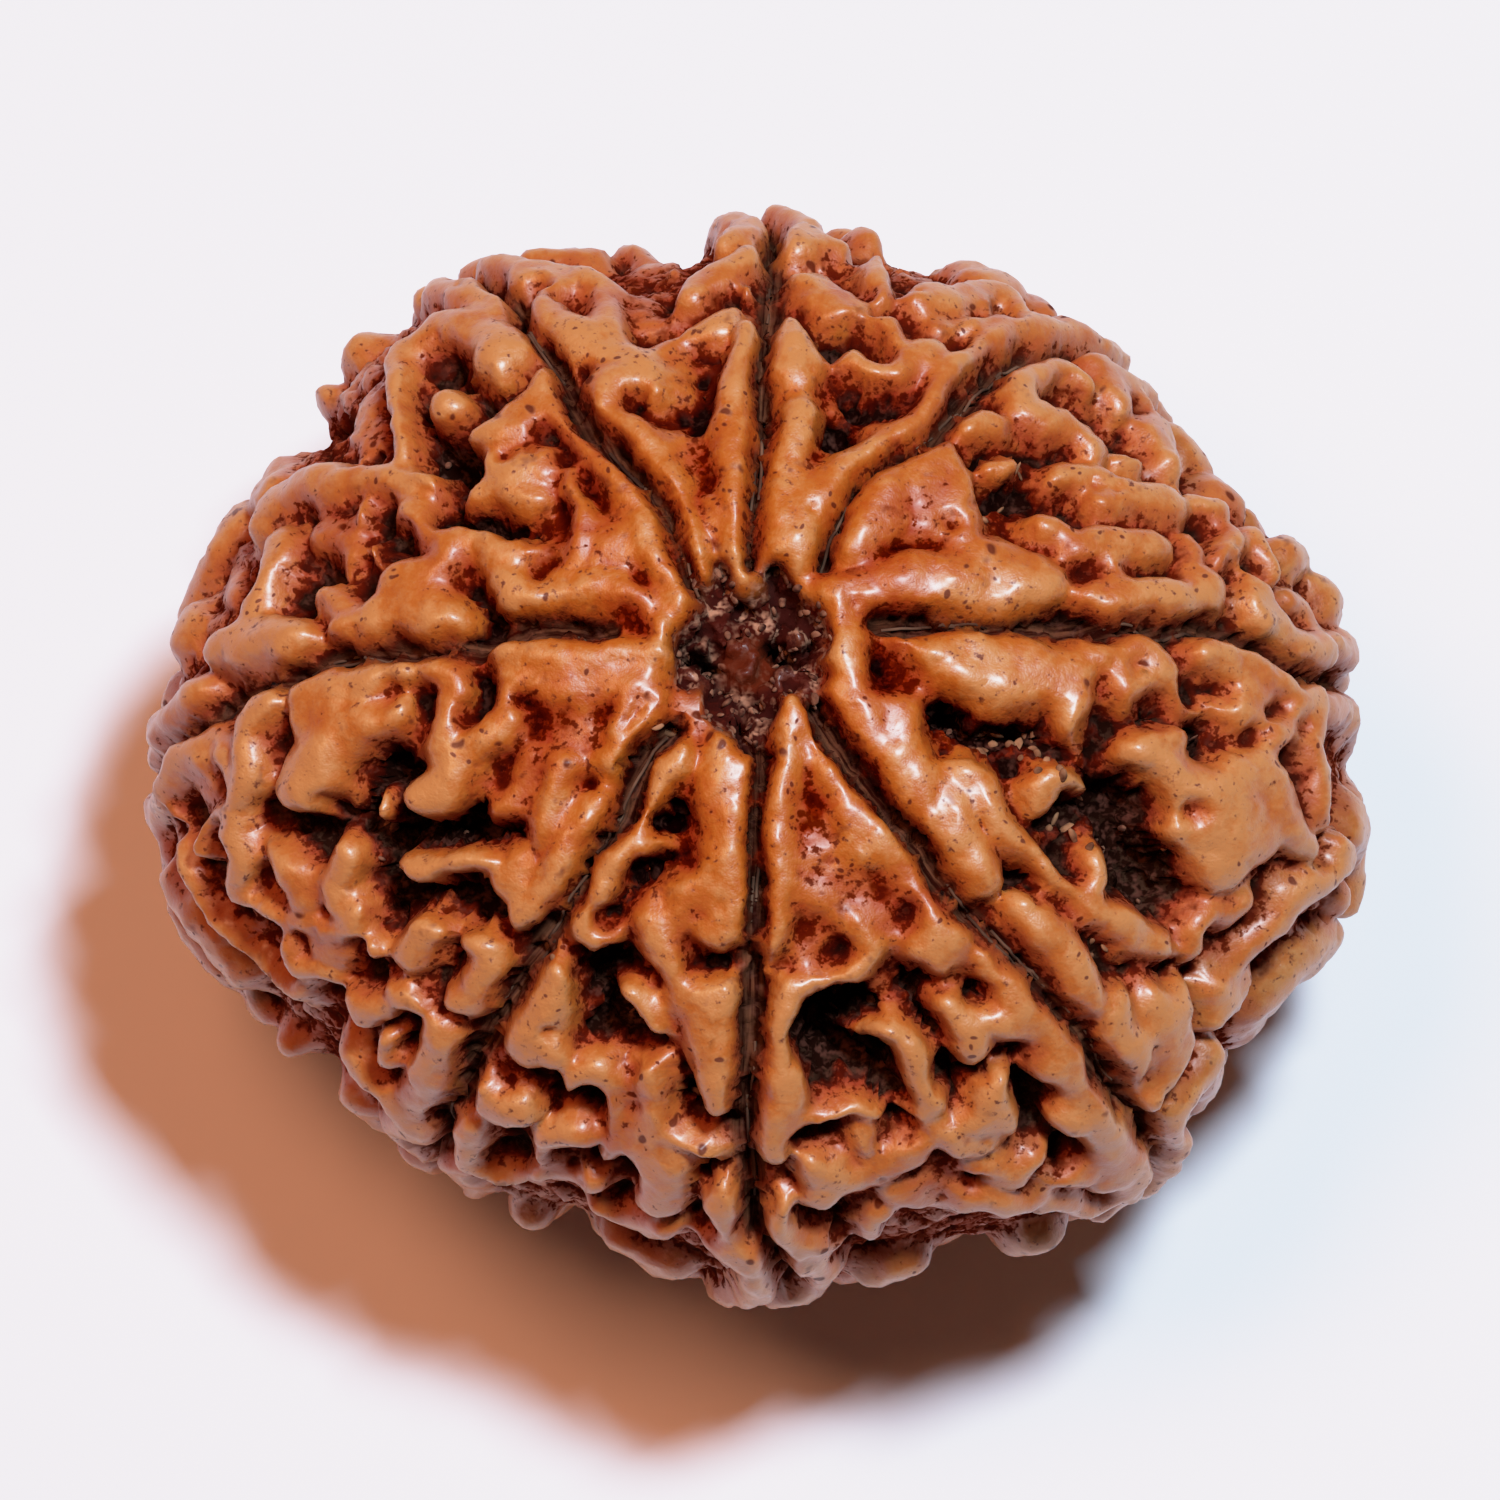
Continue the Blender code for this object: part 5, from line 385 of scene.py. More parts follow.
# Small bumps of dry pith in the pit at the pole.
PITH_BUMPS = (
    Fold((0.1, -0.25, 0.5), crest=-1.0),
    Fold((-0.45, 0.6, 0.34), crest=-0.75),
    Fold((0.25, 0.5, 0.24), crest=-0.9),
    Fold((0.35, 1.0, 0.22), crest=-1.0),
    Fold((0.95, 0.35, 0.22), crest=-0.75),
    Fold((-0.85, 0.2, 0.26), crest=-0.9),
    Fold((-1.15, -0.55, 0.24), crest=-0.7),
    Fold((0.75, -0.6, 0.28), crest=-0.8),
    Fold((1.25, -0.8, 0.18), crest=-0.6),
    Fold((0.25, -1.4, 0.22), crest=-0.65),
    Fold((0.12, -1.85, 0.15), crest=-0.7),
    Fold((-0.3, -1.15, 0.26), crest=-0.95),
    Fold((-0.9, -0.95, 0.12), (-0.85, -1.4, 0.15), (-0.8, -1.8, 0.2), crest=-0.3),
)

# Pits and hollows, as (across, up, radius, depth below the outer form).
PITS = (
    (1.85, 4.3, 0.35, 1.5), (2.2, 6.35, 0.3, 1.3), (2.7, 6.0, 0.2, 1.2), (2.3, 5.1, 0.3, 1.3),
    (3.5, 6.3, 0.2, 1.1), (1.6, 6.0, 0.15, 1.0), (6.6, 5.0, 0.3, 1.2), (7.5, 4.4, 0.35, 1.2),
    (7.8, 4.0, 0.15, 1.0), (4.9, 3.1, 0.3, 1.4), (6.5, 3.9, 0.25, 1.2), (6.7, 2.8, 0.3, 1.2),
    (8.7, 1.6, 0.25, 1.2), (10.3, 1.65, 0.25, 1.2), (10.0, 1.4, 0.2, 1.1), (4.3, 2.3, 0.15, 0.6),
    (3.7, 2.0, 0.2, 0.6), (2.7, -0.4, 0.2, 0.8), (8.4, -1.35, 0.4, 1.2), (9.1, -0.9, 0.3, 1.1),
    (9.5, -1.85, 0.45, 1.5), (11.2, -0.6, 0.3, 1.1), (10.6, -1.3, 0.15, 0.8), (11.2, -2.5, 0.18, 0.7),
    (9.0, -3.4, 0.25, 0.5), (8.7, -5.4, 0.4, 1.5), (9.5, -6.2, 0.3, 1.2), (5.4, -4.6, 0.25, 1.1),
    (7.2, -5.9, 0.2, 1.1), (8.7, -6.7, 0.3, 1.2), (1.3, -3.2, 0.2, 0.35), (1.5, -4.6, 0.2, 0.4),
    (1.7, -6.2, 0.25, 0.7), (1.2, -5.8, 0.15, 0.5), (3.2, -5.4, 0.25, 0.6), (3.4, -6.9, 0.4, 1.8),
    (4.6, -7.1, 0.25, 1.4), (2.2, -8.6, 0.7, 1.8), (3.2, -9.9, 0.35, 1.2), (1.65, -10.05, 0.25, 1.1),
    (4.15, -8.9, 0.3, 1.7), (5.3, -8.6, 0.2, 1.2), (5.9, -9.4, 0.35, 1.7), (6.3, -10.7, 0.3, 1.2),
    (4.7, -11.0, 0.25, 1.1), (2.0, -12.1, 0.2, 1.0), (1.3, -11.7, 0.2, 1.1), (-1.25, -3.8, 0.2, 0.9),
    (-1.6, -4.4, 0.25, 1.3), (-2.8, -5.5, 0.22, 1.0), (-2.1, -4.8, 0.2, 0.9), (-0.9, -6.4, 0.35, 1.3),
    (-2.6, -6.5, 0.35, 1.4), (-2.8, -7.4, 0.3, 1.7), (-2.9, -8.0, 0.35, 1.5), (-4.0, -7.9, 0.15, 0.5),
    (-3.0, -9.5, 0.3, 1.3), (-3.9, -9.4, 0.3, 1.3), (-4.5, -10.6, 0.3, 1.2), (-3.5, -10.8, 0.15, 0.9),
    (-1.3, -9.7, 0.35, 1.4), (-1.0, -11.0, 0.25, 1.2), (-1.3, -11.8, 0.2, 1.1), (-1.8, -8.2, 0.25, 1.2),
    (-7.2, -1.05, 0.35, 0.5), (-5.5, -1.4, 0.25, 1.1), (-4.4, -1.2, 0.2, 0.7), (-11.6, -3.4, 0.2, 1.0),
    (-11.3, -3.9, 0.2, 1.0), (-10.6, -4.2, 0.18, 0.9), (-9.6, -2.5, 0.2, 1.3), (-9.5, -3.7, 0.35, 1.5),
    (-8.3, -3.5, 0.4, 1.5), (-7.4, -2.6, 0.35, 1.3), (-6.8, -3.9, 0.4, 1.8), (-7.2, -5.0, 0.4, 1.8),
    (-6.1, -3.7, 0.3, 1.4), (-9.8, -6.1, 0.35, 1.1), (-10.0, -6.8, 0.25, 1.0), (-7.8, -6.9, 0.3, 1.1),
    (-6.0, -5.3, 0.35, 1.5), (-5.2, -5.6, 0.3, 1.3), (-6.0, -6.4, 0.25, 1.4), (-7.0, -8.3, 0.2, 1.2),
    (-3.1, -2.95, 0.15, 0.8), (-8.9, -3.9, 0.35, 1.5), (-6.3, 5.75, 0.35, 1.5), (-6.2, 4.0, 0.4, 1.8),
    (-5.4, 4.9, 0.25, 1.4), (-5.2, 5.4, 0.2, 1.1), (-4.1, 4.2, 0.25, 1.0), (-4.8, 3.7, 0.15, 0.5),
    (-6.0, 2.7, 0.4, 1.5), (-5.0, 2.5, 0.3, 1.4), (-4.2, 2.3, 0.3, 1.1), (-7.1, 2.1, 0.3, 1.4),
    (-8.6, 1.55, 0.35, 1.6), (-9.2, 0.9, 0.35, 1.5), (-8.85, 0.6, 0.2, 1.1), (-5.3, 0.9, 0.25, 1.2),
    (-3.9, 1.7, 0.2, 0.6), (-2.8, 2.4, 0.15, 0.4), (-10.5, 1.2, 0.3, 1.4), (-7.4, 4.4, 0.25, 1.2),
    (-7.9, 3.85, 0.3, 1.9), (-4.2, 7.2, 0.2, 1.1), (-3.6, 7.0, 0.25, 1.2), (-3.25, 5.6, 0.2, 0.9),
    (-3.5, 5.1, 0.15, 1.0), (-2.2, 5.0, 0.2, 1.1), (-2.0, 6.3, 0.2, 1.2), (-1.6, 6.35, 0.2, 1.2),
    (-0.85, 5.6, 0.2, 1.1), (-1.0, 4.5, 0.2, 1.0), (-0.7, 6.0, 0.15, 1.0), (-1.12, -0.1, 0.2, 2.5),
    (-0.82, -0.34, 0.19, 2.5), (0.55, 0.16, 0.17, 2.4), (0.88, -0.16, 0.17, 2.4), (0.22, 0.26, 0.08, 1.6),
    (-0.52, 0.04, 0.09, 1.6), (-0.48, -0.78, 0.13, 1.9), (-0.56, 0.6, 0.06, 1.2), (-0.42, 0.42, 0.06, 1.2),
)

# Deep hollows between folds. Each has its floor as its crest.
HOLLOWS = (
    Fold((-6.15, 4.6, 0.75), crest=-1.5),
    Fold((-6.1, 3.9, 0.4), (-5.8, 3.5, 0.4), crest=-1.9),
    Fold((-5.9, 2.75, 0.3), (-5.3, 2.6, 0.3), (-4.9, 2.35, 0.25), crest=-1.1),
    Fold((-7.1, 2.1, 0.3), crest=-1.2),
    Fold((-8.7, 1.7, 0.35), (-9.1, 1.1, 0.35), crest=-1.3),
    Fold((-5.35, 1.0, 0.25), (-5.3, 0.4, 0.25), crest=-1.1),
    Fold((-7.5, 4.0, 0.3), crest=-1.3),
    Fold((-4.1, 7.15, 0.3), (-3.6, 7.05, 0.3), crest=-1.3),
    Fold((-2.3, 6.7, 0.3), (-1.9, 6.45, 0.2), crest=-1.1),
    Fold((-1.0, 5.2, 0.3), crest=-0.9),
    Fold((2.1, 6.1, 0.4), (2.7, 5.95, 0.4), crest=-1.3),
    Fold((1.7, 4.8, 0.35), crest=-1.3),
    Fold((2.1, 4.5, 0.25), crest=-1.0),
    Fold((4.9, 3.55, 0.35), (5.4, 3.4, 0.4), crest=-1.0),
    Fold((6.7, 2.7, 0.35), crest=-1.2),
    Fold((7.6, 4.4, 0.35), crest=-1.1),
    Fold((9.7, 2.0, 0.35), crest=-1.2),
    Fold((10.6, 0.35, 0.35), (11.3, -0.6, 0.3), crest=-1.3),
    Fold((8.4, -1.4, 0.3), (8.8, -1.55, 0.3), crest=-1.0),
    Fold((9.45, -1.95, 0.35), crest=-1.1),
    Fold((4.0, -1.5, 0.3), (5.0, -2.1, 0.35), (6.2, -2.1, 0.45), (6.9, -2.8, 0.6), (7.5, -3.5, 0.6), (8.0, -4.5, 0.6),
        (8.5, -5.2, 0.4), crest=-1.9),
    Fold((6.6, -3.9, 0.4), (7.1, -4.5, 0.45), crest=-1.4),
    Fold((1.9, -7.4, 0.4), (2.1, -8.3, 0.6), (2.9, -8.6, 0.5), crest=-2.1),
    Fold((3.7, -7.1, 0.25), (3.9, -7.7, 0.3), crest=-1.4),
    Fold((4.2, -8.8, 0.35), (4.3, -9.4, 0.3), crest=-1.4),
    Fold((5.8, -9.1, 0.3), (6.1, -9.6, 0.3), crest=-1.4),
    Fold((5.6, -4.8, 0.3), crest=-1.2),
    Fold((2.7, -10.0, 0.3), crest=-1.1),
    Fold((6.3, -10.8, 0.3), crest=-1.2),
    Fold((8.7, -6.7, 0.3), crest=-1.0),
    Fold((-9.7, -3.5, 0.3), (-9.1, -4.0, 0.3), (-8.2, -3.8, 0.35), crest=-1.3),
    Fold((-7.2, -2.6, 0.35), (-7.4, -3.6, 0.45), (-7.3, -4.6, 0.45), (-7.1, -5.6, 0.4), crest=-2.2),
    Fold((-6.6, -4.0, 0.4), (-5.6, -3.9, 0.45), (-4.9, -3.6, 0.35), crest=-1.9),
    Fold((-6.2, -5.3, 0.3), (-5.5, -5.3, 0.4), crest=-1.4),
    Fold((-5.7, -7.0, 0.3), crest=-1.2),
    Fold((-1.5, -3.6, 0.22), (-1.9, -4.5, 0.3), (-2.5, -5.2, 0.25), crest=-1.2),
    Fold((-3.1, -6.5, 0.3), (-2.6, -7.2, 0.45), (-2.2, -8.0, 0.35), crest=-2.0),
    Fold((-3.6, -9.2, 0.3), (-3.2, -9.6, 0.3), crest=-1.3),
    Fold((-1.6, -9.4, 0.25), (-0.6, -9.9, 0.3), crest=-1.4),
    Fold((-0.7, -6.5, 0.25), crest=-1.1),
    Fold((-5.4, -0.8, 0.22), (-5.4, -1.5, 0.25), crest=-1.1),
)

# The ragged pit at the upper pole, where the grooves meet. Each part has its floor as its crest.
POLE_PIT = (
    Fold((-1.0, 0.0, 0.3), (-0.6, 0.1, 0.5), (0.0, 0.1, 0.75), (0.6, 0.1, 0.65), (1.0, 0.1, 0.25), crest=-1.45),
    Fold((-0.2, -0.3, 0.6), (-0.1, -1.0, 0.5), (0.05, -1.6, 0.25), (0.1, -1.95, 0.15), crest=-1.35),
    Fold((0.4, 0.6, 0.45), (0.6, 1.1, 0.3), (0.5, 1.5, 0.12), crest=-1.05),
    Fold((-0.4, 0.6, 0.4), (-0.45, 1.2, 0.2), (-0.5, 1.6, 0.1), crest=-1.0),
    Fold((0.8, -0.4, 0.4), (1.25, -0.7, 0.2), crest=-1.25),
    Fold((-0.9, -0.4, 0.3), (-1.15, -0.6, 0.2), crest=-1.25),
)

# Notches in the widest belt where two lobes' folds leave a gap, as (azimuth in degrees, depth).
RIM_NOTCHES = ((72.0, 0.7), (98.0, 1.2), (144.0, 1.2), (217.0, 0.8), (249.0, 0.3), (291.0, 0.3))

# The smooth boss in the middle of the pit's pith, and the slits beside it, as (across, up, radius).
PIT_BOSS = (0.1, -0.25, 0.75)
# The finish paints these slits near-black, as painted shade.
PIT_SLITS = ((-1.15, -0.07, 0.24), (-0.98, -0.2, 0.22), (-0.8, -0.35, 0.2), (0.55, 0.16, 0.19), (0.72, 0.0, 0.17),
             (0.88, -0.16, 0.2))

# Places where pale shreds lie, as (across, up, radius).
LINT_BEDS = (
    (5.6, -2.1, 0.5), (6.3, -2.3, 0.55), (6.9, -4.0, 0.35), (7.4, -3.2, 0.3), (5.65, 3.65, 0.35), (4.85, 2.6, 0.3),
    (-1.6, -1.8, 0.2), (1.85, 2.2, 0.18), (-4.2, -6.3, 0.4), (-5.0, -0.4, 0.25), (7.4, -6.4, 0.3),
)

ALL_FOLDS = (NORTH_FOLDS + EAST_NORTH_FOLDS + EAST_SOUTH_FOLDS + SOUTH_EAST_FOLDS + SOUTH_WEST_FOLDS
             + WEST_SOUTH_FOLDS + WEST_NORTH_FOLDS + NORTH_WEST_FOLDS)


@dataclass(frozen=True)
class Stroke:
    """A centreline on the outer form, in millimetres, with a half width at each point and one level."""

    centres: np.ndarray
    half_widths: np.ndarray
    level: float = 0.0


def linear(hex_colour: str) -> tuple[float, float, float, float]:
    """Turns an sRGB hex colour into linear light.

    Args:
        hex_colour: Six hex digits after a hash sign.

    Returns:
        Red, green, blue and an alpha of 1.
    """
    parts = [int(hex_colour[i:i + 2], 16) / 255.0 for i in (1, 3, 5)]
    red, green, blue = (p / 12.92 if p <= 0.04045 else ((p + 0.055) / 1.055) ** 2.4 for p in parts)
    return red, green, blue, 1.0


@dataclass(frozen=True)
class OuterForm:
    """The stone's outer form, which the crests of its folds lie on: an oblate body with a lobed outline.

    All sizes are in millimetres, and the form's middle is the origin.
    """

    upper_height: float = 8.5
    lower_height: float = 8.5
    section_power: float = 2.25
    rim_radii: tuple[float, ...] = (
        12.45, 12.2, 11.05, 11.0, 10.9, 10.75, 10.9, 10.5, 11.35, 11.45, 11.2, 11.6,
        12.1, 12.05, 11.2, 10.8, 10.6, 10.35, 11.3, 11.05, 11.6, 12.15, 11.75, 12.7)

    def rim_radius(self, azimuth: np.ndarray) -> np.ndarray:
        """A smooth closed curve through the rim radii.

        Args:
            azimuth: Angles counter-clockwise from +X, in radians.

        Returns:
            The form's radius at its widest belt at each angle.
        """
        radii = np.array(self.rim_radii)
        place = np.mod(azimuth / (2.0 * math.pi), 1.0) * len(radii)
        index = np.floor(place).astype(int)
        spans = (radii[(index + k) % len(radii)] for k in (-1, 0, 1, 2))
        return smooth_span(*spans, place - index)

    def level(self, points: np.ndarray) -> np.ndarray:
        """Level of points against the form: 1 on it and less inside.

        Args:
            points: Places from the form's middle.

        Returns:
            One level for each place.
        """
        across = np.hypot(points[:, 0], points[:, 1])
        rim = self.rim_radius(np.arctan2(points[:, 1], points[:, 0]))
        height = np.where(points[:, 2] > 0.0, self.upper_height, self.lower_height)
        flat = (across / rim) ** self.section_power
        upright = (np.abs(points[:, 2]) / height) ** self.section_power
        return (flat + upright) ** (1.0 / self.section_power)

    def drawn_onto(self, points: np.ndarray) -> np.ndarray:
        """Points moved along their lines from the middle until they lie on the form."""
        return points / self.level(points)[:, None]

    def normals(self, points: np.ndarray, step: float = 0.05) -> np.ndarray:
        """Outward unit normals of the form.

        Args:
            points: Places near the form.
            step: Distance over which the slope is measured.

        Returns:
            One normal for each place.
        """
        slopes = [self.level(points + way) - self.level(points - way) for way in np.eye(3) * step]
        normals = np.stack(slopes, axis=1)
        return normals / np.linalg.norm(normals, axis=1, keepdims=True)


def smooth_span(before: Any, start: Any, end: Any, after: Any, along: Any) -> Any:
    """A smooth curve between two of four values in a row.

    Args:
        before: The value before the span.
        start: The value at the span's start.
        end: The value at the span's end.
        after: The value after the span.
        along: The place in the span, from 0 to 1.

    Returns:
        The value there.
    """
    return start + 0.5 * along * (
        end - before
        + along * (2.0 * before - 5.0 * start + 4.0 * end - after
                   + along * (3.0 * (start - end) + after - before)))


@dataclass(frozen=True)
class Layout:
    """The tilted plane that the relief is laid out on, and the far point whose lines carry it to the form."""

    form: OuterForm
    tilt: float = math.radians(75.0)
    pole_up: float = 2.2
    distance: float = 400.0
    reach: tuple[float, float] = (-13.0, 6.0)
    reach_steps: int = 381

    def axes(self) -> tuple[np.ndarray, np.ndarray, np.ndarray]:
        """The layout's directions.

        Returns:
            The directions across, up and away from the far point.
        """
        across = np.array([1.0, 0.0, 0.0])
        up = np.array([0.0, math.sin(self.tilt), math.cos(self.tilt)])
        away = np.array([0.0, math.cos(self.tilt), -math.sin(self.tilt)])
        return across, up, away

    def far_point(self) -> np.ndarray:
        """The far point, from the form's middle."""
        return -self.distance * self.axes()[2]

    def onto_form(self, plane: np.ndarray) -> np.ndarray:
        """Carries layout points onto the form, and those past its edge to the nearest rim.

        Args:
            plane: Places across and up the layout.

        Returns:
            Places on the form.
        """
        across, up, away = self.axes()
        plane = np.asarray(plane, dtype=float)
        aims = plane[:, :1] * across + (plane[:, 1:2] + self.pole_up) * up + self.distance * away
        aims /= np.linalg.norm(aims, axis=1, keepdims=True)
        reach = np.linspace(*(self.distance + end for end in self.reach), self.reach_steps)
        rays = self.far_point() + aims[:, None, :] * reach[None, :, None]
        levels = self.form.level(rays.reshape(-1, 3)).reshape(len(plane), -1)
        inside = levels <= 1.0
        first = np.where(inside.any(axis=1), inside.argmax(axis=1), levels.argmin(axis=1))
        return self.form.drawn_onto(rays[np.arange(len(plane)), first])

    def stroke(self, points: tuple[Point, ...], level: float = 0.0, parts: int = 3) -> Stroke:
        """Lays a list of (across, up, half width) points on the form as a smooth stroke.

        Args:
            points: The points in order.
            level: The stroke's crest or floor.
            parts: Smooth steps between each pair of points.

        Returns:
            The stroke.
        """
        path = np.asarray(points, dtype=float)
        if len(path) > 2:
            ends = np.vstack([2.0 * path[0] - path[1], path, 2.0 * path[-1] - path[-2]])
            fine = [smooth_span(*ends[i - 1:i + 3], along)
                    for i in range(1, len(ends) - 2) for along in np.arange(parts) / parts]
            path = np.vstack([*fine, path[-1]])
        return Stroke(self.onto_form(path[:, :2]), path[:, 2], level)

    def facing(self, places: np.ndarray) -> np.ndarray:
        """How squarely the form faces the far point.

        Args:
            places: Places on the form.

        Returns:
            A share for each place: 0 at the edge that the far point sees, and less behind it.
        """
        aims = self.far_point() - places
        aims /= np.linalg.norm(aims, axis=1, keepdims=True)
        return np.sum(self.form.normals(places) * aims, axis=1)


def smooth_max(first: np.ndarray, second: np.ndarray, blend: float) -> np.ndarray:
    """The larger of two values, rounded over the given blend where they meet."""
    mix = np.clip(0.5 + 0.5 * (first - second) / blend, 0.0, 1.0)
    return second + (first - second) * mix + blend * mix * (1.0 - mix)


# Least square of a stroke's step, in square millimetres, so that a lone point can be measured from.
SHORTEST_RUN = 1e-9


def stroke_share(places: np.ndarray, centres: np.ndarray, half_widths: np.ndarray) -> np.ndarray:
    """Distance from a stroke as a share of its half width.

    Args:
        places: Places on the form.
        centres: The stroke's centreline.
        half_widths: Its half width at each point of the centreline.

    Returns:
        0 on the centreline, 1 at the stroke's edge and more outside.
    """
    share = np.full(len(places), np.inf)
    if len(centres) == 1:
        centres = np.vstack([centres, centres])
        half_widths = np.repeat(half_widths, 2)
    for start, end, wide, wide_end in zip(centres[:-1], centres[1:], half_widths[:-1], half_widths[1:]):
        run = end - start
        length = max(float(run @ run), SHORTEST_RUN)
        along = np.clip((places - start) @ run / length, 0.0, 1.0)
        gap = np.linalg.norm(places - start - along[:, None] * run, axis=1)
        share = np.minimum(share, gap / (wide + along * (wide_end - wide)))
    return share


def near_stroke(places: np.ndarray, centres: np.ndarray, reach: float) -> np.ndarray:
    """Finds the places inside a stroke's box.

    Args:
        places: Places on the form.
        centres: The stroke's centreline.
        reach: How much wider the box is than the centreline, on all sides.

    Returns:
        The numbers of those places.
    """
    low = centres.min(axis=0) - reach
    high = centres.max(axis=0) + reach
    return np.flatnonzero(np.all((places > low) & (places < high), axis=1))


def ripple(places: np.ndarray, generator: np.random.Generator, wavelength: float, size: float,
           waves: int = 24, spread: tuple[float, float] = (0.7, 1.5)) -> np.ndarray:
    """A seeded unevenness made of waves that cross in all directions.

    Args:
        places: Places on the form.
        generator: The seeded source of the waves.
        wavelength: Their middling length, in millimetres.
        size: The unevenness's height, in millimetres.
        waves: How many waves there are.
        spread: The shortest and the longest wave, as shares of the middling length.

    Returns:
        A height for each place.
    """
    total = np.zeros(len(places))
    for _ in range(waves):
        aim = generator.normal(size=3)
        aim /= np.linalg.norm(aim)
        turn = 2.0 * math.pi / (wavelength * generator.uniform(*spread))
        total += np.sin(places @ aim * turn + generator.uniform(0.0, 2.0 * math.pi))
    return size * total / math.sqrt(waves / 2.0)


@dataclass
class FoldGrowth:
    """Grows the folds of the far side and the underside, clear of the strokes that are already placed."""

    form: OuterForm
    generator: np.random.Generator
    half_width: tuple[float, float] = (0.42, 0.6)
    points: tuple[int, int] = (2, 6)
    step: float = 0.7
    gap: float = 0.18
    tries: int = 5000
    winding: float = 0.45
    widths: tuple[float, float] = (0.8, 1.1)
    crests: tuple[float, float] = (-0.25, 0.05)
    lip_offset: float = 0.62
    lip_half_width: float = 0.42
    lip_points: tuple[int, int] = (3, 7)
    lip_breaks: tuple[int, int] = (0, 2)
    lip_widths: tuple[float, float] = (0.75, 1.15)
    lip_crests: tuple[float, float] = (-0.15, 0.05)
    taken: np.ndarray = field(default_factory=lambda: np.empty((0, 3)))
    taken_wide: np.ndarray = field(default_factory=lambda: np.empty(0))
    strokes: list[Stroke] = field(default_factory=list)

    def take(self, centres: np.ndarray, half_widths: np.ndarray) -> None:
        """Marks a stroke's ground as taken."""
        self.taken = np.vstack([self.taken, centres])
        self.taken_wide = np.append(self.taken_wide, half_widths)

    def clear(self, place: np.ndarray, half_width: float) -> bool:
        """Whether a fold this wide has room at a place."""
        gaps = np.linalg.norm(self.taken - place, axis=1) - self.taken_wide
        return bool(gaps.min() > half_width + self.gap)

    def add(self, centres: np.ndarray, half_widths: np.ndarray, crest: float) -> None:
        """Keeps a new fold and takes its ground."""
        self.strokes.append(Stroke(centres, half_widths, crest))
        self.take(centres, half_widths)

    def add_lips(self, meridian: np.ndarray) -> None:
        """Adds folds along both sides of a groove, broken into lengths.

        Args:
            meridian: The groove's centreline.
        """
        sideways = np.cross(self.form.normals(meridian), np.gradient(meridian, axis=0))
        sideways /= np.linalg.norm(sideways, axis=1, keepdims=True)
        for side in (-self.lip_offset, self.lip_offset):
            lip = self.form.drawn_onto(meridian + side * sideways)
            index = 0
            while index < len(lip) - 2:
                count = int(self.generator.integers(*self.lip_points))
                part = lip[index:index + count]
                wide = self.lip_half_width * self.generator.uniform(*self.lip_widths, len(part))
                self.add(part, wide, self.generator.uniform(*self.lip_crests))
                index += count + int(self.generator.integers(*self.lip_breaks))

    def grow(self, place: np.ndarray) -> None:
        """Grows one winding fold from a place, if there is room for it.

        Args:
            place: Where the fold starts.
        """
        half_width = self.generator.uniform(*self.half_width)
        if not self.clear(place, half_width):
            return
        centres = [place]
        normal = self.form.normals(place[None, :])[0]
        heading = np.cross(normal, self.generator.normal(size=3))
        heading /= np.linalg.norm(heading)
        for _ in range(int(self.generator.integers(*self.points))):
            turn = self.generator.normal(0.0, self.winding)
            heading = heading * math.cos(turn) + np.cross(normal, heading) * math.sin(turn)
            ahead = self.form.drawn_onto((centres[-1] + heading * self.step)[None, :])[0]
            if not self.clear(ahead, half_width):
                break
            centres.append(ahead)
        wide = half_width * self.generator.uniform(*self.widths, len(centres))
        self.add(np.array(centres), wide, self.generator.uniform(*self.crests))


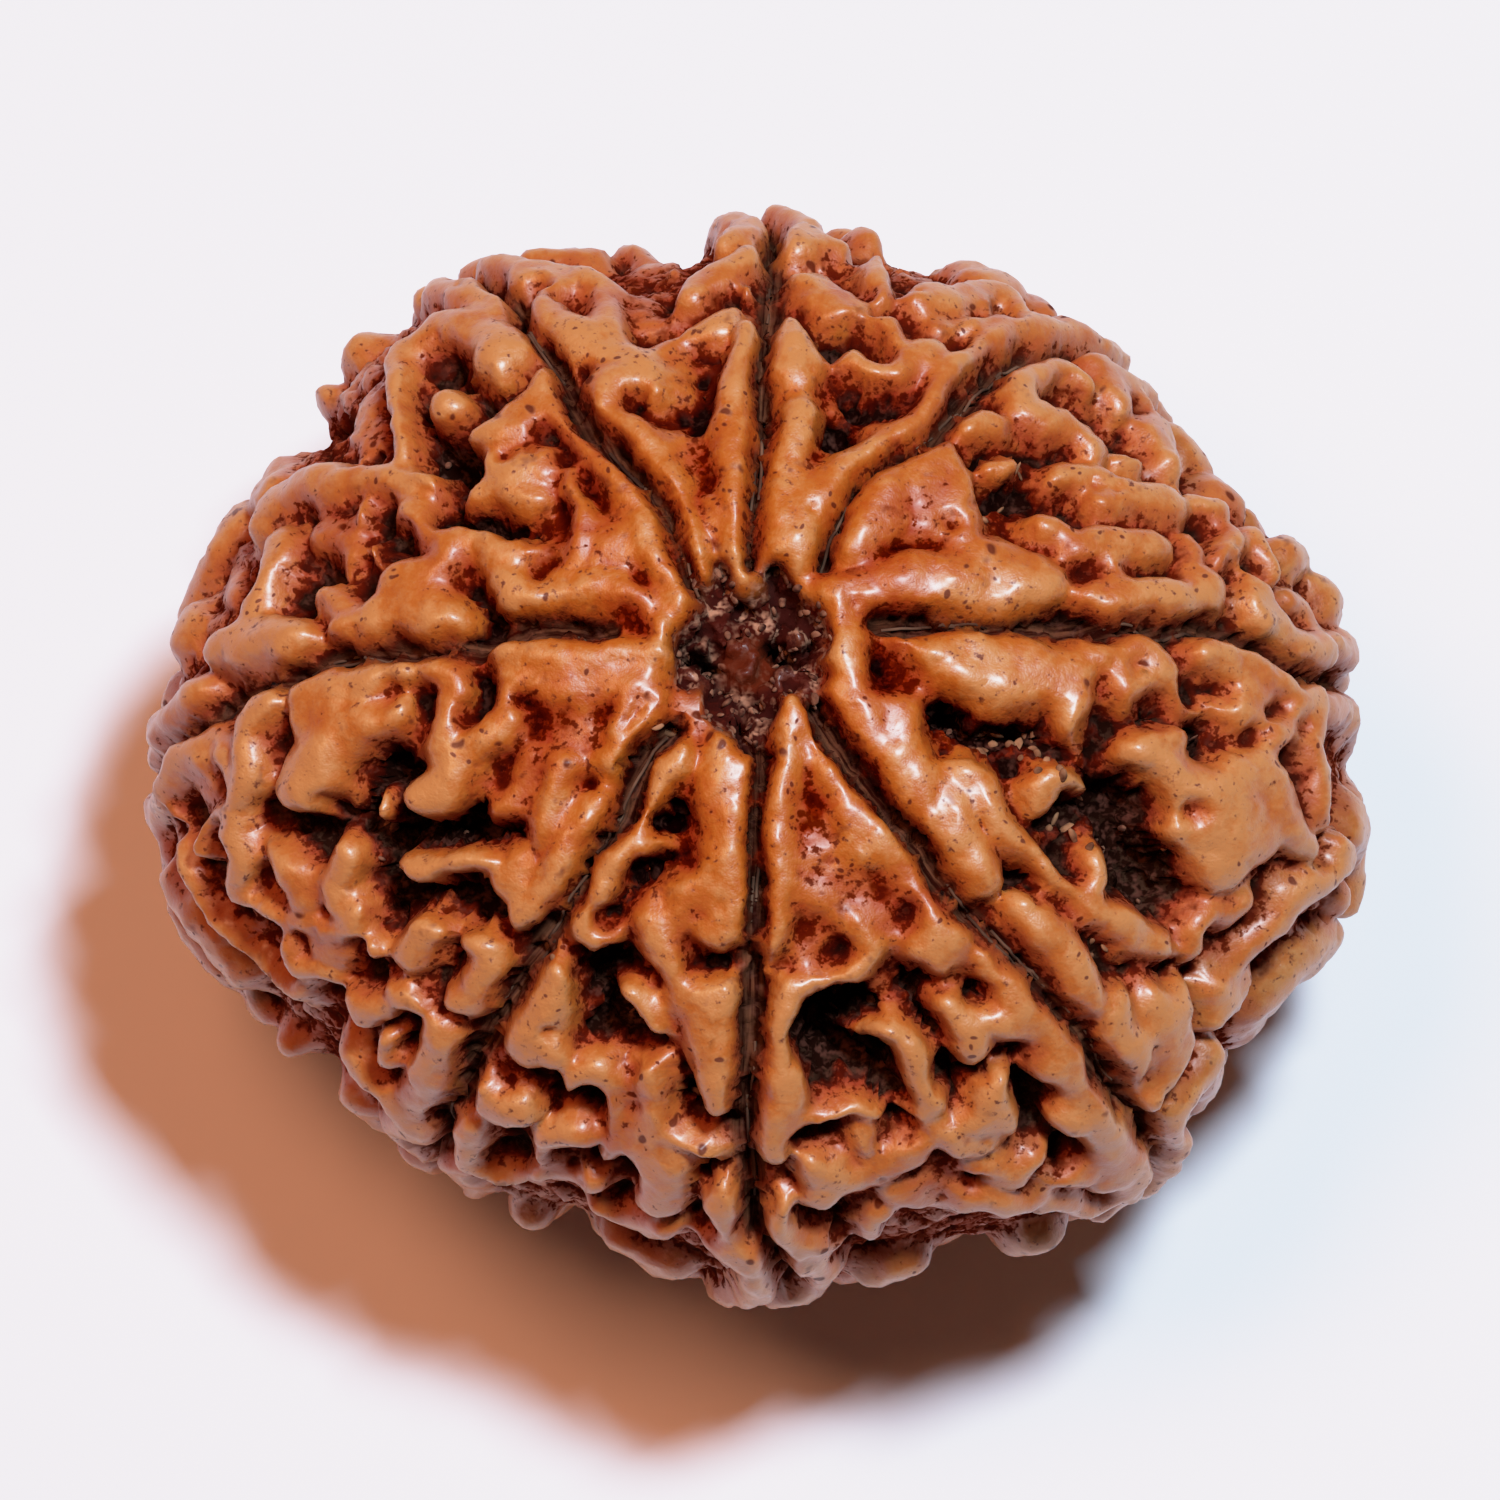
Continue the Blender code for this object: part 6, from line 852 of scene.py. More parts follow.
@dataclass
class Relief:
    """The stone's relief: the height of its surface against the outer form, in millimetres."""

    layout: Layout
    fold_depth_rim: float = 0.74
    fold_depth_pole: float = 0.36
    shallow_radius: float = 2.0
    deep_radius: float = 7.0
    fold_spread: float = 1.36
    fold_fullness: float = 2.5
    fold_blend: float = 0.05
    fold_skirt: float = 1.5
    ripple_wavelength: float = 1.1
    ripple_height: float = 0.06
    warp_wavelength: float = 1.5
    warp: float = 0.06
    groove_depth: float = 1.0
    groove_half_width: float = 0.2
    groove_slope: float = 12.0
    groove_narrowing: float = 0.62
    cut_reach: float = 1.0
    cut_blend: float = 0.08
    pit_slope: float = 4.0
    pit_ground: float = 1.4
    pit_roundness: float = 0.75
    pit_reach: float = 2.0
    pit_margin: float = 0.4
    pit_blend: float = 0.12
    notch_half_width: float = 0.25
    notch_slope: float = 1.8
    notch_lifts: tuple[float, float] = (18.0, -28.0)
    notch_points: int = 6
    seen_edge: float = 0.1
    meridian_step: float = 0.07
    meridian_wander: float = 0.02
    meridian_memory: float = 0.9
    foot_radius: float = 2.9
    foot_fill: float = 1.6
    hollow_edge: float = 1.8
    hollow_floor: float = 0.7
    folds: list[Stroke] = field(default_factory=list)
    hollows: list[Stroke] = field(default_factory=list)
    pole_pit: list[Stroke] = field(default_factory=list)
    grooves: list[Stroke] = field(default_factory=list)
    notches: list[Stroke] = field(default_factory=list)

    def __post_init__(self) -> None:
        """Lays out every stroke once."""
        generator = np.random.default_rng(SEED)
        lay = self.layout.stroke
        self.folds, self.hollows, self.pole_pit = (
            [lay(each.points, each.crest) for each in table] for table in (ALL_FOLDS, HOLLOWS, POLE_PIT))
        self.grooves = [lay(points, -self.groove_depth) for points in GROOVES.values()]
        meridians = [self.far_groove(groove.centres[0], generator) for groove in self.grooves]
        self.notches = [self.notch(math.radians(degrees), depth) for degrees, depth in RIM_NOTCHES]
        self.folds += self.far_folds(meridians, generator)
        self.grooves += meridians

    def far_groove(self, start: np.ndarray, generator: np.random.Generator) -> Stroke:
        """The rest of a groove, down the far side to the foot.

        Args:
            start: The groove's last place on the seen side.
            generator: The seeded source of its wander.

        Returns:
            The stretch of groove.
        """
        azimuth = math.atan2(start[1], start[0])
        low = math.atan2(start[2], math.hypot(start[0], start[1]))
        foot = self.foot_radius / self.layout.form.lower_height - math.pi / 2.0
        wander = 0.0
        aims = []
        for lift in np.arange(low, foot, -self.meridian_step):
            turn = azimuth + wander
            aims.append((math.cos(lift) * math.cos(turn), math.cos(lift) * math.sin(turn), math.sin(lift)))
            wander = self.meridian_memory * wander + generator.normal(0.0, self.meridian_wander)
        centres = self.layout.form.drawn_onto(np.array(aims))
        return Stroke(centres, np.full(len(centres), self.groove_half_width), -self.groove_depth)

    def notch(self, azimuth: float, depth: float) -> Stroke:
        """A gap in the widest belt.

        Args:
            azimuth: Its angle from +X, in radians.
            depth: How far it is sunk below the form.

        Returns:
            The notch's centreline.
        """
        lifts = np.radians(np.linspace(*self.notch_lifts, self.notch_points))
        flat = np.cos(lifts)
        aims = np.stack([flat * math.cos(azimuth), flat * math.sin(azimuth), np.sin(lifts)], axis=1)
        centres = self.layout.form.drawn_onto(aims)
        return Stroke(centres, np.full(len(centres), self.notch_half_width), -depth)

    def far_folds(self, meridians: list[Stroke], generator: np.random.Generator) -> list[Stroke]:
        """The folds of the far side and the underside.

        Args:
            meridians: The grooves of the far side.
            generator: The seeded source of the folds.

        Returns:
            The new folds.
        """
        growth = FoldGrowth(self.layout.form, generator)
        for stroke in self.folds + self.grooves + meridians + self.notches:
            growth.take(stroke.centres, stroke.half_widths)
        for across, up, radius, _ in PITS:
            growth.take(self.layout.onto_form([(across, up)]), np.array([radius]))
        for meridian in meridians:
            growth.add_lips(meridian.centres)
        index = np.arange(growth.tries) + 0.5
        lift = np.arcsin(1.0 - 2.0 * index / growth.tries)
        turn = math.pi * (1.0 + math.sqrt(5.0)) * index
        aims = np.stack([np.cos(lift) * np.cos(turn), np.cos(lift) * np.sin(turn), np.sin(lift)], axis=1)
        candidates = self.layout.form.drawn_onto(aims)
        for place in generator.permutation(candidates[self.layout.facing(candidates) < self.seen_edge]):
            growth.grow(place)
        return growth.strokes

    def ground_depth(self, places: np.ndarray) -> np.ndarray:
        """Depth of the ground between folds, with its unevenness.

        Args:
            places: Places on the form.

        Returns:
            Depths below the form: shallow by the upper pole and full towards the rim.
        """
        out = np.hypot(places[:, 0], places[:, 1]) - self.shallow_radius
        spread = np.clip(out / (self.deep_radius - self.shallow_radius), 0.0, 1.0)
        spread = np.where(places[:, 2] > 0.0, spread, 1.0)
        depth = self.fold_depth_pole + (self.fold_depth_rim - self.fold_depth_pole) * spread
        depth += ripple(places, np.random.default_rng(SEED + 1), self.ripple_wavelength, self.ripple_height)
        for hollow in self.hollows:
            near = near_stroke(places, hollow.centres, self.hollow_edge * hollow.half_widths.max())
            share = stroke_share(places[near], hollow.centres, hollow.half_widths)
            bowl = np.clip((self.hollow_edge - share) / (self.hollow_edge - self.hollow_floor), 0.0, 1.0)
            bowl = bowl * bowl * (3.0 - 2.0 * bowl)
            depth[near] = np.maximum(depth[near], depth[near] - (hollow.level + depth[near]) * bowl)
        return depth

    def add_fold(self, height: np.ndarray, depth: np.ndarray, places: np.ndarray, stroke: Stroke) -> None:
        """Raises one fold over the ground.

        Args:
            height: The heights so far, which are changed.
            depth: The ground's depth.
            places: Places on the form.
            stroke: The fold's centreline, half widths and crest.
        """
        wide = stroke.half_widths * self.fold_spread
        near = near_stroke(places, stroke.centres, wide.max() + self.fold_blend)
        share = stroke_share(places[near], stroke.centres, wide)
        section = np.clip(1.0 - share ** self.fold_fullness, 0.0, 1.0) ** (1.0 / self.fold_fullness)
        outside = np.clip(share - 1.0, 0.0, None) * self.fold_skirt
        raised = -depth[near] + (stroke.level + depth[near]) * section - outside
        height[near] = smooth_max(height[near], raised, self.fold_blend)

    def cut_stroke(self, height: np.ndarray, places: np.ndarray, stroke: Stroke, slope: float,
                   narrowing: float = 1.0) -> None:
        """Cuts one groove, notch or part of the pole's pit with a flat floor.

        Args:
            height: The heights so far, which are changed.
            places: Places on the form.
            stroke: The cut's centreline, half widths and floor.
            slope: How steeply its sides rise.
            narrowing: The share of the stroke's half width that is cut.
        """
        near = near_stroke(places, stroke.centres, self.cut_reach)
        half_widths = stroke.half_widths * narrowing
        share = stroke_share(places[near], stroke.centres, half_widths)
        wall = np.clip(share - 1.0, 0.0, None) * half_widths.mean()
        height[near] = -smooth_max(-height[near], -(stroke.level + slope * wall), self.cut_blend)

    def cut_pit(self, height: np.ndarray, places: np.ndarray, pit: tuple[float, float, float, float]) -> None:
        """Sinks one rounded pit.

        Args:
            height: The heights so far, which are changed.
            places: Places on the form.
            pit: Its place across and up the layout, its radius and its depth.
        """
        across, up, radius, depth = pit
        centre = self.layout.onto_form([(across, up)])
        near = near_stroke(places, centre, self.pit_reach * radius + self.pit_margin)
        share = np.linalg.norm(places[near] - centre[0], axis=1) / radius
        bowl = depth - self.pit_roundness * depth * share ** 2
        height[near] = -smooth_max(-height[near], bowl, self.pit_blend)

    def heights(self, places: np.ndarray) -> np.ndarray:
        """The whole relief.

        Args:
            places: Places on the form.

        Returns:
            The surface's height against the form at each place.
        """
        generator = np.random.default_rng(SEED + 2)
        bends = [ripple(places, generator, self.warp_wavelength, self.warp) for _ in range(3)]
        places = self.layout.form.drawn_onto(places + np.stack(bends, axis=1))
        depth = self.ground_depth(places)
        height = -depth
        for stroke in self.folds:
            self.add_fold(height, depth, places, stroke)
        for stroke in self.grooves:
            self.cut_stroke(height, places, stroke, self.groove_slope, self.groove_narrowing)
        for stroke in self.notches:
            self.cut_stroke(height, places, stroke, self.notch_slope)
        for stroke in self.pole_pit:
            self.cut_stroke(height, places, stroke, self.pit_slope)
        pit_ground = np.full(len(places), self.pit_ground)
        for bump in PITH_BUMPS:
            self.add_fold(height, pit_ground, places, self.layout.stroke(bump.points, bump.crest))
        for pit in PITS:
            self.cut_pit(height, places, pit)
        out = np.hypot(places[:, 0], places[:, 1]) / self.foot_radius
        filled = np.clip(self.foot_fill - out, 0.0, 1.0) * (places[:, 2] < 0.0)
        return height * (1.0 - filled)


class Tone(Enum):
    """The seed stone's colours: painted shade on its sunk ground, creases and flanks, its body colour, painted light on
    its crests, a paler tan for its rim, and the colours of its stains and floors, with painted shade in the pit's
    slits.
    """

    # Painted shade, from the deepest ground through the creases to the flanks.
    DEEP_SHADE = "#1A0405"
    CREASE = "#5A0E02"
    FLANK_SHADE = "#8A2603"
    BODY = "#A04408"
    # Painted light on the crests and bulges.
    CREST_LIGHT = "#AE5C18"
    BULGE_LIGHT = "#BA7840"
    # A paler tan laid on towards the widest belt.
    RIM_TAN = "#B98C68"
    STAIN = "#743230"
    GROOVE_FLOOR = "#2C0D07"
    GROOVE_FIBRE = "#7A4C34"
    HOLLOW_BITS = "#6B4034"
    PIT_FLOOR = "#35130F"
    PIT_CRUMB = "#B5856A"
    PIT_BOSS = "#561F0E"
    # Near-black painted shade in the slits beside the pit's boss.
    PIT_SLIT_SHADE = "#0A0202"


class Graph:
    """A node tree, and the one way to add to it."""

    tree: bpy.types.NodeTree

    def node(self, kind: str, inputs: Any = (), out: int | str = 0, stops: tuple[tuple[float, str], ...] = (),
             **settings: Any) -> Socket | None:
        """Adds a node with its settings, values and links.

        Args:
            kind: The node's type name.
            inputs: Its inputs in order, or by name or number, each a value or the socket that feeds it.
            out: The output that is wanted.
            stops: The places and hex colours of a colour ramp.
            settings: The node's own properties.

        Returns:
            The wanted output, or nothing where the node has none.
        """
        node = self.tree.nodes.new(kind)
        for name, value in settings.items():
            setattr(node, name, value)
        for key, value in (inputs if isinstance(inputs, dict) else dict(enumerate(inputs))).items():
            if isinstance(value, Socket):
                self.tree.links.new(value, node.inputs[key])
            else:
                node.inputs[key].default_value = value
        for index, (place, colour) in enumerate(stops):
            elements = node.color_ramp.elements
            element = elements[index] if index < 2 else elements.new(place)
            element.position = place
            element.color = linear(colour)
        return node.outputs[out] if len(node.outputs) else None


# A cloudy pattern swings by half its depth each way, so the depth counts twice.
CLOUD_SWING = 2.0


@dataclass(frozen=True)
class Cloud:
    """A cloudy pattern: its patches' spacing in millimetres, and how many and how strong its finer layers are."""

    size: float
    detail: float = 2.0
    rough: float = 0.6


class MaterialGraph(Graph):
    """A new material's node tree, with each point's place in millimetres."""

    def __init__(self, name: str) -> None:
        """Starts the material.

        Args:
            name: The material's name.
        """
        self.material = bpy.data.materials.new(name)
        self.material.use_nodes = True
        self.tree = self.material.node_tree
        self.tree.nodes.clear()
        spot = self.node("ShaderNodeTexCoord", out="Object")
        self.place = self.node("ShaderNodeVectorMath", (spot, (1.0 / MM,) * 3), operation="MULTIPLY")

    def swing(self, cloud: Cloud) -> Socket:
        """The cloudy pattern, swinging about zero.

        Args:
            cloud: The pattern.

        Returns:
            The pattern's socket.
        """
        shade = self.node("ShaderNodeTexNoise", {"Vector": self.place, "Scale": 1.0 / cloud.size,
                                                 "Detail": cloud.detail, "Roughness": cloud.rough})
        return self.node("ShaderNodeMath", (shade, 0.5), operation="SUBTRACT")

    def total(self, base: float, *parts: tuple[Socket, float]) -> Socket:
        """The base with each part added at its own strength.

        Args:
            base: The value to start from.
            parts: Pairs of a socket and its strength.

        Returns:
            The total's socket.
        """
        total: Any = base
        for socket, strength in parts:
            total = self.node("ShaderNodeMath", (socket, strength, total), operation="MULTIPLY_ADD")
        return total

    def laid(self, colour: Socket, second: str, most: float, *shares: Socket, way: str = "MIX") -> Socket:
        """A colour with a second one laid over it.

        Args:
            colour: The first colour.
            second: The second colour's hex value.
            most: The second colour's share where it is fullest.
            shares: Where the second colour lies: where all of these do.
            way: The name of the way they mix.

        Returns:
            The mixed colour's socket.
        """
        part = shares[0]
        for share in (*shares[1:], most):
            part = self.node("ShaderNodeMath", (part, share), operation="MULTIPLY", use_clamp=True)
        return self.node("ShaderNodeMix", {0: part, 6: colour, 7: linear(second)}, 2, data_type="RGBA",
                         blend_type=way)

    def finished(self, surface: dict[str, Any]) -> bpy.types.Material:
        """The material, with its surface made from values and sockets by name."""
        self.node("ShaderNodeOutputMaterial", (self.node("ShaderNodeBsdfPrincipled", surface),))
        return self.material


@dataclass(frozen=True)
class SeedStoneFinish:
    """Dry, hand-oiled seed stone: hard woody shell, with painted light on its crests, painted shade in its creases,
    hollows and flanks, and dirt stains gathered where it is darker.

    Sizes are in millimetres. A change of one value with another is (from, to, value there, value there).
    """

    mottle: Cloud = Cloud(1.8)
    grain: Cloud = Cloud(0.32, 3.0, 0.7)
    crumb: Cloud = Cloud(0.3, 2.0, 0.7)
    clump: Cloud = Cloud(0.75, 1.0)
    bump_depth: float = 0.05
    bump_strength: float = 0.8
    ior: float = 1.5
    coat_rough: float = 0.28
    coat_ior: float = 1.47
    # Sunk hollows and fold flanks, by height below the outer form: the tone darkens both with painted shade, and the
    # hollow bits lie in the sunk ones.
    sunk: tuple[float, ...] = (-0.6, -1.55, 0.0, 1.0)
    flank_shade: tuple[float, ...] = (-0.05, -0.55, 0.0, 1.0)
    rim: tuple[float, ...] = (4.0, 11.5, 0.0, 1.0)
    # The tone adds the shell's own mottle and grain to painted light on bulging crests and painted shade in creases,
    # sunk hollows and flanks, and rises a little towards the rim.
    base_tone: float = 0.64
    light_shade_and_tone_parts: tuple[tuple[str, float], ...] = (
        ("ridge", 0.7), ("crease", 1.65), ("sunk", -0.8), ("mottle", 0.8), ("grain", 0.5), ("rim", 0.1),
        ("flank_shade", -0.06))
    # The ramp runs from painted shade through the body colour to painted light.
    lit_and_shaded_tones: tuple[tuple[float, Tone], ...] = (
        (0.0, Tone.DEEP_SHADE), (0.2, Tone.CREASE), (0.42, Tone.FLANK_SHADE), (0.64, Tone.BODY), (0.84, Tone.CREST_LIGHT),
        (1.0, Tone.BULGE_LIGHT))
    rim_share: float = 0.12
    stain_share: float = 0.85
    rough: tuple[float, ...] = (0.2, 0.75, 0.95, 0.45)
    rough_grain: float = 0.3
    rough_stains: float = 0.3
    stain_wear: float = 0.35
    shine: tuple[float, ...] = (0.2, 0.7, 0.0, 0.4)
    oil: tuple[float, ...] = (0.45, 0.82, 0.0, 0.48)
    dirt: tuple[float, ...] = (0.8, 0.35, 0.0, 0.28)
    blotches: tuple[Point, ...] = ((0.42, 0.16, 0.24), (0.168, 0.14, 0.12))
    blotch_mottle: float = 0.3
    pores: tuple[Point, ...] = ((0.36, 0.065, 0.03), (0.75, 0.13, 0.01))
    pore_bend: float = 0.25
    pore_bend_scale: float = 3.0
    pore_patch: float = 4.0
    pore_dirt: float = 0.3
    pore_growth: float = 0.1
    pore_edge: tuple[float, float] = (-0.01, 0.06)
    fibre_streaks: tuple[float, float] = (0.42, 0.66)
    crumb_levels: tuple[float, float] = (0.0, 0.14)
    clump_levels: tuple[float, float] = (-0.14, 0.05)
    floor_tones: tuple[tuple[Tone, float], ...] = (
        (Tone.GROOVE_FLOOR, 0.75), (Tone.GROOVE_FIBRE, 0.6), (Tone.HOLLOW_BITS, 0.5), (Tone.PIT_FLOOR, 0.85),
        (Tone.PIT_CRUMB, 0.8), (Tone.PIT_BOSS, 0.85), (Tone.PIT_SLIT_SHADE, 0.95))

    def material(self) -> bpy.types.Material:
        """Makes the oiled seed stone.

        Returns:
            The material.
        """
        graph = MaterialGraph("oiled_seed_stone")
        node = graph.node
        height = self.mark(graph, "relief_height")
        out = node("ShaderNodeVectorMath", (graph.place, (1.0, 1.0, 0.0)), operation="MULTIPLY")
        out = node("ShaderNodeVectorMath", (out,), "Value", operation="LENGTH")
        value = {
            "ridge": self.mark(graph, "ridge"),
            "crease": node("ShaderNodeMath", (self.mark(graph, "crease"), 0.0), operation="MINIMUM"),
            "sunk": node("ShaderNodeMapRange", (height, *self.sunk)),
            "flank_shade": node("ShaderNodeMapRange", (height, *self.flank_shade)),
            "rim": node("ShaderNodeMapRange", (out, *self.rim)),
            "mottle": graph.swing(self.mottle), "grain": graph.swing(self.grain)}
        # Painted light on crests and painted shade in creases, hollows and flanks, over the shell's own mottle and
        # grain.
        tone = graph.total(self.base_tone, *((value[name], strength) for name, strength in self.light_shade_and_tone_parts))
        colour = node("ShaderNodeValToRGB", (tone,), stops=tuple((place, each.value) for place, each in self.lit_and_shaded_tones))
        colour = graph.laid(colour, Tone.RIM_TAN.value, self.rim_share, value["rim"])
        stains = self.stains(graph, value["mottle"], tone)
        colour = graph.laid(colour, Tone.STAIN.value, self.stain_share, stains, way="MULTIPLY")
        rough = node("ShaderNodeMapRange", (tone, *self.rough))
        rubbed = graph.total(0.0, (tone, 1.0), (stains, -self.stain_wear))
        return graph.finished({
            "Base Color": self.floors(graph, colour, value["sunk"]),
            "Roughness": graph.total(0.0, (rough, 1.0), (value["grain"], self.rough_grain),
                                     (stains, self.rough_stains)),
            "Normal": node("ShaderNodeBump", {"Height": value["grain"], "Strength": self.bump_strength,
                                              "Distance": self.bump_depth * MM}),
            "Specular IOR Level": node("ShaderNodeMapRange", (rubbed, *self.shine)), "IOR": self.ior,
            "Coat Weight": node("ShaderNodeMapRange", (rubbed, *self.oil)), "Coat Roughness": self.coat_rough,
            "Coat IOR": self.coat_ior})

    def mark(self, graph: MaterialGraph, name: str) -> Socket:
        """The stone's own attribute of that name."""
        return graph.node("ShaderNodeAttribute", out="Fac", attribute_name=name)

    def stains(self, graph: MaterialGraph, mottle: Socket, tone: Socket) -> Socket:
        """Small dark pores and blotches where dirt has stayed in the shell, gathered in loose patches.

        Args:
            graph: The material's graph.
            mottle: The cloudy pattern that gathers them.
            tone: The surface's tone, which is dirtier where it is darker.

        Returns:
            1 inside a pore or a blotch and 0 outside.
        """
        node = graph.node
        dirt = node("ShaderNodeMapRange", (tone, *self.dirt))
        spots = []
        for size, low, soft in self.blotches:
            level = graph.total(0.0, (graph.swing(Cloud(size)), 1.0), (mottle, self.blotch_mottle), (dirt, 1.0))
            spots.append(node("ShaderNodeMapRange", (level, low, low + soft)))
        bent = node("ShaderNodeTexNoise", {"Vector": graph.place, "Scale": self.pore_bend_scale, "Detail": 0.0}, 1)
        bent = node("ShaderNodeVectorMath", (bent, (self.pore_bend,) * 3, graph.place), operation="MULTIPLY_ADD")
        for spacing, radius, gathered in self.pores:
            cells = node("ShaderNodeTexVoronoi", {"Vector": bent, "Scale": 1.0 / spacing}, "Distance")
            patch = graph.swing(Cloud(self.pore_patch * spacing, 0.0, 0.5))
            wide = graph.total(-gathered, (patch, 1.0), (dirt, self.pore_dirt))
            wide = node("ShaderNodeMapRange", (wide, 0.0, self.pore_growth, 0.0, radius / spacing))
            inside = node("ShaderNodeMath", (wide, cells), operation="SUBTRACT")
            spots.append(node("ShaderNodeMapRange", (inside, *self.pore_edge)))
        total: Any = 0.0
        for spot in spots:
            total = node("ShaderNodeMath", (spot, total), operation="MAXIMUM")
        return total

    def floors(self, graph: MaterialGraph, colour: Socket, sunk: Socket) -> Socket:
        """Lays a dark colour with paler fibre streaks over the floors of the grooves, dark pith over pit and hollows,
        and near-black painted shade in the slits beside the pit's boss.

        Args:
            graph: The material's graph.
            colour: The shell's colour.
            sunk: How deep the place lies, from 0 to 1.

        Returns:
            The new colour.
        """
        node = graph.node
        floor, pit = self.mark(graph, "groove"), self.mark(graph, "pit")
        flow = node("ShaderNodeAttribute", out="Vector", attribute_name="groove_flow")
        fibres = node("ShaderNodeTexNoise", {"Vector": flow, "Scale": 1.0, "Detail": 2.0, "Roughness": 0.6})
        streaks = node("ShaderNodeMapRange", (fibres, *self.fibre_streaks))
        crumb = node("ShaderNodeMapRange", (graph.swing(self.crumb), *self.crumb_levels))
        clump = node("ShaderNodeMapRange", (graph.swing(self.clump), *self.clump_levels))
        boss, slit_shade = self.mark(graph, "pit_boss"), self.mark(graph, "pit_slit_shade")
        where = ((floor,), (floor, streaks), (sunk, crumb), (pit,), (pit, crumb, clump), (boss,), (slit_shade,))
        for (second, most), shares in zip(self.floor_tones, where):
            colour = graph.laid(colour, second.value, most, *shares)
        return colour


@dataclass(frozen=True)
class DryFibreFinish:
    """Dry plant fibre: a dull, rough strand whose colour drifts along it."""

    name: str
    dark: str
    pale: str
    patch: float
    stops: tuple[float, float] = (0.35, 0.65)
    bump_depth: float = 0.02
    rough: float = 0.9
    shine: float = 0.15
    ior: float = 1.45

    def material(self) -> bpy.types.Material:
        """Makes the dry fibre.

        Returns:
            The material.
        """
        graph = MaterialGraph(self.name)
        cloud = graph.node("ShaderNodeTexNoise", {"Vector": graph.place, "Scale": 1.0 / self.patch, "Detail": 3.0})
        return graph.finished({
            "Base Color": graph.node("ShaderNodeValToRGB", (cloud,),
                                     stops=tuple(zip(self.stops, (self.dark, self.pale)))),
            "Normal": graph.node("ShaderNodeBump", {"Height": cloud, "Distance": self.bump_depth * MM}),
            "Roughness": self.rough, "Specular IOR Level": self.shine, "IOR": self.ior})


class GeometryGraph(Graph):
    """A Geometry Nodes tree with named inputs and their values, and the way to run it on an object."""

    def __init__(self, name: str, material: bpy.types.Material) -> None:
        """Starts a tree with one geometry in and one out.

        Args:
            name: The name of the piece that the tree makes.
            material: The piece's material.
        """
        self.name = name
        self.material = material
        self.tree = bpy.data.node_groups.new(name, "GeometryNodeTree")
        for way in ("OUTPUT", "INPUT"):
            self.tree.interface.new_socket("Geometry", in_out=way, socket_type="NodeSocketGeometry")
        self.source = self.tree.nodes.new("NodeGroupInput")
        self.values: dict[str, Any] = {}
        self.dress = self.size("Material", material, "NodeSocketMaterial")
        self.seed = self.size("Seed", SEED, "NodeSocketInt")

    def size(self, name: str, value: Any, kind: str = "NodeSocketFloat") -> Socket:
        """A named input of the tree.

        Args:
            name: The input's name.
            value: Its value.
            kind: The input's socket type.

        Returns:
            Its socket inside the tree.
        """
        item = self.tree.interface.new_socket(name, in_out="INPUT", socket_type=kind)
        self.values[item.identifier] = value
        return next(s for s in self.source.outputs if s.identifier == item.identifier)

    def draw(self, low: Any, high: Any, step: int) -> Socket:
        """A random number for each element; the step sets draws with the same seed apart."""
        own = self.node("ShaderNodeMath", (self.seed, float(step)), operation="ADD")
        return self.node("FunctionNodeRandomValue", {2: low, 3: high, "Seed": own}, 1, data_type="FLOAT")

    def run(self, holder: bpy.types.Object, made: Socket) -> bpy.types.Object:
        """Ends the tree with real geometry in its material, runs it and keeps the result as a plain mesh.

        Args:
            holder: The object that holds what the tree starts from, which is removed.
            made: What the tree has made.

        Returns:
            The new piece.
        """
        real = self.node("GeometryNodeRealizeInstances", (made,))
        self.node("NodeGroupOutput", (
            self.node("GeometryNodeSetMaterial", {"Geometry": real, "Material": self.dress}),))
        modifier = holder.modifiers.new(self.name, "NODES")
        modifier.node_group = self.tree
        for key, value in self.values.items():
            modifier[key] = value
        mesh = evaluated_mesh(holder, modifier)
        bpy.data.objects.remove(holder)
        mesh.name = self.name
        mesh.materials.clear()
        mesh.materials.append(self.material)
        mesh.shade_smooth()
        return placed(mesh, self.name)


def evaluated_mesh(holder: bpy.types.Object, modifier: bpy.types.Modifier) -> bpy.types.Mesh:
    """An object's mesh with its modifier applied, as a new mesh.

    Args:
        holder: The object.
        modifier: Its modifier, which is removed.

    Returns:
        The new mesh.
    """
    graph = bpy.context.evaluated_depsgraph_get()
    mesh = bpy.data.meshes.new_from_object(holder.evaluated_get(graph), depsgraph=graph)
    holder.modifiers.remove(modifier)
    return mesh


def placed(mesh: bpy.types.ID, name: str) -> bpy.types.Object:
    """An object at the origin that shows a mesh, a light or a camera.

    Args:
        mesh: The mesh, the light or the camera.
        name: The object's name.

    Returns:
        The object, linked in the scene.
    """
    thing = bpy.data.objects.new(name, mesh)
    bpy.context.scene.collection.objects.link(thing)
    return thing


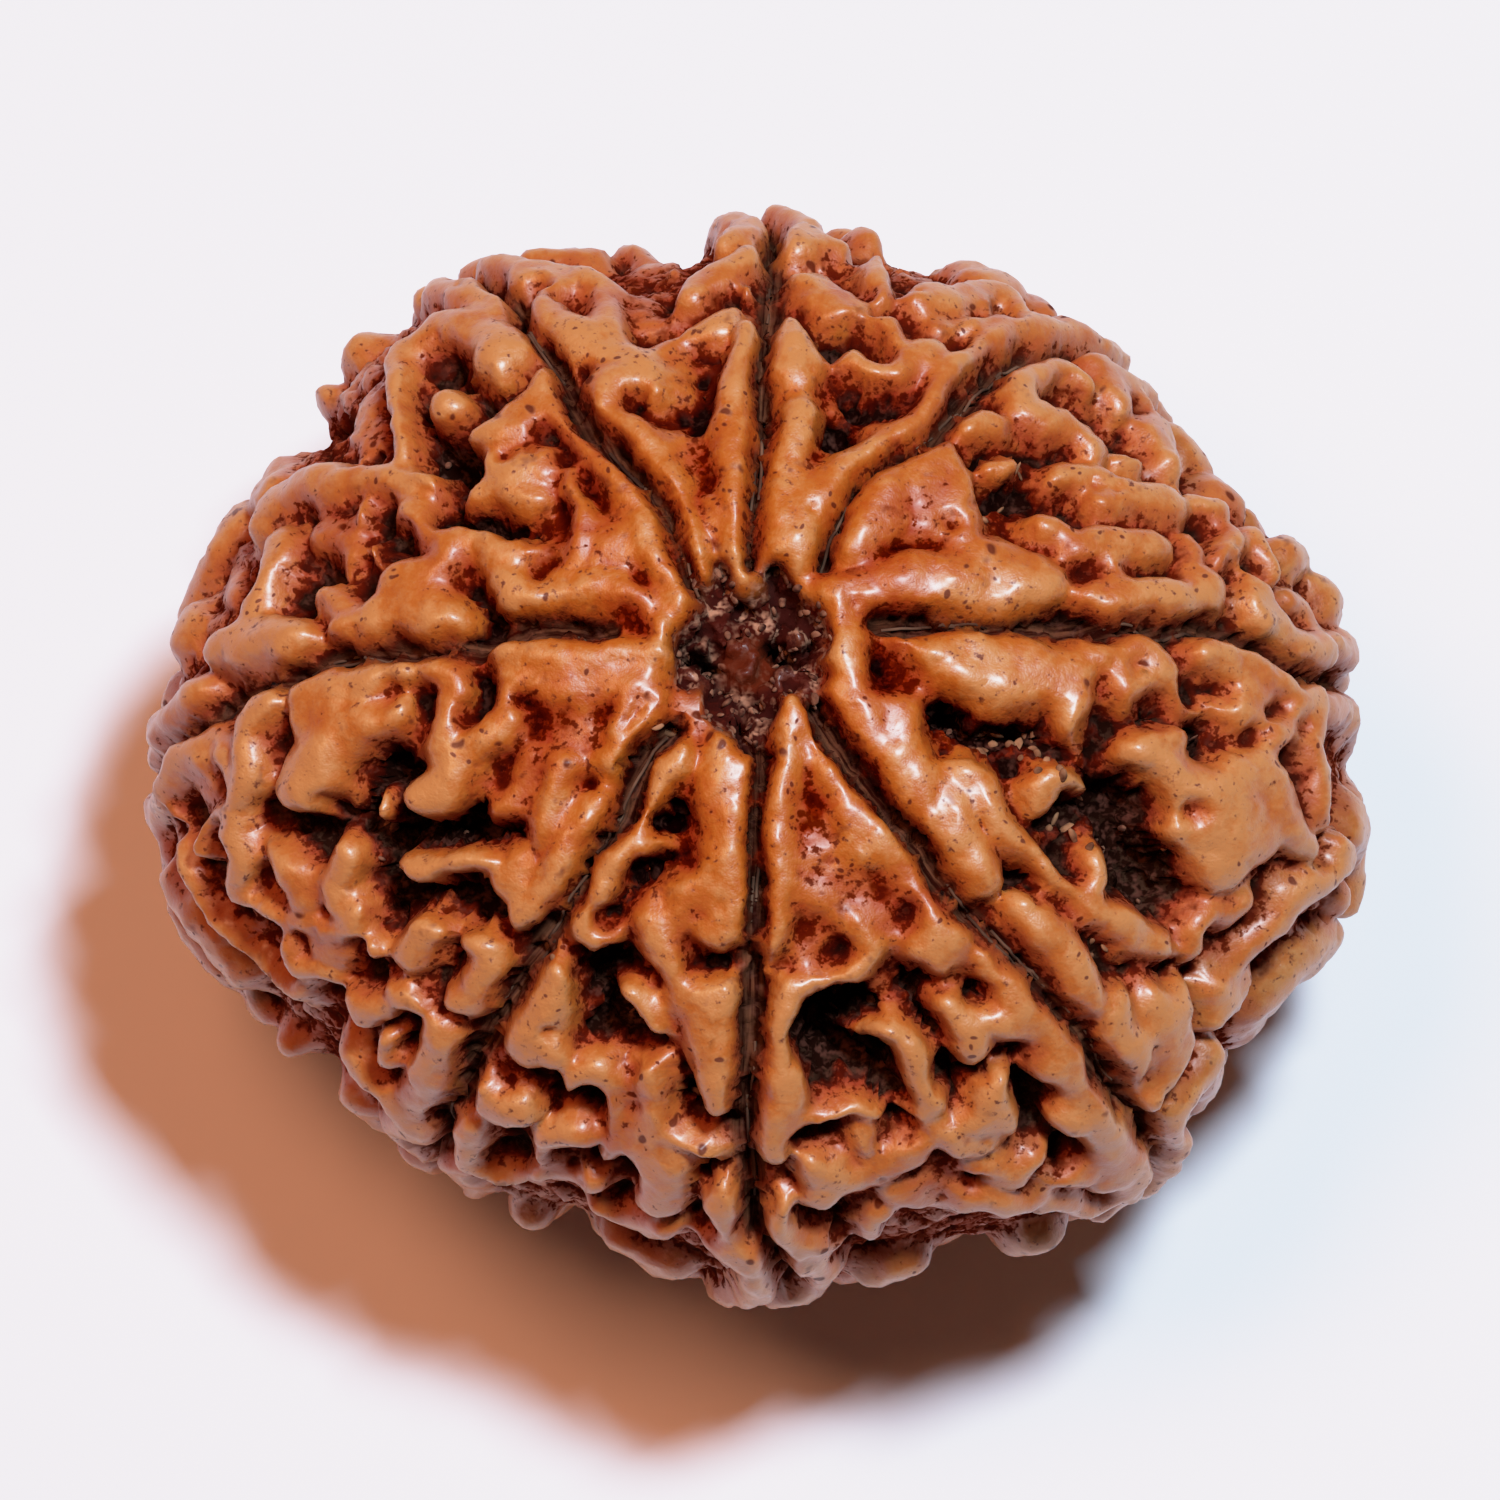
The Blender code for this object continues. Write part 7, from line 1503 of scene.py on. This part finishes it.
@dataclass
class SeedStone:
    """The stone's whole surface, at a finer scale than its solid and in the same form. Sizes in millimetres."""

    relief: Relief
    finish: SeedStoneFinish
    rest_cut: float = 0.35
    sphere_level: int = 8
    smoothings: int = 5
    smoothing: float = 0.5
    most_triangles: int = 190_000
    wrinkle: tuple[float, float] = (0.5, 0.12)
    swell: tuple[float, float] = (1.5, 0.2)
    crumble: tuple[float, float] = (0.38, 0.6)
    crumble_from: float = 0.5
    dent_spacing: float = 1.15
    dent_radius: float = 0.2
    dent_depth: float = 0.11
    foot_clear: tuple[float, float] = (0.05, 0.5)
    crease_rounds: int = 8
    ridge_rounds: int = 40
    floor_height: float = 0.4
    floor_edge: float = 1.0
    groove_edge: float = 1.6
    groove_reach: float = 0.6
    flow_scale: tuple[float, float] = (0.7, 9.0)
    flow_apart: float = 7.0
    pit_edge: float = 2.4
    pit_floor_edge: float = 0.6
    boss_edge: float = 2.0
    slit_edge: float = 2.5
    hollow_bed: float = 0.15
    hollow_bed_from: float = 1.1

    @property
    def lift(self) -> float:
        """Height of the form's middle above the floor."""
        return self.relief.layout.form.lower_height - self.rest_cut

    def build(self) -> bpy.types.Object:
        """Builds the stone as one closed piece.

        Returns:
            The finished piece.
        """
        graph = GeometryGraph("stone_surface", self.finish.material())
        stone = graph.run(placed(self.rough_mesh(), "rough_stone"), self.skin(graph))
        self.thin(stone)
        self.level_foot(stone.data)
        self.write_marks(stone.data)
        return stone

    def rough_mesh(self) -> bpy.types.Mesh:
        """Makes the form with its relief from a finely divided sphere.

        Returns:
            The mesh, in metres.
        """
        shape = bmesh.new()
        bmesh.ops.create_icosphere(shape, subdivisions=self.sphere_level, radius=1.0)
        form = self.relief.layout.form
        places = form.drawn_onto(np.array([vertex.co[:] for vertex in shape.verts]))
        heights = self.relief.heights(places)
        surface = places + form.normals(places) * heights[:, None]
        surface[:, 2] += self.lift
        mesh = bpy.data.meshes.new("rough_stone")
        shape.to_mesh(mesh)
        shape.free()
        edges = mesh_numbers(mesh.edges, "vertices", 2, np.int32)
        for _ in range(self.smoothings):
            surface += self.smoothing * (neighbour_mean(surface, edges) - surface)
        mesh.vertices.foreach_set("co", (surface * MM).astype(np.float32).ravel())
        write_attribute(mesh, "deep", np.clip((-heights - self.crumble_from) / self.crumble_from, 0.0, 1.0))
        mesh.update()
        return mesh

    def skin(self, graph: GeometryGraph) -> Socket:
        """Swells, wrinkles, crumbles and dents the surface along its normals, but leaves the foot alone.

        Args:
            graph: The tree that works on the rough stone.

        Returns:
            The finished surface's socket.
        """
        node = graph.node
        place = node("GeometryNodeInputPosition")
        deep = node("GeometryNodeInputNamedAttribute", ("deep",), data_type="FLOAT")
        deep = node("ShaderNodeMath", (deep, CLOUD_SWING), operation="MULTIPLY")
        total: Any = 0.0
        for name, (spacing, depth), detail, share in (
                ("Wrinkle", self.wrinkle, 2.0, CLOUD_SWING), ("Swell", self.swell, 1.0, CLOUD_SWING),
                ("Crumble", self.crumble, 2.0, deep)):
            finer = node("ShaderNodeMath", (1.0, graph.size(name + " Size", spacing * MM)), operation="DIVIDE")
            cloud = node("ShaderNodeTexNoise", {"Vector": place, "W": graph.seed, "Scale": finer, "Detail": detail},
                         noise_dimensions="4D")
            swing = node("ShaderNodeMath", (cloud, 0.5), operation="SUBTRACT")
            reach = node("ShaderNodeMath", (graph.size(name + " Depth", depth * MM), share), operation="MULTIPLY")
            total = node("ShaderNodeMath", (swing, reach, total), operation="MULTIPLY_ADD")
        spacing = graph.size("Dent Spacing", self.dent_spacing * MM)
        finer = node("ShaderNodeMath", (1.0, spacing), operation="DIVIDE")
        cells = node("ShaderNodeTexVoronoi", {"Vector": place, "Scale": finer}, "Distance")
        gap = node("ShaderNodeMath", (cells, spacing), operation="MULTIPLY")
        bowl = node("ShaderNodeMapRange", (gap, graph.size("Dent Radius", self.dent_radius * MM), 0.0, 0.0, 1.0),
                    interpolation_type="SMOOTHSTEP")
        dent = node("ShaderNodeMath", (bowl, graph.size("Dent Depth", self.dent_depth * MM)), operation="MULTIPLY")
        total = node("ShaderNodeMath", (total, dent), operation="SUBTRACT")
        level = node("ShaderNodeSeparateXYZ", (place,), 2)
        free = node("ShaderNodeMapRange", (level, *(
            graph.size(name, height * MM) for name, height in zip(("Foot Start", "Foot End"), self.foot_clear))))
        push = node("ShaderNodeVectorMath", {
            0: node("GeometryNodeInputNormal"),
            "Scale": node("ShaderNodeMath", (total, free), operation="MULTIPLY")}, operation="SCALE")
        return node("GeometryNodeSetPosition", {"Geometry": graph.source.outputs[0], "Offset": push})

    def thin(self, stone: bpy.types.Object) -> None:
        """Thins the stone's triangles out where it is flattest.

        Args:
            stone: The stone, whose mesh is replaced.
        """
        thin = stone.modifiers.new("thin", "DECIMATE")
        thin.ratio = self.most_triangles / len(stone.data.polygons)
        thin.use_collapse_triangulate = True
        rough, stone.data = stone.data, evaluated_mesh(stone, thin)
        bpy.data.meshes.remove(rough)
        stone.data.name = stone.name

    def level_foot(self, mesh: bpy.types.Mesh) -> None:
        """Draws what lies below the floor up onto it, where the stone rests.

        Args:
            mesh: The stone's mesh.
        """
        places = mesh_places(mesh)
        places[:, 2] = np.maximum(places[:, 2], 0.0)
        mesh.vertices.foreach_set("co", (places * MM).astype(np.float32).ravel())
        mesh.update()

    def write_marks(self, mesh: bpy.types.Mesh) -> None:
        """Writes the attributes that the finish and the dry bits read.

        Args:
            mesh: The stone's mesh.
        """
        places = mesh_places(mesh)
        centred = places - (0.0, 0.0, self.lift)
        form = self.relief.layout.form
        height = np.linalg.norm(centred, axis=1) * (1.0 - 1.0 / form.level(centred))
        depth = -height
        onto = form.drawn_onto(centred)
        groove, flow = self.groove_marks(onto)
        shares = [stroke_share(onto, each.centres, each.half_widths) for each in self.relief.pole_pit]
        pit = np.clip(self.pit_edge - np.min(shares, axis=0), 0.0, 1.0) * np.clip(
            depth / self.floor_height - self.pit_floor_edge, 0.0, 1.0)
        boss = np.clip(self.boss_edge * self.in_spots(onto, (PIT_BOSS,)), 0.0, 1.0)
        # The slits beside the boss, for the finish's near-black painted shade.
        slit_shade = np.clip(self.slit_edge * self.in_spots(onto, PIT_SLITS), 0.0, 1.0)
        beds = np.clip(pit + self.hollow_bed * np.clip(depth - self.hollow_bed_from, 0.0, 1.0), 0.0, 1.0)
        marks = {
            "relief_height": height, "pit": pit, "pit_boss": boss, "pit_slit_shade": slit_shade,
            "groove": groove * np.clip(depth / self.floor_height - self.floor_edge, 0.0, 1.0),
            "crumb_bed": beds * (1.0 - boss) * (1.0 - slit_shade), "lint_bed": self.in_spots(onto, LINT_BEDS)}
        edges = mesh_numbers(mesh.edges, "vertices", 2, np.int32)
        normals = mesh_numbers(mesh.vertex_normals, "vector", 3, np.float32)
        smooth = places.copy()
        # How far each point bulges above or sinks below its smoothed surroundings: the finish paints light on what
        # bulges and shade in what sinks.
        for name, rounds in (("crease", self.crease_rounds), ("ridge", self.ridge_rounds)):
            for _ in range(rounds):
                smooth = neighbour_mean(smooth, edges)
            marks[name] = np.sum((places - smooth) * normals, axis=1)
        for name, values in marks.items():
            write_attribute(mesh, name, values)
        write_attribute(mesh, "groove_flow", flow, "FLOAT_VECTOR", "vector")

    def in_spots(self, places: np.ndarray, spots: tuple[Point, ...]) -> np.ndarray:
        """How far inside the nearest of some round spots each place lies.

        Args:
            places: The surface's places on the form.
            spots: Each spot's place across and up, and its radius.

        Returns:
            1 in a spot's middle, 0 at its edge and outside.
        """
        inside = np.zeros(len(places))
        for across, up, radius in spots:
            out = np.linalg.norm(places - self.relief.layout.onto_form([(across, up)])[0], axis=1) / radius
            inside = np.maximum(inside, np.clip(1.0 - out ** 2, 0.0, 1.0))
        return inside

    def groove_marks(self, places: np.ndarray) -> tuple[np.ndarray, np.ndarray]:
        """Marks the floors of the grooves, and the way along and across them.

        Args:
            places: The surface's places on the form.

        Returns:
            The share of groove floor at each place, and the fibre pattern's place there.
        """
        groove = np.zeros(len(places))
        flow = np.zeros((len(places), 3))
        for index, stroke in enumerate(self.relief.grooves):
            near = near_stroke(places, stroke.centres, self.groove_reach)
            share = stroke_share(places[near], stroke.centres, stroke.half_widths)
            mark = np.clip(self.groove_edge - share, 0.0, 1.0)
            closest = np.argmin(np.linalg.norm(places[near][:, None] - stroke.centres[None], axis=2), axis=1)
            steps = np.linalg.norm(np.diff(stroke.centres, axis=0), axis=1)
            runs = np.concatenate([[0.0], np.cumsum(steps)])
            ahead = np.gradient(stroke.centres, axis=0)
            ahead /= np.linalg.norm(ahead, axis=1, keepdims=True)
            offset = places[near] - stroke.centres[closest]
            along = runs[closest] + np.sum(offset * ahead[closest], axis=1)
            sideways = np.cross(self.relief.layout.form.normals(stroke.centres), ahead)
            across = np.sum(offset * sideways[closest], axis=1)
            better = mark > groove[near]
            pattern = np.stack([along * self.flow_scale[0], across * self.flow_scale[1],
                                np.full(len(near), self.flow_apart * index)], axis=1)
            groove[near] = np.where(better, mark, groove[near])
            flow[near] = np.where(better[:, None], pattern, flow[near])
        return groove, flow


@dataclass
class GrooveFibres:
    """Dry fibres that lie along the floors of the grooves. Sizes in millimetres."""

    relief: Relief
    finish: DryFibreFinish
    lift: float
    start_height: float = 0.3
    ray_length: float = 4.0
    foot_clear: float = 0.3
    strands: int = 5
    latest_start: float = 0.9
    spread: float = 0.12
    wander: float = 0.12
    wander_size: float = 0.8
    wander_apart: float = 40.0
    radius: float = 0.034
    ring_points: int = 5
    step: float = 0.15
    shortest: float = 0.06
    longest: float = 0.22

    def build(self, stone: bpy.types.Object) -> bpy.types.Object:
        """Lays the fibres on the finished stone, as one piece."""
        graph = GeometryGraph("groove_fibres", self.finish.material())
        return graph.run(placed(self.line_mesh(stone), "groove_lines"), self.bundles(graph))

    def line_mesh(self, stone: bpy.types.Object) -> bpy.types.Mesh:
        """The grooves' centrelines, dropped onto the stone, with the way up at each point.

        Args:
            stone: The finished stone.

        Returns:
            The lines, in metres.
        """
        finder = BVHTree.FromObject(stone, bpy.context.evaluated_depsgraph_get())
        points: list[Vector] = []
        ups: list[Vector] = []
        edges: list[tuple[int, int]] = []
        for stroke in self.relief.grooves:
            last = -1
            for centre, normal in zip(stroke.centres, self.relief.layout.form.normals(stroke.centres)):
                start = Vector((centre + self.start_height * normal + (0.0, 0.0, self.lift)) * MM)
                hit = finder.ray_cast(start, Vector(-normal), self.ray_length * MM)[0]
                if hit is None or hit.z < self.foot_clear * MM:
                    last = -1
                    continue
                points.append(hit)
                ups.append(Vector(normal))
                if last >= 0:
                    edges.append((last, len(points) - 1))
                last = len(points) - 1
        mesh = bpy.data.meshes.new("groove_lines")
        mesh.from_pydata(points, edges, [])
        write_attribute(mesh, "up_way", np.array(ups), "FLOAT_VECTOR", "vector")
        return mesh

    def bundles(self, graph: GeometryGraph) -> Socket:
        """Turns lines into bundles of thin broken strands, which wander beside their line.

        Args:
            graph: The tree that works on the lines.

        Returns:
            The strands' socket.
        """
        node = graph.node
        radius = graph.size("Radius", self.radius * MM)
        line = node("GeometryNodeMeshToCurve", (graph.source.outputs[0],))
        fine = node("GeometryNodeResampleCurve", {"Curve": line, "Length": self.step * MM}, mode="LENGTH")
        many = node("GeometryNodeDuplicateElements", {
            "Geometry": fine, "Amount": graph.size("Strands", self.strands, "NodeSocketInt")}, domain="SPLINE")
        start = graph.draw(0.0, self.latest_start, 1)
        length = graph.draw(graph.size("Shortest", self.shortest), graph.size("Longest", self.longest), 2)
        trimmed = node("GeometryNodeTrimCurve", {
            0: many, "Start": start, "End": node("ShaderNodeMath", (start, length), operation="ADD")}, mode="FACTOR")
        kept = node("GeometryNodeStoreNamedAttribute", {
            "Geometry": trimmed, "Name": "side", "Value": graph.draw(-1.0, 1.0, 3)},
            data_type="FLOAT", domain="CURVE")
        across = node("GeometryNodeInputNamedAttribute", ("side",), data_type="FLOAT")
        up = node("GeometryNodeInputNamedAttribute", ("up_way",), data_type="FLOAT_VECTOR")
        sideways = node("ShaderNodeVectorMath", (up, node("GeometryNodeInputTangent")), operation="CROSS_PRODUCT")
        aside = node("ShaderNodeMath", (across, graph.size("Spread", self.spread * MM)), operation="MULTIPLY")
        cloud = node("ShaderNodeTexNoise", {
            "Vector": node("GeometryNodeInputPosition"), "Detail": 1.0,
            "W": node("ShaderNodeMath", (across, self.wander_apart), operation="MULTIPLY"),
            "Scale": node("ShaderNodeMath", (1.0, graph.size("Wander Size", self.wander_size * MM)),
                          operation="DIVIDE")}, 1, noise_dimensions="4D")
        swing = node("ShaderNodeVectorMath", (cloud, (0.5, 0.5, 0.5)), operation="SUBTRACT")
        aside, drift, raised = (
            node("ShaderNodeVectorMath", {0: way, "Scale": amount}, operation="SCALE")
            for way, amount in ((sideways, aside), (swing, graph.size("Wander", self.wander * MM)), (up, radius)))
        total = node("ShaderNodeVectorMath", (aside, drift), operation="ADD")
        total = node("ShaderNodeVectorMath", (total, raised), operation="ADD")
        bent = node("GeometryNodeSetPosition", {"Geometry": kept, "Offset": total})
        ring = node("GeometryNodeCurvePrimitiveCircle", {"Resolution": self.ring_points, "Radius": radius})
        return node("GeometryNodeCurveToMesh", {"Curve": bent, "Profile Curve": ring, "Fill Caps": True})


@dataclass
class DryBits:
    """Small dry bits that lie in the stone's pits and hollows. Sizes in millimetres."""

    name: str
    bed: str
    finish: DryFibreFinish
    per_square: float
    thickness: tuple[float, float]
    length: tuple[float, float]
    roughness: float = 0.5
    roughness_scale: float = 1.3
    turn: tuple[float, float, float] = (6.28, 6.28, 6.28)

    def build(self, stone: bpy.types.Object) -> bpy.types.Object:
        """Scatters the bits over the stone's beds.

        Args:
            stone: The finished stone.

        Returns:
            The bits as one piece.
        """
        graph = GeometryGraph(self.name, self.finish.material())
        node = graph.node
        bed = node("GeometryNodeInputNamedAttribute", (self.bed,), data_type="FLOAT")
        density = node("ShaderNodeMath", (graph.size("Density", self.per_square / MM ** 2), bed),
                       operation="MULTIPLY")
        points = node("GeometryNodeDistributePointsOnFaces", {
            0: graph.source.outputs[0], "Density": density, "Seed": graph.seed})
        ball = node("GeometryNodeMeshIcoSphere", {"Radius": 1.0, "Subdivisions": 2})
        cloud = node("ShaderNodeTexNoise", {"Scale": self.roughness_scale, "Detail": 1.0}, 1)
        swing = node("ShaderNodeVectorMath", (cloud, (0.5, 0.5, 0.5)), operation="SUBTRACT")
        push = node("ShaderNodeVectorMath", {0: swing, "Scale": graph.size("Roughness", self.roughness)},
                    operation="SCALE")
        grain = node("GeometryNodeSetPosition", {"Geometry": ball, "Offset": push})
        turn = node("FunctionNodeRandomValue", {0: (0.0, 0.0, 0.0), 1: self.turn, "Seed": graph.seed},
                    data_type="FLOAT_VECTOR")
        thin, thick, short, long = (graph.size(name, value * MM) for name, value in zip(
            ("Thinnest", "Thickest", "Shortest", "Longest"), (*self.thickness, *self.length)))
        scale = node("ShaderNodeCombineXYZ", (
            graph.draw(thin, thick, 4), graph.draw(thin, thick, 5), graph.draw(short, long, 6)))
        laid = node("GeometryNodeInstanceOnPoints", {
            "Points": points, "Instance": grain, "Rotation": turn, "Scale": scale})
        return graph.run(placed(stone.data.copy(), self.bed), laid)


def mesh_numbers(parts: Any, name: str, width: int, kind: type) -> np.ndarray:
    """Reads a row of numbers from each part of a mesh.

    Args:
        parts: The mesh's points, edges or normals.
        name: The property that is read.
        width: How many numbers each part has.
        kind: The numbers' type.

    Returns:
        One row for each part.
    """
    values = np.empty(len(parts) * width, dtype=kind)
    parts.foreach_get(name, values)
    return values.reshape(-1, width)


def mesh_places(mesh: bpy.types.Mesh) -> np.ndarray:
    """The mesh's points in millimetres."""
    return mesh_numbers(mesh.vertices, "co", 3, np.float32).astype(float) / MM


def neighbour_mean(values: np.ndarray, edges: np.ndarray) -> np.ndarray:
    """The mean of each point's neighbours.

    Args:
        values: A row of numbers for each point.
        edges: The numbers of the two points of each edge.

    Returns:
        A row of means for each point.
    """
    count = np.bincount(edges.ravel(), minlength=len(values))
    sums = [np.bincount(edges[:, 0], column[edges[:, 1]], len(values))
            + np.bincount(edges[:, 1], column[edges[:, 0]], len(values)) for column in values.T]
    return np.stack(sums, axis=1) / count[:, None]


def write_attribute(mesh: bpy.types.Mesh, name: str, values: np.ndarray, kind: str = "FLOAT",
                    key: str = "value") -> None:
    """Writes a number or a vector on each of a mesh's points, under the attribute's name."""
    layer = mesh.attributes.new(name, kind, "POINT")
    layer.data.foreach_set(key, values.astype(np.float32).ravel())


@dataclass(frozen=True)
class Lamp:
    """One soft light: its name, its place, its size in metres, its colour and its power."""

    name: str
    place: tuple[float, float, float]
    size: float
    colour: str
    watts: float


@dataclass
class Studio:
    """A plain pale table under soft light, seen from the front at a steep angle. Sizes in metres."""

    middle: tuple[float, float, float]
    elevation: float = math.radians(75.0)
    distance: float = 0.4
    view_width: float = 0.03
    sensor: float = 36.0
    shift: float = 5.0 / 1500.0
    far_clip: float = 10.0
    floor_half: float = 0.6
    floor_drop: float = 0.00001
    floor_colour: str = "#F1F1F9"
    floor_rough: float = 0.7
    tooth_size: float = 1.0 / 0.9
    tooth_depth: float = 0.02
    tooth_strength: float = 0.1
    sky_colour: str = "#F0AC98"
    sky_strength: float = 0.055
    film_white: float = 4.0
    film_curve: tuple[tuple[float, float], ...] = (
        (0.2, 0.2), (0.4, 0.4), (0.6, 0.585), (0.8, 0.73), (1.0, 0.82), (1.2, 0.875), (1.6, 0.92), (2.4, 0.96))
    lamps: tuple[Lamp, ...] = (
        Lamp("key_lamp", (0.063, 0.04, 0.30), 0.045, "#DAEEFF", 1.24),
        Lamp("warm_lamp", (-0.10, 0.025, 0.30), 0.11, "#FFA878", 0.5))

    def build(self) -> None:
        """Builds the floor, the lights and the camera."""
        self.floor()
        for lamp in self.lamps:
            self.light(lamp)
        self.sky()
        self.camera()
        self.film()

    def floor(self) -> None:
        """A large sheet of matt white paper under the stone, whose faint tooth keeps its sheen dull.

        Real paper's tooth is too fine to show, so it is drawn about ten times as coarse.
        """
        mesh = bpy.data.meshes.new("table_top")
        mesh.from_pydata([(x * self.floor_half, y * self.floor_half, -self.floor_drop)
                          for x, y in ((-1, -1), (1, -1), (1, 1), (-1, 1))], [], [(0, 1, 2, 3)])
        graph = MaterialGraph("matt_white_paper")
        tooth = graph.node("ShaderNodeTexNoise", {"Vector": graph.place, "Scale": 1.0 / self.tooth_size,
                                                  "Detail": 3.0})
        mesh.materials.append(graph.finished({
            "Base Color": linear(self.floor_colour), "Roughness": self.floor_rough,
            "Normal": graph.node("ShaderNodeBump", {"Height": tooth, "Strength": self.tooth_strength,
                                                    "Distance": self.tooth_depth * MM})}))
        placed(mesh, "table_top")

    def light(self, lamp: Lamp) -> None:
        """Hangs one square light that faces the stone.

        Args:
            lamp: The light.
        """
        data = bpy.data.lights.new(lamp.name, "AREA")
        data.size = lamp.size
        data.color = linear(lamp.colour)[:3]
        data.energy = lamp.watts
        self.aimed(placed(data, lamp.name), lamp.place)

    def sky(self) -> None:
        """An even, faint warm glow from all round."""
        world = bpy.data.worlds.new("soft_room")
        world.use_nodes = True
        glow = world.node_tree.nodes["Background"]
        glow.inputs["Color"].default_value = linear(self.sky_colour)
        glow.inputs["Strength"].default_value = self.sky_strength
        bpy.context.scene.world = world

    def camera(self) -> None:
        """The camera, high in front of the stone."""
        data = bpy.data.cameras.new("camera")
        data.sensor_width = self.sensor
        data.lens = self.sensor * self.distance / self.view_width
        data.shift_x = self.shift
        data.clip_end = self.far_clip
        away = (0.0, -math.cos(self.elevation) * self.distance, math.sin(self.elevation) * self.distance)
        camera = placed(data, "camera")
        self.aimed(camera, tuple(m + a for m, a in zip(self.middle, away)))
        bpy.context.scene.camera = camera

    def film(self) -> None:
        """Keeps colours as they are up to middle light, and rolls brighter ones off softly, as film does."""
        view = bpy.context.scene.view_settings
        view.view_transform = "Standard"
        view.use_curve_mapping = True
        mapping = view.curve_mapping
        mapping.white_level = (self.film_white,) * 3
        curve = mapping.curves[3]
        curve.points[-1].location = (1.0, 1.0)
        for light, shown in self.film_curve:
            curve.points.new(light / self.film_white, shown)
        mapping.update()

    def aimed(self, thing: bpy.types.Object, place: tuple[float, float, float]) -> None:
        """Puts a light or the camera at a place and points it at the stone's middle.

        Args:
            thing: The light or the camera.
            place: Where it stands.
        """
        thing.location = place
        look = Vector(self.middle) - Vector(place)
        thing.rotation_euler = look.to_track_quat("-Z", "Y").to_euler()


def dress(piece: bpy.types.Object) -> None:
    """Fixes a piece to the stone's body and logs its triangle count.

    Args:
        piece: The finished piece.
    """
    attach(piece, BODY)
    LOG.info("%s: %d triangles", piece.name, sum(len(face.vertices) - 2 for face in piece.data.polygons))


def main() -> None:
    """Builds the seed's surface and what lies on it, then the studio round it."""
    relief = Relief(Layout(OuterForm()))
    maker = SeedStone(relief, SeedStoneFinish())
    stone = maker.build()
    dress(stone)
    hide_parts(STONE_NODE)
    fibres = GrooveFibres(relief, DryFibreFinish("dry_groove_fibre", "#2E170E", "#6C4E3C", 1.0), maker.lift)
    dress(fibres.build(stone))
    pith = DryFibreFinish("dry_pith", "#3A1812", "#8C6049", 0.25)
    dress(DryBits("pith_crumbs", "crumb_bed", pith, 5.0, (0.04, 0.16), (0.02, 0.08)).build(stone))
    lint = DryFibreFinish("pale_lint", "#4A2414", "#9C6E4E", 0.4)
    dress(DryBits("lint_shreds", "lint_bed", lint, 11.0, (0.03, 0.1), (0.06, 0.2)).build(stone))
    Studio((0.0, 0.0, maker.lift * MM)).build()
    LOG.info("studio: built")


if __name__ == "__main__":
    main()
